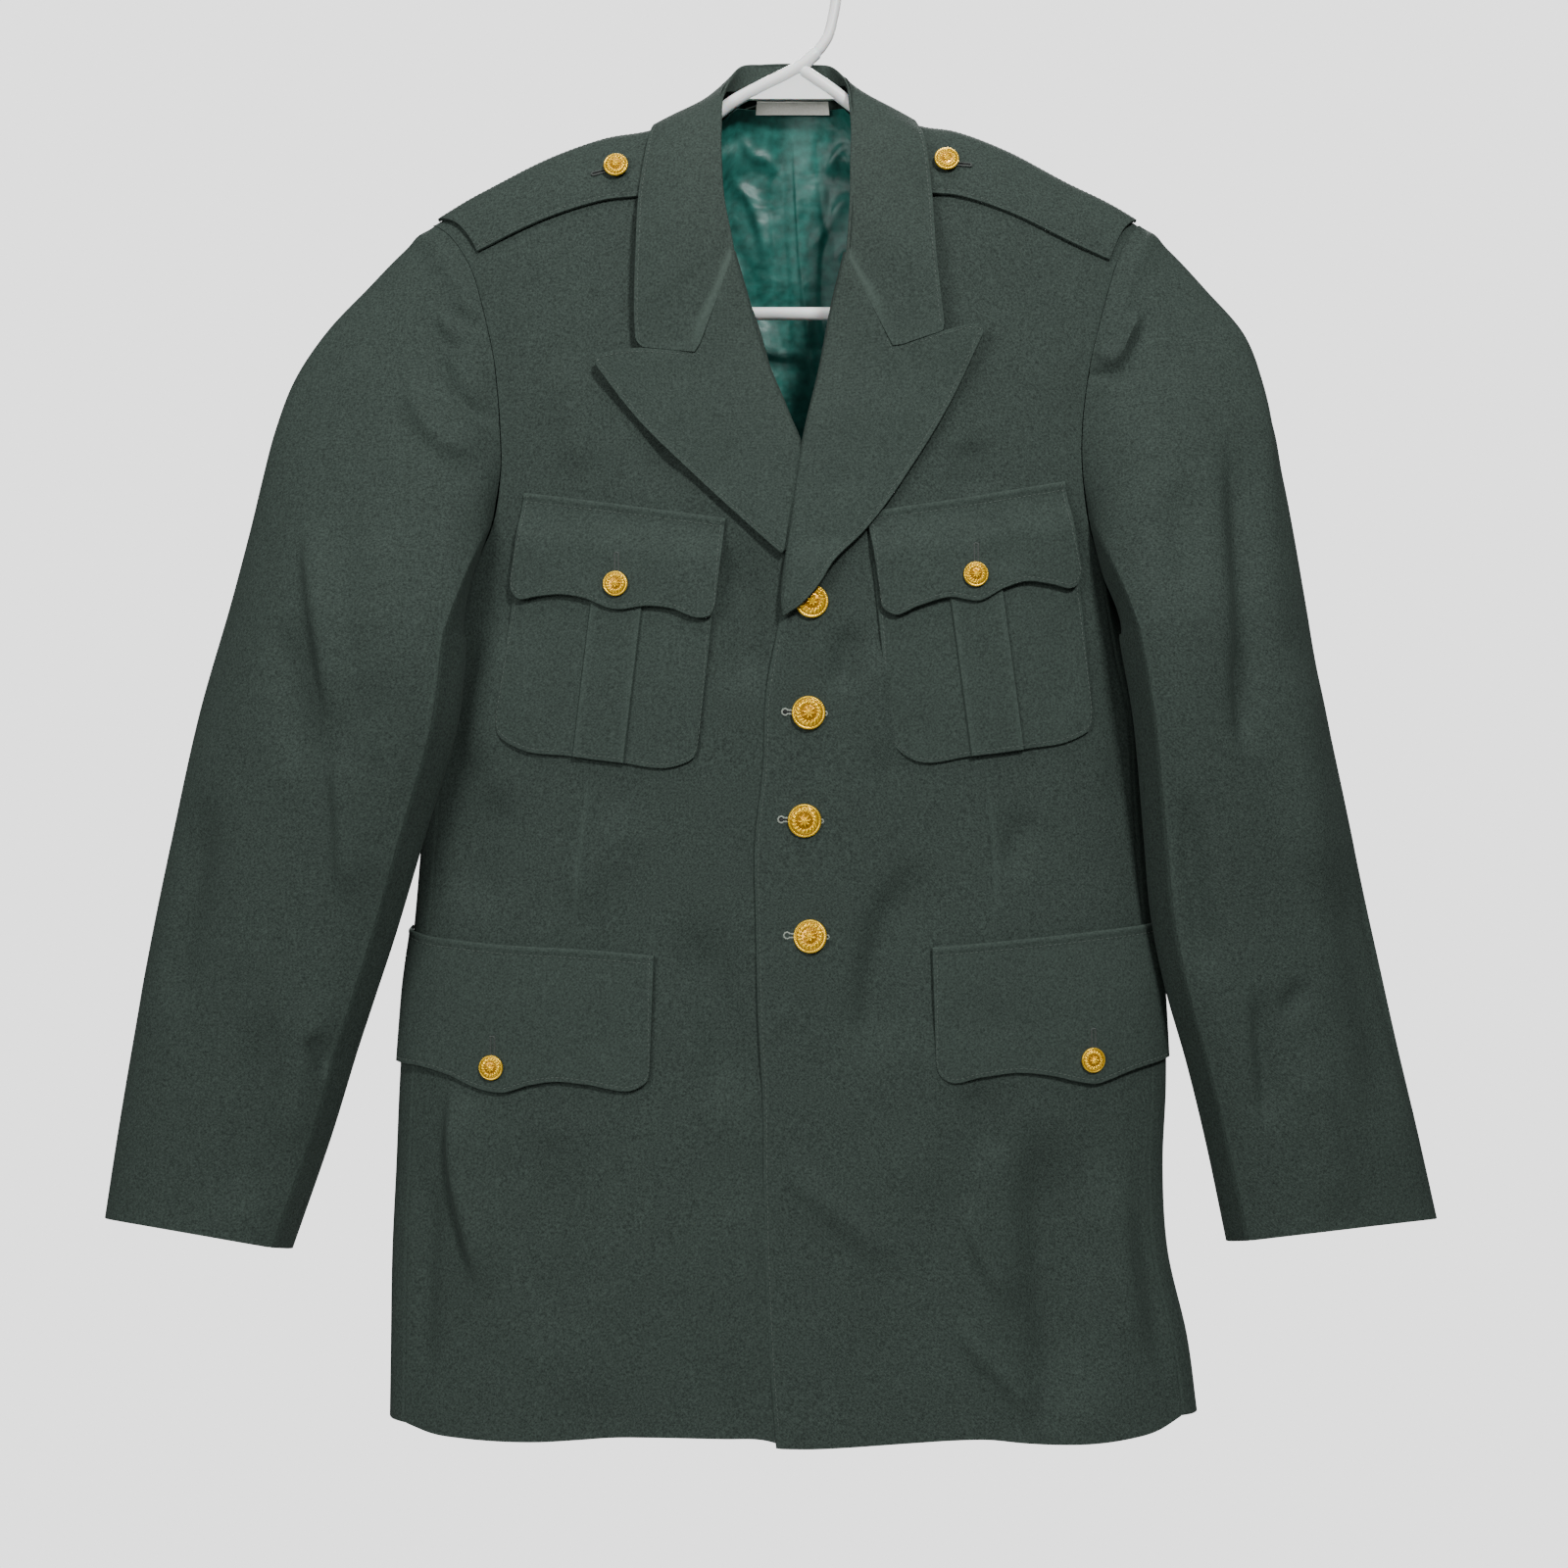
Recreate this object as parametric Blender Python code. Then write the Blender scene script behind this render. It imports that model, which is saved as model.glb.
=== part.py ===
"""Military dress tunic, buttoned, on a tubular hanger.

All sizes in the tables are millimetres; the meshes are built in metres.
X runs to the wearer's left, Y to the back, Z up. The origin is the inner top
of the hanger's hook, where a rail holds it.
"""
import math

import bmesh
import bpy
import numpy as np

MM = 0.001

# ---------------------------------------------------------------- driving sizes
WOOL = 2.0              # wall of a wool panel
DOUBLE = 2.2            # two layers of wool: collar, lapel, flap, strap
SATIN = 1.0             # lining wall
LABEL_WALL = 1.0
SEAM = 0.3              # gap between neighbouring pieces
HALF_SEAM = 0.15
CENTRE = -16.5          # the coat's centre plane, left of the hook's
ROUNDNESS = 2.8         # superellipse power of the coat's girth
SLEEVE_ROUNDNESS = 2.2  # and of a sleeve's girth
SHOULDER_FRONT = 70.0   # height over which the shoulder rounds over to the front
SHOULDER_BACK = 60.0    # and to the back
FRONT_BUTTON = 21.0     # diameters
SMALL_BUTTON = 15.6
TUBE = 8.4              # the hanger's arms and bar
HOOK_TUBE = 7.0
HOOK_INNER = 17.8       # inner radius of the hook
WEB = 3.0               # plate between the hanger's arms

LEFT, RIGHT = 1, -1     # the wearer's sides: left is at +X

# Angles of the side body's seams round the girth, and how far they swing forward under the arm
FRONT_SEAM, BACK_SEAM, SEAM_SWING = 68, 118, 7
FRONT_COLUMNS, BACK_COLUMNS, SIDE_COLUMNS = 13, 10, 6

# The coat's girth: half outline and depth at each height
BODY = np.array([
    # z      right x  left x  front  back
    (-1000, -273, 251, 63, 60),
    (-970, -273, 249, 63, 60),
    (-918, -272, 242, 62, 58),
    (-883, -272, 234, 61, 57),
    (-845, -270, 226, 59, 56),
    (-778, -268, 228, 57, 53),
    (-736, -266, 228, 56, 51),
    (-682, -261, 226, 55, 49),
    (-654, -257, 223, 54, 48),
    (-594, -252, 218, 53, 46),
    (-499, -245, 211, 54, 46),
    (-441, -234, 201, 53, 46),
    (-371, -249, 216, 50, 46),
    (-308, -261, 228, 46, 44),
    (-265, -267, 234, 42, 42),
    (-200, -271, 238, 35, 37),
    (-120, -273, 240, 27, 30),
    (-60, -273, 240, 26, 30),
], float)

# The ridge of the shoulders
SHOULDER = np.array([
    # x     z
    (-320, -262),
    (-275, -222),
    (-244, -200),
    (-205, -178.5),
    (-167, -159.5),
    (-133, -147.5),
    (-100, -141),
    (-80, -131),
    (-62, -118),
    (-45, -105),
    (-17, -92),
    (12, -100),
    (30, -115.6),
    (48, -127.5),
    (66, -138.4),
    (91, -143),
    (122, -154.5),
    (162, -175.5),
    (208, -198.5),
    (240, -221),
    (285, -262),
], float)

# Armhole seams, from the shoulder down the front, under the arm and up the back
ARMHOLE_RIGHT = [
    # x     z     face
    (-246, -200, "ridge"),
    (-229, -215, "front"),
    (-213, -246, "front"),
    (-203, -287, "front"),
    (-198, -330, "front"),
    (-197, -365, "front"),
    (-203, -401, "front"),
    (-216, -430, "front"),
    (-233, -444, "side"),
    (-226, -422, "back"),
    (-221, -375, "back"),
    (-220, -320, "back"),
    (-224, -265, "back"),
    (-236, -216, "back"),
]
ARMHOLE_LEFT = [
    # x     z     face
    (212, -200, "ridge"),
    (201, -214, "front"),
    (188, -247, "front"),
    (176, -294, "front"),
    (170, -335, "front"),
    (170, -366, "front"),
    (175, -401, "front"),
    (184, -430, "front"),
    (200, -444, "side"),
    (194, -422, "back"),
    (189, -375, "back"),
    (188, -320, "back"),
    (192, -265, "back"),
    (204, -216, "back"),
]
FRONT_MID, FRONT_LOW, UNDERARM, BACK_LOW, BACK_MID = 4, 7, 8, 9, 11

# Inner edge of each front: neckline, roll line, then the centre front edge
EDGE_LEFT = np.array([
    # z    x
    (-974, -23),
    (-905, -28),
    (-816, -31),
    (-745, -32),
    (-696, -35),
    (-639, -36),
    (-609, -37),
    (-562, -32),
    (-515, -30),
    (-482, -27),
    (-459, -21),
    (-424, -16),
    (-403, -13),
    (-367, -8),
    (-345, -4),
    (-307, 4),
    (-265, 11),
    (-233, 21),
    (-212, 27),
    (-175, 32),
    (-140, 34.5),
    (-120, 36),
], float)
EDGE_RIGHT = np.array([
    # z    x
    (-969, 14),
    (-806, 12),
    (-684, 11),
    (-562, 12),
    (-501, 13),
    (-440, 12),
    (-407, 7),
    (-379, 0),
    (-354, -9),
    (-335, -15),
    (-290, -31),
    (-263, -38),
    (-232, -50),
    (-210, -58),
    (-175, -64),
    (-140, -64),
    (-117, -62),
], float)

HEM = np.array([
    # x     z
    (-273, -963.5),
    (-262, -966),
    (-254, -968.5),
    (-240, -970.5),
    (-228, -971.5),
    (-181, -972),
    (-120, -967),
    (-27, -968),
    (-22, -974),
    (41, -971),
    (102, -968),
    (143, -973),
    (181, -974),
    (210, -971),
    (225, -967),
    (236, -962),
    (249, -956),
], float)
HEM_BACK = -970.0

# Heights that match across a front, hem to shoulder, and how many rows lie between
FRONT_ROWS = [
    # inner z, outer z, rows
    (-974, -972, 0),
    (-760, -755, 4),
    (-600, -600, 3),
    (-459, -480, 3),
    (-400, -430, 1),
    (-345, -365, 2),
    (-233, -287, 3),
]
BACK_ROWS = [
    (-970, -970, 0),
    (-755, -755, 4),
    (-600, -600, 3),
    (-470, -480, 3),
    (-412, -422, 1),
    (-270, -320, 2),
    (-200, -265, 1),
]
ROWS_BELOW_ARM = 12     # of both tables, hem and underarm included
# Drop below the shoulder ridge of the last rows, as angles round the ridge
RIDGE_ANGLES = (68, 50, 33, 17, 0)
OVERLAP_LIFT = 2.6      # the left front lies this far outside the right one
OVERLAP_FULL, OVERLAP_END = 22.0, 60.0
OVERLAP_TOP = (-340, -290)  # and the lift dies out between these heights
# Share of the ridge's bend in the two rows under those that follow the ridge
BEND_SHARES = (0.35, 0.75)
# Depth of the back neckline under the ridge, its ends, and its share in each row below
NECK_DIP = 17
NECK_POINTS = (-78.5, 30)
NECK_DIP_SHARES = (1.0, 1.0, 0.9, 0.7, 0.45, 0.2)

# Rings of the sleeves below the armhole, to the cuff
SLEEVE_RIGHT = [
    # outer x, z, inner x, z, inner y, outer y, front, back
    (-374, -449, -217, -477, -60, -12, 36, 50),
    (-392, -511, -223, -528, -60, -12, 36, 48),
    (-405, -567, -243, -594, -52, -12, 35, 44),
    (-418, -627, -262, -655, -44, -12, 34, 40),
    (-428, -679, -277, -698, -40, -12, 33, 38),
    (-434, -716, -290, -735, -36, -12, 32, 36),
    (-444, -777, -308, -791, -31, -12, 31, 34),
    (-454, -841, -332, -859, -26, -12, 30, 32),
]
SLEEVE_LEFT = [
    (316.5, -448, 192, -474, -60, -12, 38, 50),
    (325, -499, 200, -523, -60, -12, 38, 48),
    (340, -569, 207, -594, -52, -12, 37, 45),
    (352, -625, 213, -646, -44, -12, 36, 41),
    (364, -678, 223, -692, -40, -12, 35, 39),
    (375, -727, 237, -739, -36, -12, 34, 37),
    (388, -782, 250, -790, -31, -12, 33, 35),
    (401, -841, 264, -854, -26, -12, 31, 33),
]
CAP_ROWS = 8            # rows between the armhole and the first ring
CAP_LINE_POWER = 3      # how fast the outline's correction fades round a cap
# How a sleeve's cap leaves the armhole and meets the first ring, by the angle round the sleeve
CAP = {
    # angle, leaving out, y, z, arriving out, y, z
    RIGHT: [(0, 62, 0, -40, -15, 0, 119),
            (90, 26, -16, -10, -6, 6, 46),
            (150, -3, -21, -8, -5, 2, 24),
            (180, 16, -8, -4, 4, 2, 14),
            (270, 26, 14, -10, -6, -6, 46),
            (360, 62, 0, -40, -15, 0, 119)],
    LEFT: [(0, 58, 0, -38, -7, 0, 153),
           (90, 26, -16, -10, -6, 6, 46),
           (150, -3, -21, -8, -5, 2, 24),
           (180, 16, -8, -4, 4, 2, 14),
           (270, 26, 14, -10, -6, -6, 46),
           (360, 58, 0, -38, -7, 0, 153)],
}
# Outline of each cap from the shoulder, past the corner where it hangs, to the first ring
CAP_LINE = {
    # z, x
    RIGHT: [(-200, -246), (-208.6, -258), (-237.5, -284.5), (-256.2, -299.7), (-283.5, -325),
            (-288.4, -328.8), (-302.2, -332.7), (-320.2, -340.5), (-334.7, -343.9),
            (-371.9, -354), (-413.5, -364.2), (-449, -374)],
    LEFT: [(-200, 212), (-218, 232.7), (-235.5, 248.4), (-255, 264.2), (-272.4, 278.1),
           (-278.1, 281), (-314.5, 292.3), (-360.5, 301.2), (-402.4, 308), (-448, 316.5)],
}
CUFF_RISE = 7.0         # the cuff's front edge over its seams
# Angles of the sleeve seams, from the outer edge round the front, at armhole and below
FOREARM_SEAM = (135, 148)
HINDARM_SEAM = {RIGHT: (-60, -18), LEFT: (-60, 12)}
UNDERARM_BELOW = 228    # angle on the rings that hangs below the underarm

# Collar stations from the right gorge round the back of the neck to the left gorge
COLLAR = np.array([
    # fold x, y, z, outer edge x, y, z, neck seam x, y, z
    (-48.4, -52, -232, -111, -52, -289, -50.4, -47, -232),
    (-51, -50, -214, -112, -52, -262, -58, -45, -214),
    (-55, -47, -193, -111, -49, -222, -61, -42, -194),
    (-57, -40, -162, -110, -40, -191, -62, -32, -164),
    (-57, -29, -138, -106, -31, -160, -62, -21, -142),
    (-57, -17, -124, -103, -14, -140, -62, -11, -126),
    (-55, -4, -111, -99, 0, -136, -61, -1, -114),
    (-47, 22, -88, -84, 31, -139, -50, 20, -107),
    (-32, 34, -82, -52, 43, -139, -34, 29, -106),
    (-17, 38, -80, -17, 46, -134, -17, 32, -106),
    (-1, 34, -82, 18, 43, -138, 0, 29, -106),
    (13, 22, -88, 49, 31, -139, 16, 20, -105),
    (21, -4, -108, 63, 0, -131.8, 28, -1, -110),
    (22, -17, -126, 68, -14, -139, 30, -11, -126),
    (23, -30, -148, 72, -31, -157, 30, -21, -146),
    (22, -42, -172, 75, -40, -191, 30, -32, -172),
    (21.2, -48, -203, 77, -50, -231, 28, -44, -202),
    (19.6, -53, -233, 82, -54, -279, 22.6, -50, -232),
], float)
NOTCH_RIGHT = (-73, -293)
NOTCH_LEFT = (50, -290)
STAND_INSIDE = 3.4      # the stand stands this far inside the fold
STAND_DROP = 3.0        # the stand's top below the fold
STAND_STATIONS = (6.6, 11.4)  # the stand runs between these collar stations
NOTCH_Y = -54.5         # depth of both notches
# How far the fall swells between its fold and its edge, by collar station
COLLAR_SWELL = np.array([
    # station, swell
    (0, 3.0),
    (4, 3.0),
    (6, 1.0),
    (8, 3.0),
    (10, 3.0),
    (12, 0.8),
    (13, 2.6),
    (14, 3.0),
    (17, 3.0),
], float)
COLLAR_ROWS, COLLAR_COLUMNS = 34, 7

LAPEL_RIGHT = {
    "top": [(-50, -233), (-73, -293.6), (-107, -291), (-122, -292.2), (-132, -294.3), (-138, -298)],
    "roll": [(-50, -233), (-41, -264), (-34, -290), (-16, -336), (-9.5, -354),
             (-10, -368), (-15.5, -404), (-18, -417)],
    "edge": [(-138, -298), (-110, -334), (-77, -367), (-48, -394), (-20, -419)],
}
LAPEL_LEFT = {
    "top": [(20.4, -233.4), (50, -290.7), (80, -280.8), (98, -276.2), (103, -276.2), (106.5, -279)],
    "roll": [(20.4, -233.4), (12.6, -266), (4.6, -308), (-4, -345), (-8, -367),
             (-13, -404), (-16, -424), (-20, -452)],
    "edge": [(106.5, -279), (84, -326), (59, -367), (29, -407), (11.5, -425),
             (3.6, -438), (-8, -451), (-19, -458)],
}

STRAP = {
    # inner end x, angle round the ridge of the lower edge at the armhole and at the collar
    RIGHT: (-102, 66, 71),
    LEFT: (68, 66, 72),
}
STRAP_TOP = 2           # angle of a strap's upper edge
STRAP_ENDS = 1.2        # a strap ends this far inside the armhole seam
STRAP_SEAM_LIFT = 0.7   # its height over the shoulder there
STRAP_SEAM_SHARE = 0.2  # and the share of its length over which it rises

BREAST_FLAP = {
    RIGHT: {"top": [(-181, -380), (-118, -388.5), (-55, -397)],
            "foot": [(-188, -434), (-187.6, -441), (-184, -446), (-171, -445), (-158, -444),
                     (-144, -446), (-124, -453.5), (-101, -451.5), (-89, -453), (-70, -459),
                     (-64.5, -458), (-61, -451)]},
    LEFT: {"top": [(33, -393), (96, -383.5), (157.5, -372.5)],
           "foot": [(40.5, -445), (41.5, -452), (48.5, -457), (65, -451.5), (84, -446),
                    (103, -448), (118, -440), (132, -435.6), (147, -437), (162, -438.5),
                    (165, -434), (166, -427)]},
}
BREAST_POCKET = {
    RIGHT: {"top": [(-183, -412), (-60, -428)],
            "foot": [(-199, -520), (-198, -530), (-184, -540), (-153, -544.5), (-122, -548.5),
                     (-86, -551), (-75, -546), (-71, -530)],
            "pleat": (-135, -150, 32)},
    LEFT: {"top": [(37, -425), (164, -406)],
           "foot": [(47, -525), (50, -538), (62, -547), (99, -544.5), (133, -540), (163, -534),
                    (173, -528), (174.5, -514)],
           "pleat": (81, 98, 33)},
}
LOWER_FLAP = {
    RIGHT: {"top": [(-258, -655.5), (-246, -658.5), (-224, -661), (-195, -663.5), (-142, -666),
                    (-99.5, -669.5)],
            "foot": [(-264, -739.5), (-247, -740.5), (-227, -745.5), (-212, -752), (-195, -755),
                     (-177, -750), (-161, -747.5), (-142, -749), (-109, -751), (-103.5, -747),
                     (-102, -740)]},
    LEFT: {"top": [(74, -664.5), (127, -660), (184, -654.5), (209, -652), (220, -650.5)],
           "foot": [(76, -735), (77.5, -742), (83, -747), (105, -744.5), (129, -742),
                    (147, -744), (169, -749), (177, -750), (184, -748), (199.5, -742.5),
                    (225.5, -736.5)]},
}

STRAP_LIFT = 1.6
LINING_GAP = 2.8
POCKET_LIFT = 0.9
PLEAT_RISE = 1.6
FLAP_LIFT_TOP = 0.9
BREAST_FLAP_LIFT = 5.4  # at the foot, over the pocket's pleat
LOWER_FLAP_LIFT = 1.6
PLEAT_EDGE = 3.0        # half the width over which a pleat's edge rises
LAPEL_LIFT = 3.6
LAPEL_ROLL = 2.6
# Where the left lapel lies over the top button: x, z, reach, end of the reach, lift
BUTTON_COVER = (4, -440, 12, 34, 8.0)
BUTTON_COVER_EDGE = (-20, -4)

FRONT_BUTTONS = [(-1.4, -448.6), (-3.2, -518), (-5.6, -585), (-2, -657)]
BREAST_BUTTONS = {RIGHT: (-122.5, -438), LEFT: (100, -432)}
LOWER_BUTTONS = {RIGHT: (-200.5, -739.5), LEFT: (174, -735)}
STRAP_BUTTONS = {RIGHT: (-124.5, 52), LEFT: (84.3, 52)}  # x, angle round the ridge
BUTTON_TILT = 0.6       # how much a strap button turns to the front on its shank
SHANK = 3.2

# Materials: colour, roughness, metallic
MATERIALS = {
    "wool_green": ((0.026, 0.036, 0.031), 0.85, 0.0),
    "satin_green": ((0.010, 0.085, 0.075), 0.35, 0.0),
    "gilt": ((0.80, 0.50, 0.09), 0.25, 1.0),
    "label_cream": ((0.70, 0.69, 0.60), 0.8, 0.0),
    "plastic_white": ((0.83, 0.84, 0.83), 0.35, 0.0),
}


# ---------------------------------------------------------------- curves
def through(keys, values, at):
    """A smooth curve through a table's columns, its slopes taken from the neighbours."""
    keys = np.asarray(keys, float)
    values = np.asarray(values, float)
    at = np.clip(np.asarray(at, float), keys[0], keys[-1])
    slopes = np.gradient(values, keys, axis=0)
    low = np.clip(np.searchsorted(keys, at, side="right") - 1, 0, len(keys) - 2)
    step = keys[low + 1] - keys[low]
    s = (at - keys[low]) / step
    if values.ndim > 1:
        s, step = s[..., None], step[..., None]
    start, end = values[low], values[low + 1]
    rise0, rise1 = slopes[low] * step, slopes[low + 1] * step
    return (start * (1 + 2 * s) * (1 - s) ** 2 + rise0 * s * (1 - s) ** 2
            + end * s * s * (3 - 2 * s) + rise1 * s * s * (s - 1))


def run_lengths(points):
    steps = np.linalg.norm(np.diff(points, axis=0), axis=1)
    return np.concatenate([[0.0], np.cumsum(steps)])


def resample(points, count):
    """Points evenly spaced along a polyline."""
    along = run_lengths(points)
    at = np.linspace(0, along[-1], count)
    return np.stack([np.interp(at, along, points[:, k]) for k in range(points.shape[1])], axis=1)


def curve(points, count, dense=240):
    """Evenly spaced points on a smooth curve through the given ones."""
    points = np.asarray(points, float)
    along = run_lengths(points)
    return resample(through(along, points, np.linspace(0, along[-1], dense)), count)


def polyline(points, count):
    """Evenly spaced points along straight stretches, corners kept."""
    return resample(np.asarray(points, float), count)


def signed_power(value, power):
    return np.sign(value) * np.abs(value) ** power


def smoothstep(low, high, value):
    t = np.clip((value - low) / (high - low), 0, 1)
    return t * t * (3 - 2 * t)


def unit(vectors):
    return vectors / np.maximum(np.linalg.norm(vectors, axis=-1, keepdims=True), 1e-9)


# ---------------------------------------------------------------- the coat's form
def girth(z, column):
    """A column of the BODY table at height z."""
    return through(BODY[:, 0], BODY[:, column], z)


def middle_and_half(z):
    right, left = girth(z, 1), girth(z, 2)
    return (left + right) / 2, (left - right) / 2


def ridge_z(x):
    return through(SHOULDER[:, 0], SHOULDER[:, 1], x)


def across(x, z):
    """How far out x lies on the girth, -1 to 1."""
    middle, half = middle_and_half(z)
    return np.clip((x - middle) / half, -1, 1)


def bulge(x, z):
    return (1 - np.abs(across(x, z)) ** ROUNDNESS) ** (1 / ROUNDNESS)


def over_shoulder(x, z, height):
    drop = np.clip((ridge_z(x) - z) / height, 0, 1)
    return np.sqrt(1 - (1 - drop) ** 2)


def overlap_lift(x, z, side):
    """How far the left front lies outside the right one, where it laps over it."""
    lapped = (1 - smoothstep(OVERLAP_FULL, OVERLAP_END, x)) * (1 - smoothstep(*OVERLAP_TOP, z))
    return OVERLAP_LIFT * lapped * (side == LEFT)


def front_y(x, z, side):
    depth = girth(z, 3) * bulge(x, z) * over_shoulder(x, z, SHOULDER_FRONT)
    return -np.maximum(depth, HALF_SEAM) - overlap_lift(x, z, side)


def back_y(x, z):
    depth = girth(z, 4) * bulge(x, z) * over_shoulder(x, z, SHOULDER_BACK)
    return np.maximum(depth, HALF_SEAM)


def girth_angle(x, z):
    """Angle of x round the girth, from the front's middle to the side."""
    return np.arcsin(np.abs(across(x, z)) ** (ROUNDNESS / 2))


def girth_point(z, angle, side):
    """Point of the girth at an angle from the front's middle, round to the back's."""
    z = np.asarray(z, float)
    middle, half = middle_and_half(z)
    x = middle + side * half * signed_power(np.sin(angle), 2 / ROUNDNESS)
    front = np.cos(angle) > 0
    depth = np.where(front, girth(z, 3), girth(z, 4))
    height = np.where(front, SHOULDER_FRONT, SHOULDER_BACK)
    y = -depth * signed_power(np.cos(angle), 2 / ROUNDNESS) * over_shoulder(x, z, height)
    y = y - np.where(front, overlap_lift(x, z, side), 0)
    return np.stack([x + 0 * z, y + 0 * z, z + 0 * x], axis=-1)


def body_normals(points, back):
    """Outward unit normals of the coat's form at points on it; back is true behind the side."""
    x, z = points[..., 0], points[..., 2]
    side = np.where(x > middle_and_half(z)[0], LEFT, RIGHT)
    angle = girth_angle(x, z)
    angle = np.where(back, math.pi - angle, angle)
    turn, rise = 0.02, 1.0
    low = np.clip(angle - turn, 0.004, math.pi - 0.004)
    high = np.clip(angle + turn, 0.004, math.pi - 0.004)
    around = girth_point(z, high, side) - girth_point(z, low, side)
    upward = girth_point(z + rise, angle, side) - girth_point(z - rise, angle, side)
    normals = unit(np.cross(around, upward)) * side[..., None]
    on_ridge = ridge_z(x) - z < 0.5
    normals[..., 1] = np.where(on_ridge, 0.0, normals[..., 1])
    return unit(normals)


def seam_angle(z, side_back):
    """Angle of the front or back side seam at height z."""
    if side_back:
        return np.radians(BACK_SEAM - SEAM_SWING * smoothstep(-520, -422, z))
    return np.radians(FRONT_SEAM - SEAM_SWING * smoothstep(-520, -430, z))


def armhole_points(rows, side):
    points = []
    for x, z, face in rows:
        if face == "ridge":
            y = 0.0
        elif face == "front":
            y = float(front_y(np.float64(x), np.float64(z), side))
        elif face == "back":
            y = float(back_y(np.float64(x), np.float64(z)))
        else:
            y = 0.0
        points.append((x, y, z))
    return np.array(points)


def armhole_loop(side, dense=480):
    """The armhole seam as a closed smooth loop, with the length at each of its knots."""
    knots = armhole_points(ARMHOLE_LEFT if side == LEFT else ARMHOLE_RIGHT, side)
    count = len(knots)
    closed = np.concatenate([knots[-3:], knots, knots[:3]])
    along = run_lengths(closed)
    at = np.linspace(along[3], along[3 + count], dense + 1)
    knot_at = (along[3:4 + count] - along[3]) / (along[3 + count] - along[3])
    return through(along, closed, at), knot_at


def loop_point(loop, at):
    where = np.linspace(0, 1, len(loop))
    return np.stack([np.interp(at, where, loop[:, k]) for k in range(3)], axis=-1)


# ---------------------------------------------------------------- meshes
def material(name):
    found = bpy.data.materials.get(name)
    if found:
        return found
    colour, roughness, metallic = MATERIALS[name]
    made = bpy.data.materials.new(name)
    made.use_nodes = True
    shader = made.node_tree.nodes["Principled BSDF"]
    shader.inputs["Base Color"].default_value = (*colour, 1.0)
    shader.inputs["Roughness"].default_value = roughness
    shader.inputs["Metallic"].default_value = metallic
    made.diffuse_color = (*colour, 1.0)
    return made


def add_object(name, verts, faces, material_name):
    """One closed body from vertices in millimetres, its faces turned outward."""
    mesh = bpy.data.meshes.new(name)
    mesh.from_pydata([tuple(v) for v in np.asarray(verts) * MM], [], faces)
    shell = bmesh.new()
    shell.from_mesh(mesh)
    bmesh.ops.recalc_face_normals(shell, faces=shell.faces)
    bmesh.ops.triangulate(shell, faces=shell.faces)
    shell.to_mesh(mesh)
    shell.free()
    mesh.shade_smooth()
    mesh.set_sharp_from_angle(angle=math.radians(35))
    mesh.materials.append(material(material_name))
    placed = bpy.data.objects.new(name, mesh)
    bpy.context.scene.collection.objects.link(placed)
    return placed


def grid_normals(grid, outward):
    """Unit normals of a grid of points, on the side that the outward hint points to."""
    down = np.gradient(grid, axis=0)
    along = np.gradient(grid, axis=1)
    normals = unit(np.cross(along, down))
    if np.sum(normals * np.asarray(outward, float)) < 0:
        normals = -normals
    return normals


def inset(grid, start=0.0, end=0.0, first=0.0, last=0.0):
    """Draw a grid's edges in: its first and last columns, its first and last rows."""
    grid = grid.copy()
    columns = [(0, 1, start), (-1, -2, end)]
    for edge, inner, amount in columns:
        grid[:, edge] += amount * unit(grid[:, inner] - grid[:, edge])
    rows = [(0, 1, first), (-1, -2, last)]
    for edge, inner, amount in rows:
        grid[edge] += amount * unit(grid[inner] - grid[edge])
    return grid


def add_wall(name, grid, thickness, material_name, outward=None, lift=None, normals=None):
    """A wall on a grid of points: lift is its inner face's height, or hung inward if None."""
    if normals is None:
        normals = grid_normals(grid, outward)
    low = -thickness if lift is None else lift
    low = np.asarray(low, float) + np.zeros(grid.shape[:2])
    inner = grid + normals * low[..., None]
    outer = grid + normals * (low + thickness)[..., None]
    rows, columns = grid.shape[:2]
    verts = np.concatenate([outer.reshape(-1, 3), inner.reshape(-1, 3)])
    shift = rows * columns
    faces = []
    for r in range(rows - 1):
        for c in range(columns - 1):
            a = r * columns + c
            quad = (a, a + 1, a + columns + 1, a + columns)
            faces.append(quad)
            faces.append(tuple(v + shift for v in reversed(quad)))
    rim = ([c for c in range(columns)]
           + [r * columns + columns - 1 for r in range(1, rows)]
           + [(rows - 1) * columns + c for c in range(columns - 2, -1, -1)]
           + [r * columns for r in range(rows - 2, 0, -1)])
    for a, b in zip(rim, rim[1:] + rim[:1]):
        faces.append((b, a, a + shift, b + shift))
    return add_object(name, verts, faces, material_name)


def side_name(stem, side):
    return f"{stem}_{'left' if side == LEFT else 'right'}"


# ---------------------------------------------------------------- fronts, sides, backs
def matched_rows(table):
    """Inner and outer heights of the rows, hem to shoulder."""
    inner, outer = [table[0][0]], [table[0][1]]
    for (z0, w0, _), (z1, w1, count) in zip(table, table[1:]):
        inner += list(np.linspace(z0, z1, count + 1)[1:])
        outer += list(np.linspace(w0, w1, count + 1)[1:])
    return inner, outer


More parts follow.
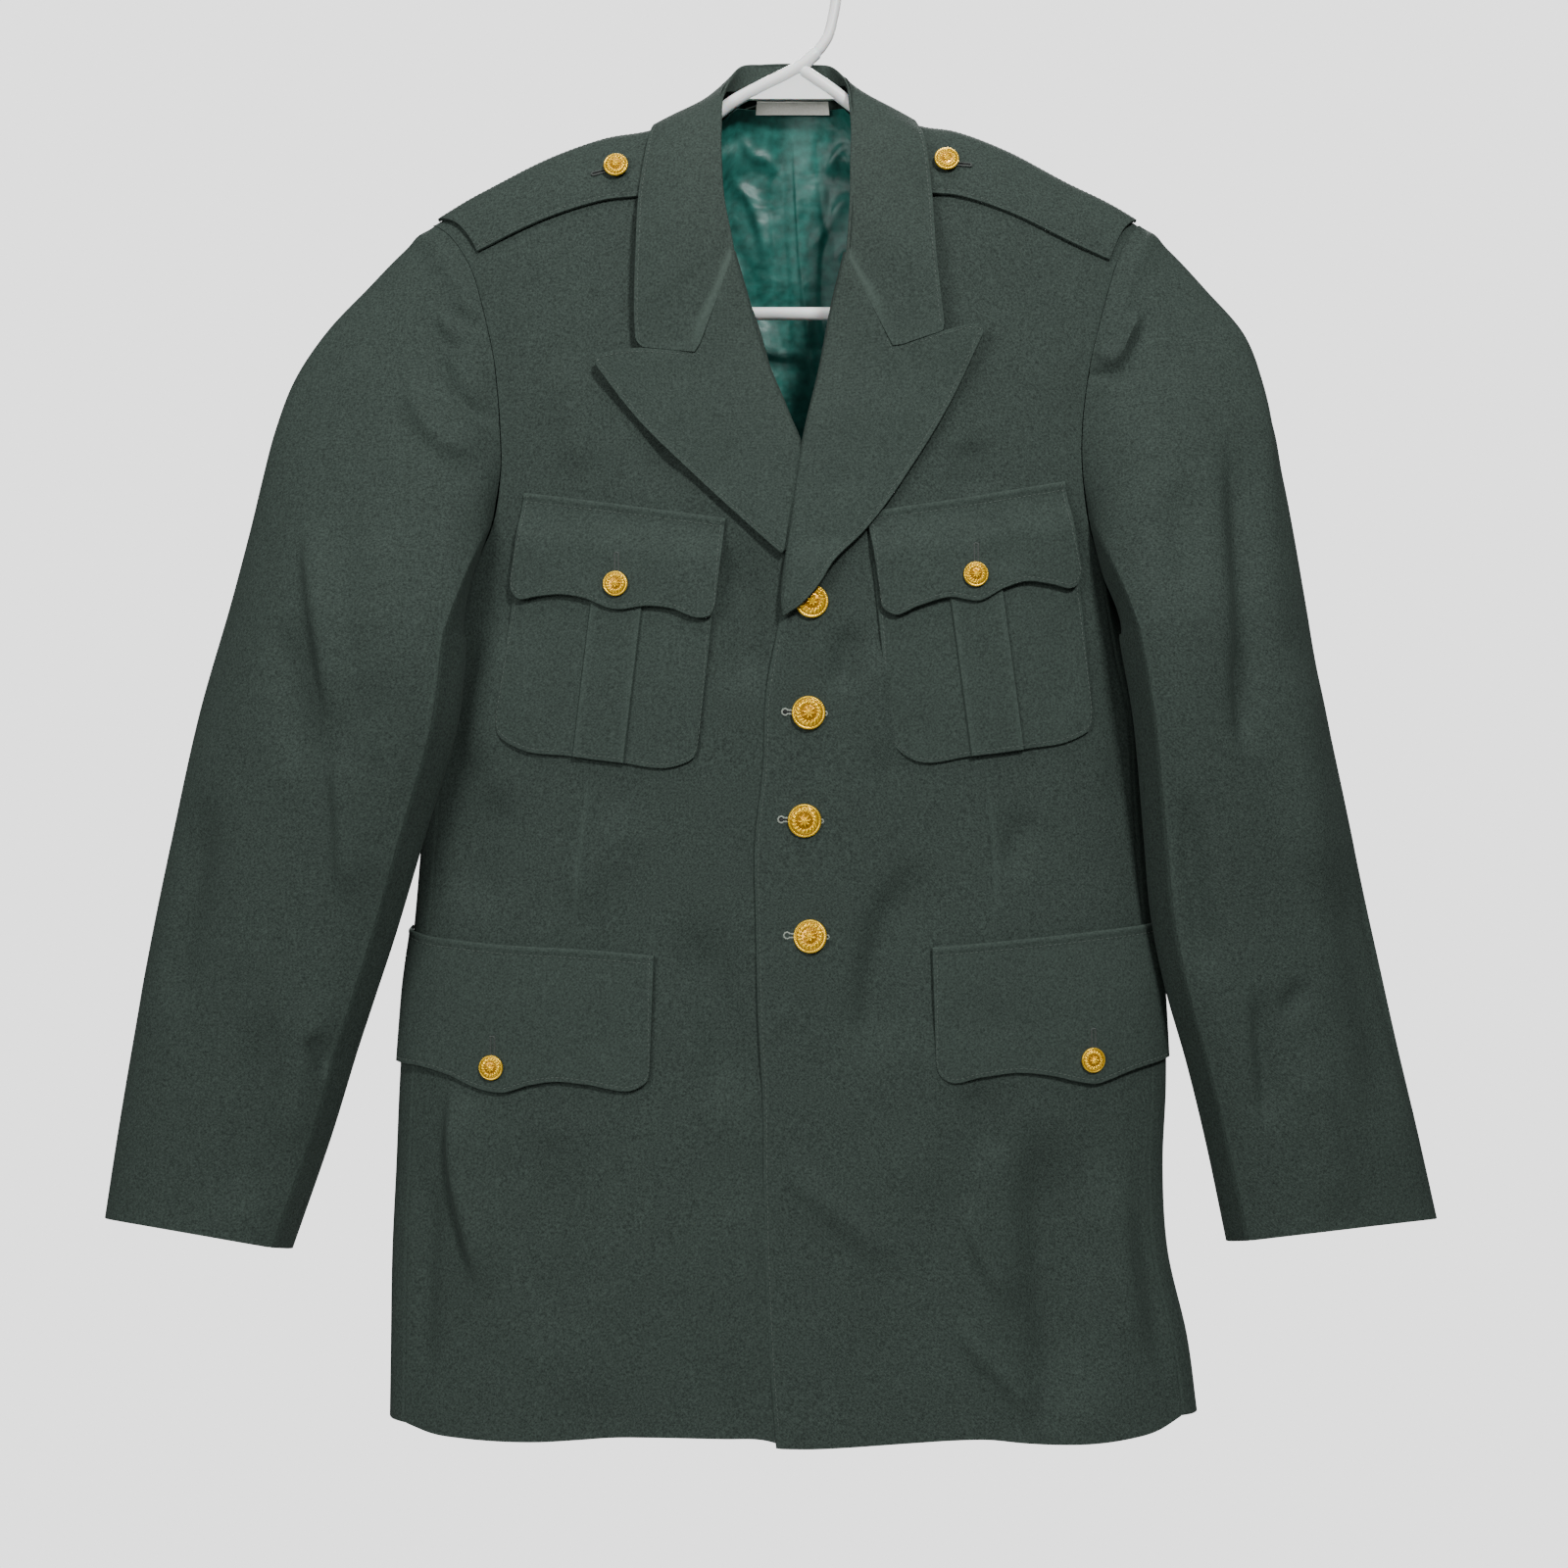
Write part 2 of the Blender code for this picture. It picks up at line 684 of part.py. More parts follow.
def panel_row(x_inner, z_inner, x_outer, z_outer, surface, shoulder_share, columns):
    """A row of a panel: even spacing on the surface, bent to the ridge near the top."""
    along = np.linspace(0, 1, 200)
    u_inner, u_outer = across(x_inner, z_inner), across(x_outer, z_outer)
    turn = np.arcsin(signed_power(np.array([u_inner, u_outer]), ROUNDNESS / 2))
    u = signed_power(np.sin(turn[0] + (turn[1] - turn[0]) * along), 2 / ROUNDNESS)
    share = (u - u_inner) / (u_outer - u_inner)
    z = z_inner + (z_outer - z_inner) * share
    middle, half = middle_and_half(z)
    x = middle + half * u
    chord = ridge_z(x_inner) + (ridge_z(x_outer) - ridge_z(x_inner)) * share
    z = z + shoulder_share * (ridge_z(x) - chord)
    row = np.stack([x, surface(x, z), z], axis=-1)
    return resample(row, columns)


def hem_z(x):
    return np.interp(x, HEM[:, 0], HEM[:, 1])


def loop_at_height(z, loop, knot_at, back):
    """The armhole's point at height z, on its front or its back."""
    if back:
        part = loop[int(knot_at[BACK_LOW] * (len(loop) - 1)) - 1:]
    else:
        part = loop[: int(knot_at[FRONT_LOW] * (len(loop) - 1)) + 2][::-1]
    return np.array([np.interp(z, part[:, 2], part[:, k]) for k in (0, 1)] + [z])


def outer_point(z, side, loop, knot_at, back):
    """A panel's outer edge: the side seam, then the armhole."""
    low_knot = loop_point(loop, knot_at[BACK_LOW if back else FRONT_LOW])
    if z < low_knot[2] - 0.5:
        return girth_point(np.float64(z), seam_angle(z, back), side)
    return loop_at_height(z, loop, knot_at, back)


def ridge_rows(height):
    return [height * (1 - math.cos(math.radians(a))) for a in RIDGE_ANGLES]


def row_heights(table, neck_z, shoulder_z, height):
    """Inner height, outer height and share of the ridge's bend, hem to shoulder."""
    inner, outer = matched_rows(table)
    share = [0.0] * (len(inner) - len(BEND_SHARES)) + list(BEND_SHARES)
    for drop in ridge_rows(height):
        inner.append(neck_z - drop)
        outer.append(shoulder_z - drop)
        share.append(1.0)
    return list(zip(inner, outer, share))


def front_heights(side):
    edge = EDGE_LEFT if side == LEFT else EDGE_RIGHT
    loop, _ = armhole_loop(side)
    return row_heights(FRONT_ROWS, edge[-1, 0], loop[0][2], SHOULDER_FRONT)


def back_heights(side):
    loop, _ = armhole_loop(side)
    return row_heights(BACK_ROWS, float(ridge_z(CENTRE)), loop[0][2], SHOULDER_BACK)


def front_grid(side, columns=FRONT_COLUMNS):
    loop, knot_at = armhole_loop(side)
    edge = EDGE_LEFT if side == LEFT else EDGE_RIGHT
    rows = []
    for z_inner, z_outer, bend in front_heights(side):
        x_inner = float(through(edge[:, 0], edge[:, 1], z_inner))
        outer = outer_point(z_outer, side, loop, knot_at, False)
        row = panel_row(x_inner, z_inner, outer[0], z_outer,
                        lambda x, z: front_y(x, z, side), bend, columns)
        row[-1] = outer
        rows.append(row)
    grid = np.array(rows)
    grid[0] = hem_row(grid[0], side)
    return grid


def hem_row(row, side):
    """The front's lowest row, let down to the hem line."""
    row = row.copy()
    row[:, 2] = hem_z(row[:, 0])
    row[:, 1] = front_y(row[:, 0], row[:, 2], side)
    row[-1] = girth_point(hem_corner(side), seam_angle(row[-1, 2], False), side)
    return row


def hem_corner(side):
    """Height of the hem at the front side seam."""
    lowest = FRONT_ROWS[0][1]
    return float(hem_z(girth_point(lowest, seam_angle(lowest, False), side)[0]))


def back_grid(side, columns=BACK_COLUMNS):
    loop, knot_at = armhole_loop(side)
    rows = []
    for z_inner, z_outer, bend in back_heights(side):
        outer = outer_point(z_outer, side, loop, knot_at, True)
        row = panel_row(CENTRE, z_inner, outer[0], z_outer, back_y, bend, columns)
        row[-1] = outer
        rows.append(row)
    grid = np.array(rows)
    # the neckline dips below the ridge line between the neck points
    for k, weight in enumerate(NECK_DIP_SHARES, start=1):
        row = grid[-k, :-1]
        row[:, 2] -= weight * neck_dip(row[:, 0])
        row[:, 1] = back_y(row[:, 0], row[:, 2])
    return grid


def neck_dip(x):
    """Depth of the back neckline below the ridge line."""
    reach = np.where(x < CENTRE, CENTRE - NECK_POINTS[0], NECK_POINTS[1] - CENTRE)
    return NECK_DIP * np.clip(1 - (np.abs(x - CENTRE) / reach) ** 2, 0, 1)


def side_grid(side, columns=SIDE_COLUMNS):
    """The side body, its rows level with the front's at one edge and the back's at the other."""
    loop, knot_at = armhole_loop(side)
    top = loop_point(loop, np.linspace(knot_at[FRONT_LOW], knot_at[BACK_LOW], columns))
    share = np.linspace(0, 1, columns)
    front_z = [row[1] for row in front_heights(side)[:ROWS_BELOW_ARM]]
    back_z = [row[1] for row in back_heights(side)[:ROWS_BELOW_ARM]]
    front_z[0] = hem_corner(side)
    grid = np.zeros((ROWS_BELOW_ARM, columns, 3))
    dip = top[:, 2] - (top[0, 2] + (top[-1, 2] - top[0, 2]) * share)
    for r, (z_front, z_back) in enumerate(zip(front_z, back_z)):
        z = z_front + (z_back - z_front) * share
        z = z + dip * smoothstep(ROWS_BELOW_ARM - 5, ROWS_BELOW_ARM - 1, r)
        angle = seam_angle(z_front, False) * (1 - share) + seam_angle(z_back, True) * share
        grid[r] = girth_point(z, angle, side)
    grid[-1] = top
    return grid


def add_body():
    for side in (LEFT, RIGHT):
        grid = front_grid(side)
        add_wall(side_name("front", side), inset(grid, end=HALF_SEAM), WOOL, "wool_green",
                 normals=body_normals(grid, False))
        grid = back_grid(side)
        normals = body_normals(grid, True)
        normals[:, 0, 0] = 0.0
        add_wall(side_name("back", side), inset(grid, start=HALF_SEAM, end=HALF_SEAM), WOOL,
                 "wool_green", normals=unit(normals))
        grid = side_grid(side)
        add_wall(side_name("side", side), inset(grid, start=HALF_SEAM, end=HALF_SEAM), WOOL,
                 "wool_green", normals=body_normals(grid, grid[..., 1] > 0))


# ---------------------------------------------------------------- sleeves
def sleeve_ring(row, angle):
    """Point of a sleeve's ring at an angle from its outer edge round the front."""
    outer_x, outer_z, inner_x, inner_z, inner_y, outer_y, front, back = row
    share = (1 + signed_power(np.cos(angle), 2 / SLEEVE_ROUNDNESS)) / 2
    depth = np.where(np.sin(angle) > 0, front, back)
    x = inner_x + (outer_x - inner_x) * share
    y = inner_y + (outer_y - inner_y) * share
    y = y - depth * signed_power(np.sin(angle), 2 / SLEEVE_ROUNDNESS)
    z = inner_z + (outer_z - inner_z) * share
    return np.stack([x, y, z], axis=-1)


def armhole_stations(side):
    """Places on the armhole loop of every row of the panels round it, as shares of its length."""
    loop, knot_at = armhole_loop(side)
    where = np.linspace(0, 1, len(loop))
    low, high = knot_at[FRONT_LOW], knot_at[BACK_LOW]
    front = [row[1] for row in front_heights(side)[ROWS_BELOW_ARM - 1:]]
    back = [row[1] for row in back_heights(side)[ROWS_BELOW_ARM - 1:]]
    on_front = where <= low
    on_back = where >= high
    stations = [float(np.interp(-z, -loop[on_front, 2], where[on_front])) for z in front[::-1]]
    stations[-1] = low
    stations += list(np.linspace(low, high, SIDE_COLUMNS)[1:])
    stations += [float(np.interp(z, loop[on_back, 2], where[on_back])) for z in back[1:]]
    return np.array(stations)


def station_angles(stations, knot_at):
    """The sleeve's angle, outer edge round the front, at each armhole station, in degrees."""
    return np.interp(stations, [0, knot_at[FRONT_MID], knot_at[UNDERARM], knot_at[BACK_MID], 1],
                     [0, 90, 180, 270, 360])


def cap_vectors(angle, side, first):
    """Leaving or arriving direction of the cap: three columns of its table from the first."""
    table = np.array(CAP[side], float)
    turn = np.mod(np.degrees(angle), 360)
    low = np.searchsorted(table[:, 0], turn, side="right") - 1
    low = np.clip(low, 0, len(table) - 2)
    share = smoothstep(table[low, 0], table[low + 1, 0], turn)[:, None]
    ways = table[low, first:first + 3] * (1 - share) + table[low + 1, first:first + 3] * share
    return ways * np.array([side, 1, 1])


def armhole_frame(side, at):
    """Armhole points and the way from the panels' edge into the hole."""
    loop, _ = armhole_loop(side)
    step = 0.004
    point = loop_point(loop, at)
    tangent = unit(loop_point(loop, np.mod(at + step, 1)) - loop_point(loop, np.mod(at - step, 1)))
    normal = body_normals(point, point[:, 1] > 0)
    flat = unit(normal - tangent * np.sum(normal * tangent, axis=1, keepdims=True))
    return point, unit(np.cross(tangent, flat)) * -side


def to_cap_line(rows, start, below, side):
    """Moves the outer part of a cap's rows so that its outermost points lie on its outline."""
    line = np.array(CAP_LINE[side], float)[::-1]
    for k, row in enumerate(rows):
        share = k / CAP_ROWS
        angle = start * (1 - share) + below * share
        outermost = np.argmax(side * row[:, 0])
        short = np.interp(row[outermost, 2], line[:, 0], line[:, 1]) - row[outermost, 0]
        row[:, 0] += short * ((1 + np.cos(angle)) / 2) ** CAP_LINE_POWER * (k > 0)


def sleeve_grid(side):
    """Closed grid of a whole sleeve, armhole to cuff, with the columns of its two seams."""
    rings = np.array(SLEEVE_LEFT if side == LEFT else SLEEVE_RIGHT, float)
    _, knot_at = armhole_loop(side)
    stations = armhole_stations(side)
    start = station_angles(stations, knot_at)
    forearm = int(np.argmin(np.abs(start - FOREARM_SEAM[0])))
    hindarm = int(np.argmin(np.abs(start - 360 - HINDARM_SEAM[side][0])))
    hindarm_below, forearm_below = HINDARM_SEAM[side][1], FOREARM_SEAM[1]
    below = np.interp(start, [start[hindarm] - 360, start[forearm], 180, start[hindarm],
                              start[forearm] + 360],
                      [hindarm_below, forearm_below, UNDERARM_BELOW, hindarm_below + 360,
                       forearm_below + 360])
    start, below = np.radians(start), np.radians(below)
    seam, way_out = armhole_frame(side, stations)
    seam = seam + way_out * SEAM
    leave = seam + cap_vectors(start, side, 1)
    arrive = sleeve_ring(rings[0], below) + cap_vectors(below, side, 4)
    rows = []
    for t in np.linspace(0, 1, CAP_ROWS + 1)[:-1]:
        rows.append(seam * (1 - t) ** 3 + 3 * leave * t * (1 - t) ** 2
                    + 3 * arrive * t * t * (1 - t) + sleeve_ring(rings[0], below) * t ** 3)
    to_cap_line(rows, start, below, side)
    for row in rings:
        rows.append(sleeve_ring(row, below))
    rows[-1][:, 2] += CUFF_RISE * np.clip(np.sin(below), 0, 1)
    grid = np.array(rows)
    normals = tube_normals(grid)
    # at the seam the wall must not lean back over the panel's edge
    lean = np.clip(np.sum(normals[0] * way_out, axis=1, keepdims=True), 0, 1)
    normals[0] = unit(normals[0] - lean * way_out)
    return grid, normals, forearm, hindarm


def tube_normals(grid):
    """Normals of a closed tube of rings (first and last column alike), pointing outward."""
    down = np.gradient(grid, axis=0)
    ahead = np.roll(grid[:, :-1], -1, axis=1)
    behind = np.roll(grid[:, :-1], 1, axis=1)
    along = ahead - behind
    along = np.concatenate([along, along[:, :1]], axis=1)
    normals = unit(np.cross(along, down))
    last = grid[-1]
    if np.sum(normals[-1] * (last - last.mean(axis=0))) < 0:
        normals = -normals
    return normals


def add_sleeves():
    for side in (LEFT, RIGHT):
        grid, normals, forearm, hindarm = sleeve_grid(side)
        count = grid.shape[1] - 1
        over = [k % count for k in range(hindarm, forearm + count + 1)]
        under = list(range(forearm, hindarm + 1))
        for stem, columns in (("top_sleeve", over), ("under_sleeve", under)):
            piece = inset(grid[:, columns], start=HALF_SEAM, end=HALF_SEAM)
            add_wall(side_name(stem, side), piece, WOOL, "wool_green",
                     normals=normals[:, columns])


# ---------------------------------------------------------------- collar and lapels
def add_collar():
    along = np.arange(len(COLLAR))
    at = np.linspace(0, along[-1], COLLAR_ROWS)
    table = through(along, COLLAR, at)
    fold, edge = table[:, None, 0:3], table[:, None, 3:6]
    spread = np.linspace(0, 1, COLLAR_COLUMNS)
    grid = fold + (edge - fold) * spread[None, :, None]
    # both front ends turn at the notch, along the gorge and then the free end
    for end, notch in ((0, NOTCH_RIGHT), (-1, NOTCH_LEFT)):
        corner = grid[end, -1]
        bend = (notch[0], NOTCH_Y, notch[1])
        grid[end] = polyline([grid[end, 0], bend, corner], COLLAR_COLUMNS)
    swell = through(COLLAR_SWELL[:, 0], COLLAR_SWELL[:, 1], at)[:, None] * np.sin(math.pi * spread)
    normals = collar_normals(grid)
    grid = grid + normals * swell[..., None]
    add_wall("collar_fall", grid, DOUBLE, "wool_green", normals=normals)

    first, last = STAND_STATIONS
    at = np.linspace(first, last, 17)
    table = through(along, COLLAR, at)
    top, seam = table[:, 0:3] - np.array([0, 0, STAND_DROP]), table[:, 6:9]
    spread = np.linspace(0, 1, 3)[None, :, None]
    grid = top[:, None] + (seam - top)[:, None] * spread
    grid = grid + inward_from(grid, STAND_INSIDE)
    add_wall("collar_stand", grid, WOOL, "wool_green", normals=stand_normals(grid))


def collar_normals(grid):
    down = np.gradient(grid, axis=0)
    along = np.gradient(grid, axis=1)
    normals = unit(np.cross(along, down))
    middle = len(grid) // 2
    if normals[middle, 3, 1] < 0:
        normals = -normals
    return normals


def inward_from(grid, distance):
    """Shift toward the neck's axis."""
    axis = np.array([CENTRE, 0.0])
    toward = axis - grid[..., :2]
    toward = toward / np.linalg.norm(toward, axis=-1, keepdims=True)
    return np.concatenate([toward * distance, np.zeros(grid.shape[:2] + (1,))], axis=-1)


def stand_normals(grid):
    axis = np.array([CENTRE, 0.0, 0.0])
    away = grid - axis
    away[..., 2] = 0
    return unit(away)


def coons(top, foot, start, end, rows, columns):
    """A four-sided patch between its boundary curves, each run the same way."""
    top, foot = top(columns), foot(columns)
    start, end = start(rows), end(rows)
    u = np.linspace(0, 1, columns)[None, :, None]
    v = np.linspace(0, 1, rows)[:, None, None]
    ruled = (1 - v) * top[None] + v * foot[None] + (1 - u) * start[:, None] + u * end[:, None]
    corners = ((1 - u) * (1 - v) * top[0] + u * (1 - v) * top[-1]
               + (1 - u) * v * foot[0] + u * v * foot[-1])
    return ruled - corners


def add_lapels():
    for side, outline in ((LEFT, LAPEL_LEFT), (RIGHT, LAPEL_RIGHT)):
        flat = coons(lambda n: polyline(outline["top"], n),
                     lambda n: polyline([outline["roll"][-1], outline["edge"][-1]], n),
                     lambda n: curve(outline["roll"], n),
                     lambda n: curve(outline["edge"], n), 14, 9)
        x, z = flat[..., 0], flat[..., 1]
        grid = np.stack([x, front_y(x, z, side), z], axis=-1)
        spread = np.linspace(0, 1, flat.shape[1])[None, :]
        lift = LAPEL_LIFT + LAPEL_ROLL * (1 - spread) * smoothstep(0.0, 0.25, spread + 0.1)
        if side == LEFT:
            cover_x, cover_z, reach, end, cover_lift = BUTTON_COVER
            near = 1 - smoothstep(reach, end, np.hypot(x - cover_x, z - cover_z))
            lift = lift + (cover_lift - lift) * near * smoothstep(*BUTTON_COVER_EDGE, x)
        normals = grid_normals(grid, (0, -1, 0))
        add_wall(side_name("lapel", side), grid, DOUBLE, "wool_green", (0, -1, 0),
                 lift=lift, normals=normals)


# ---------------------------------------------------------------- straps, pockets, flaps
def ridge_point(x, angle, side):
    """Point of the shoulder at x, at an angle from the ridge down the front."""
    z = ridge_z(x) - SHOULDER_FRONT * (1 - np.cos(angle))
    y = np.where(angle > 0, front_y(x, z, side), back_y(x, z))
    return np.stack([x, y, z], axis=-1)


def add_straps():
    rows, columns = 12, 7
    for side in (LEFT, RIGHT):
        loop, knot_at = armhole_loop(side)
        inner_x, low_outer, low_inner = STRAP[side]
        grid = np.zeros((rows, columns, 3))
        for c, share in enumerate(np.linspace(0, 1, columns)):
            low_outer_angle = math.radians(STRAP_TOP + (low_outer - STRAP_TOP) * share)
            low_inner_angle = math.radians(STRAP_TOP + (low_inner - STRAP_TOP) * share)
            drop = SHOULDER_FRONT * (1 - math.cos(low_outer_angle))
            seam = loop_at_height(loop[0][2] - drop - STRAP_TOP, loop, knot_at, False)
            outer_x = seam[0] - side * STRAP_ENDS
            along = np.linspace(0, 1, rows)
            x = outer_x + (inner_x - outer_x) * along
            angle = low_outer_angle + (low_inner_angle - low_outer_angle) * along
            grid[:, c] = ridge_point(x, angle, side)
        rise = smoothstep(0, STRAP_SEAM_SHARE, along)[:, None]
        add_wall(side_name("shoulder_strap", side), grid, DOUBLE, "wool_green", (0, -1, 1),
                 lift=STRAP_SEAM_LIFT + (STRAP_LIFT - STRAP_SEAM_LIFT) * rise)


def on_front(outline_top, outline_foot, side, rows, columns):
    """Grid on a front between an upper and a lower outline, evenly spaced on the cloth."""
    lines = []
    for outline in (outline_top, outline_foot):
        flat = curve(outline, 160, dense=400)
        deep = np.stack([flat[:, 0], front_y(flat[:, 0], flat[:, 1], side), flat[:, 1]], axis=-1)
        lines.append(resample(deep, columns))
    down = np.linspace(0, 1, rows)[:, None, None]
    grid = lines[0][None] * (1 - down) + lines[1][None] * down
    grid[..., 1] = front_y(grid[..., 0], grid[..., 2], side)
    return grid


def add_breast_pockets():
    for side in (LEFT, RIGHT):
        shape = BREAST_POCKET[side]
        grid = on_front(shape["top"], shape["foot"], side, 9, 17)
        top_x, foot_x, width = shape["pleat"]
        down = np.linspace(0, 1, 9)[:, None]
        pleat_left = top_x + (foot_x - top_x) * down
        pleat_right = pleat_left + width
        x = grid[..., 0]
        on_pleat = (smoothstep(pleat_left - PLEAT_EDGE, pleat_left + PLEAT_EDGE, x)
                    * (1 - smoothstep(pleat_right - PLEAT_EDGE, pleat_right + PLEAT_EDGE, x)))
        add_wall(side_name("breast_pocket", side), grid, WOOL, "wool_green", (0, -1, 0),
                 lift=POCKET_LIFT + PLEAT_RISE * on_pleat)


def add_flaps():
    for stem, shapes, foot_lift in (("breast_flap", BREAST_FLAP, BREAST_FLAP_LIFT),
                                    ("lower_flap", LOWER_FLAP, LOWER_FLAP_LIFT)):
        for side in (LEFT, RIGHT):
            shape = shapes[side]
            grid = on_front(shape["top"], shape["foot"], side, 6, 17)
            down = np.linspace(0, 1, 6)[:, None]
            lift = FLAP_LIFT_TOP + (foot_lift - FLAP_LIFT_TOP) * smoothstep(0.15, 0.5, down)
            add_wall(side_name(stem, side), grid, DOUBLE, "wool_green", (0, -1, 0), lift=lift)


# ---------------------------------------------------------------- buttons
# Rings of a button, back to dome, and its tip, all as shares of its radius
BUTTON_PROFILE = [
    # radius, height
    (0.80, 0.0),
    (1.0, 0.08),
    (1.0, 0.17),
    (0.86, 0.21),
    (0.5, 0.30),
]
BUTTON_TIP = 0.36
BUTTON_SIDES = 16


def add_button(name, centre, normal, diameter):
    """A domed button: a flat back, a rim and a low dome, turned about its normal."""
    radius, sides = diameter / 2, BUTTON_SIDES
    normal = unit(np.asarray(normal, float))
    first = unit(np.cross((0.0, 0.0, 1.0), normal))
    second = np.cross(normal, first)
    verts = [centre]
    for share, height in BUTTON_PROFILE:
        for k in range(sides):
            turn = 2 * math.pi * k / sides
            spoke = math.cos(turn) * first + math.sin(turn) * second
            verts.append(centre + radius * (share * spoke + height * normal))
    verts.append(centre + radius * BUTTON_TIP * normal)
    faces = []
    for k in range(sides):
        faces.append((0, 1 + (k + 1) % sides, 1 + k))
        for ring in range(len(BUTTON_PROFILE) - 1):
            low, high = 1 + ring * sides, 1 + (ring + 1) * sides
            faces.append((low + k, low + (k + 1) % sides, high + (k + 1) % sides, high + k))
        top = 1 + (len(BUTTON_PROFILE) - 1) * sides
        faces.append((top + k, top + (k + 1) % sides, len(verts) - 1))
    return add_object(name, verts, faces, "gilt")


def front_frame(x, z, side):
    """A point of a front's surface and its outward normal."""
    step = 4.0
    at = np.array([x, float(front_y(x, z, side)), z])
    across_step = np.array([2 * step, float(front_y(x + step, z, side) - front_y(x - step, z, side)), 0])
    up_step = np.array([0, float(front_y(x, z + step, side) - front_y(x, z - step, side)), 2 * step])
    return at, unit(np.cross(across_step, up_step))


def add_buttons():
    for k, (x, z) in enumerate(FRONT_BUTTONS, start=1):
        at, normal = front_frame(x, z, LEFT)
        add_button(f"front_button_{k}", at + normal * SEAM, normal, FRONT_BUTTON)
    for side in (LEFT, RIGHT):
        x, z = BREAST_BUTTONS[side]
        at, normal = front_frame(x, z, side)
        lift = BREAST_FLAP_LIFT + DOUBLE + 2 * SEAM
        add_button(side_name("breast_button", side), at + normal * lift, normal, SMALL_BUTTON)
        x, z = LOWER_BUTTONS[side]
        at, normal = front_frame(x, z, side)
        lift = LOWER_FLAP_LIFT + DOUBLE + 2 * SEAM
        add_button(side_name("lower_button", side), at + normal * lift, normal, SMALL_BUTTON)
        x, angle = STRAP_BUTTONS[side]
        x = np.float64(x)
        low, high = (ridge_point(x, np.radians(angle + d), side) for d in (6, -6))
        left, right = (ridge_point(x + d, np.radians(angle), side) for d in (4, -4))
        normal = unit(np.cross(left - right, high - low))
        at = ridge_point(x, np.radians(angle), side) + normal * (STRAP_LIFT + DOUBLE + SHANK)
        facing = unit(normal + BUTTON_TILT * np.array([0, -1, 0]))
        add_button(side_name("strap_button", side), at, facing, SMALL_BUTTON)


# ---------------------------------------------------------------- lining and label
LINING_FOOT, LINING_TOP = -945, -117.5    # heights of its edges at the centre back
LINING_REACH = 0.90     # its half width as a share of the girth's, below the arms
UNDER_ARMS, AT_NECK = 0.20, 0.34        # and how much narrower it is higher up
LINING_BELOW = 8        # how far its upper edge stays below the shoulders' ridge
LINING_ROWS, LINING_COLUMNS = 19, 15
LABEL_X, LABEL_Z = (-39, 14), (-119.6, -111.4)


def add_lining():
    """The satin back, hung inside both backs from the neck to above the hem."""
    rows, columns = LINING_ROWS, LINING_COLUMNS
    grid = np.zeros((rows, columns, 3))
    for r, z_mid in enumerate(np.linspace(LINING_FOOT, LINING_TOP, rows)):
        reach = (LINING_REACH - UNDER_ARMS * smoothstep(-470, -380, z_mid)
                 - AT_NECK * smoothstep(-300, LINING_TOP, z_mid))
        u = np.linspace(-reach, reach, columns)
        middle, half = middle_and_half(z_mid)
        x = middle + half * u
        fall = np.maximum(LINING_TOP - ridge_z(x) + LINING_BELOW, 0)
        z = z_mid - fall * smoothstep(-330, LINING_TOP, z_mid)
        grid[r] = np.stack([x, back_y(x, z), z], axis=-1)
    add_wall("lining_back", grid, SATIN, "satin_green", (0, 1, 0), lift=-(WOOL + SATIN + LINING_GAP))
    strip = np.zeros((2, 7, 3))
    for r, z in enumerate(LABEL_Z):
        x = np.linspace(*LABEL_X, 7)
        strip[r] = np.stack([x, back_y(x, z + 0 * x), z + 0 * x], axis=-1)
    add_wall("label", strip, LABEL_WALL, "label_cream", (0, 1, 0),
             lift=-(WOOL + 2 * SATIN + 2 * LINING_GAP))


# ---------------------------------------------------------------- hanger
def add_tube(name, points, diameter, sides=8):
    """A closed tube along points that lie in the plane y = 0."""
    points = np.asarray(points, float)
    tangent = unit(np.gradient(points, axis=0))
    depth = np.array([0.0, 1.0, 0.0])
    verts, faces = [], []
    for point, way in zip(points, tangent):
        flat = np.cross(way, depth)
        for k in range(sides):
            turn = 2 * math.pi * (k + 0.5) / sides
            verts.append(point + diameter / 2 * (math.cos(turn) * flat + math.sin(turn) * depth))
    for r in range(len(points) - 1):
        for k in range(sides):
            a, b = r * sides + k, r * sides + (k + 1) % sides
            faces.append((a, b, b + sides, a + sides))
    faces.append(tuple(range(sides)))
    faces.append(tuple((len(points) - 1) * sides + k for k in reversed(range(sides))))
    return add_object(name, verts, faces, "plastic_white")


HANGER_BAR_Z = -257.0
ARM = {
    # centreline from the junction: x, z
    RIGHT: [(1.8, -88.4), (-6, -95.2), (-14.5, -100.3), (-33, -109.5), (-53, -120.5), (-66, -130.5),
            (-100, -149), (-150, -176), (-180, -194), (-195, -210), (-197, -228), (-184, -247),
            (-164, -256.5), (-150, -257)],
    LEFT: [(-4.7, -100.1), (3.7, -105.8), (13.3, -112.3), (20, -117.5), (45, -135), (80, -153),
           (120, -172), (150, -188), (168, -206), (170, -228), (158, -247), (138, -256.5),
           (124, -257)],
}


# The hook's stem from the arms' junction to the start of its arc: x, z
HOOK_STEM = [(1.8, -88.4), (6, -83.6), (9.8, -77.5), (13.5, -64), (16.5, -46), (20, -31)]
HOOK_TURN = 196         # the arc's angle in degrees, in steps of 15
ARM_START = 1.2         # the arms' tubes leave this much for the junction
# The plate's corners below the junction of the arms
WEB_CORNERS = [(-39, -118), (11.8, -118), (-8.5, -105.4)]
ARM_SAMPLES, ARM_RINGS = 240, 21


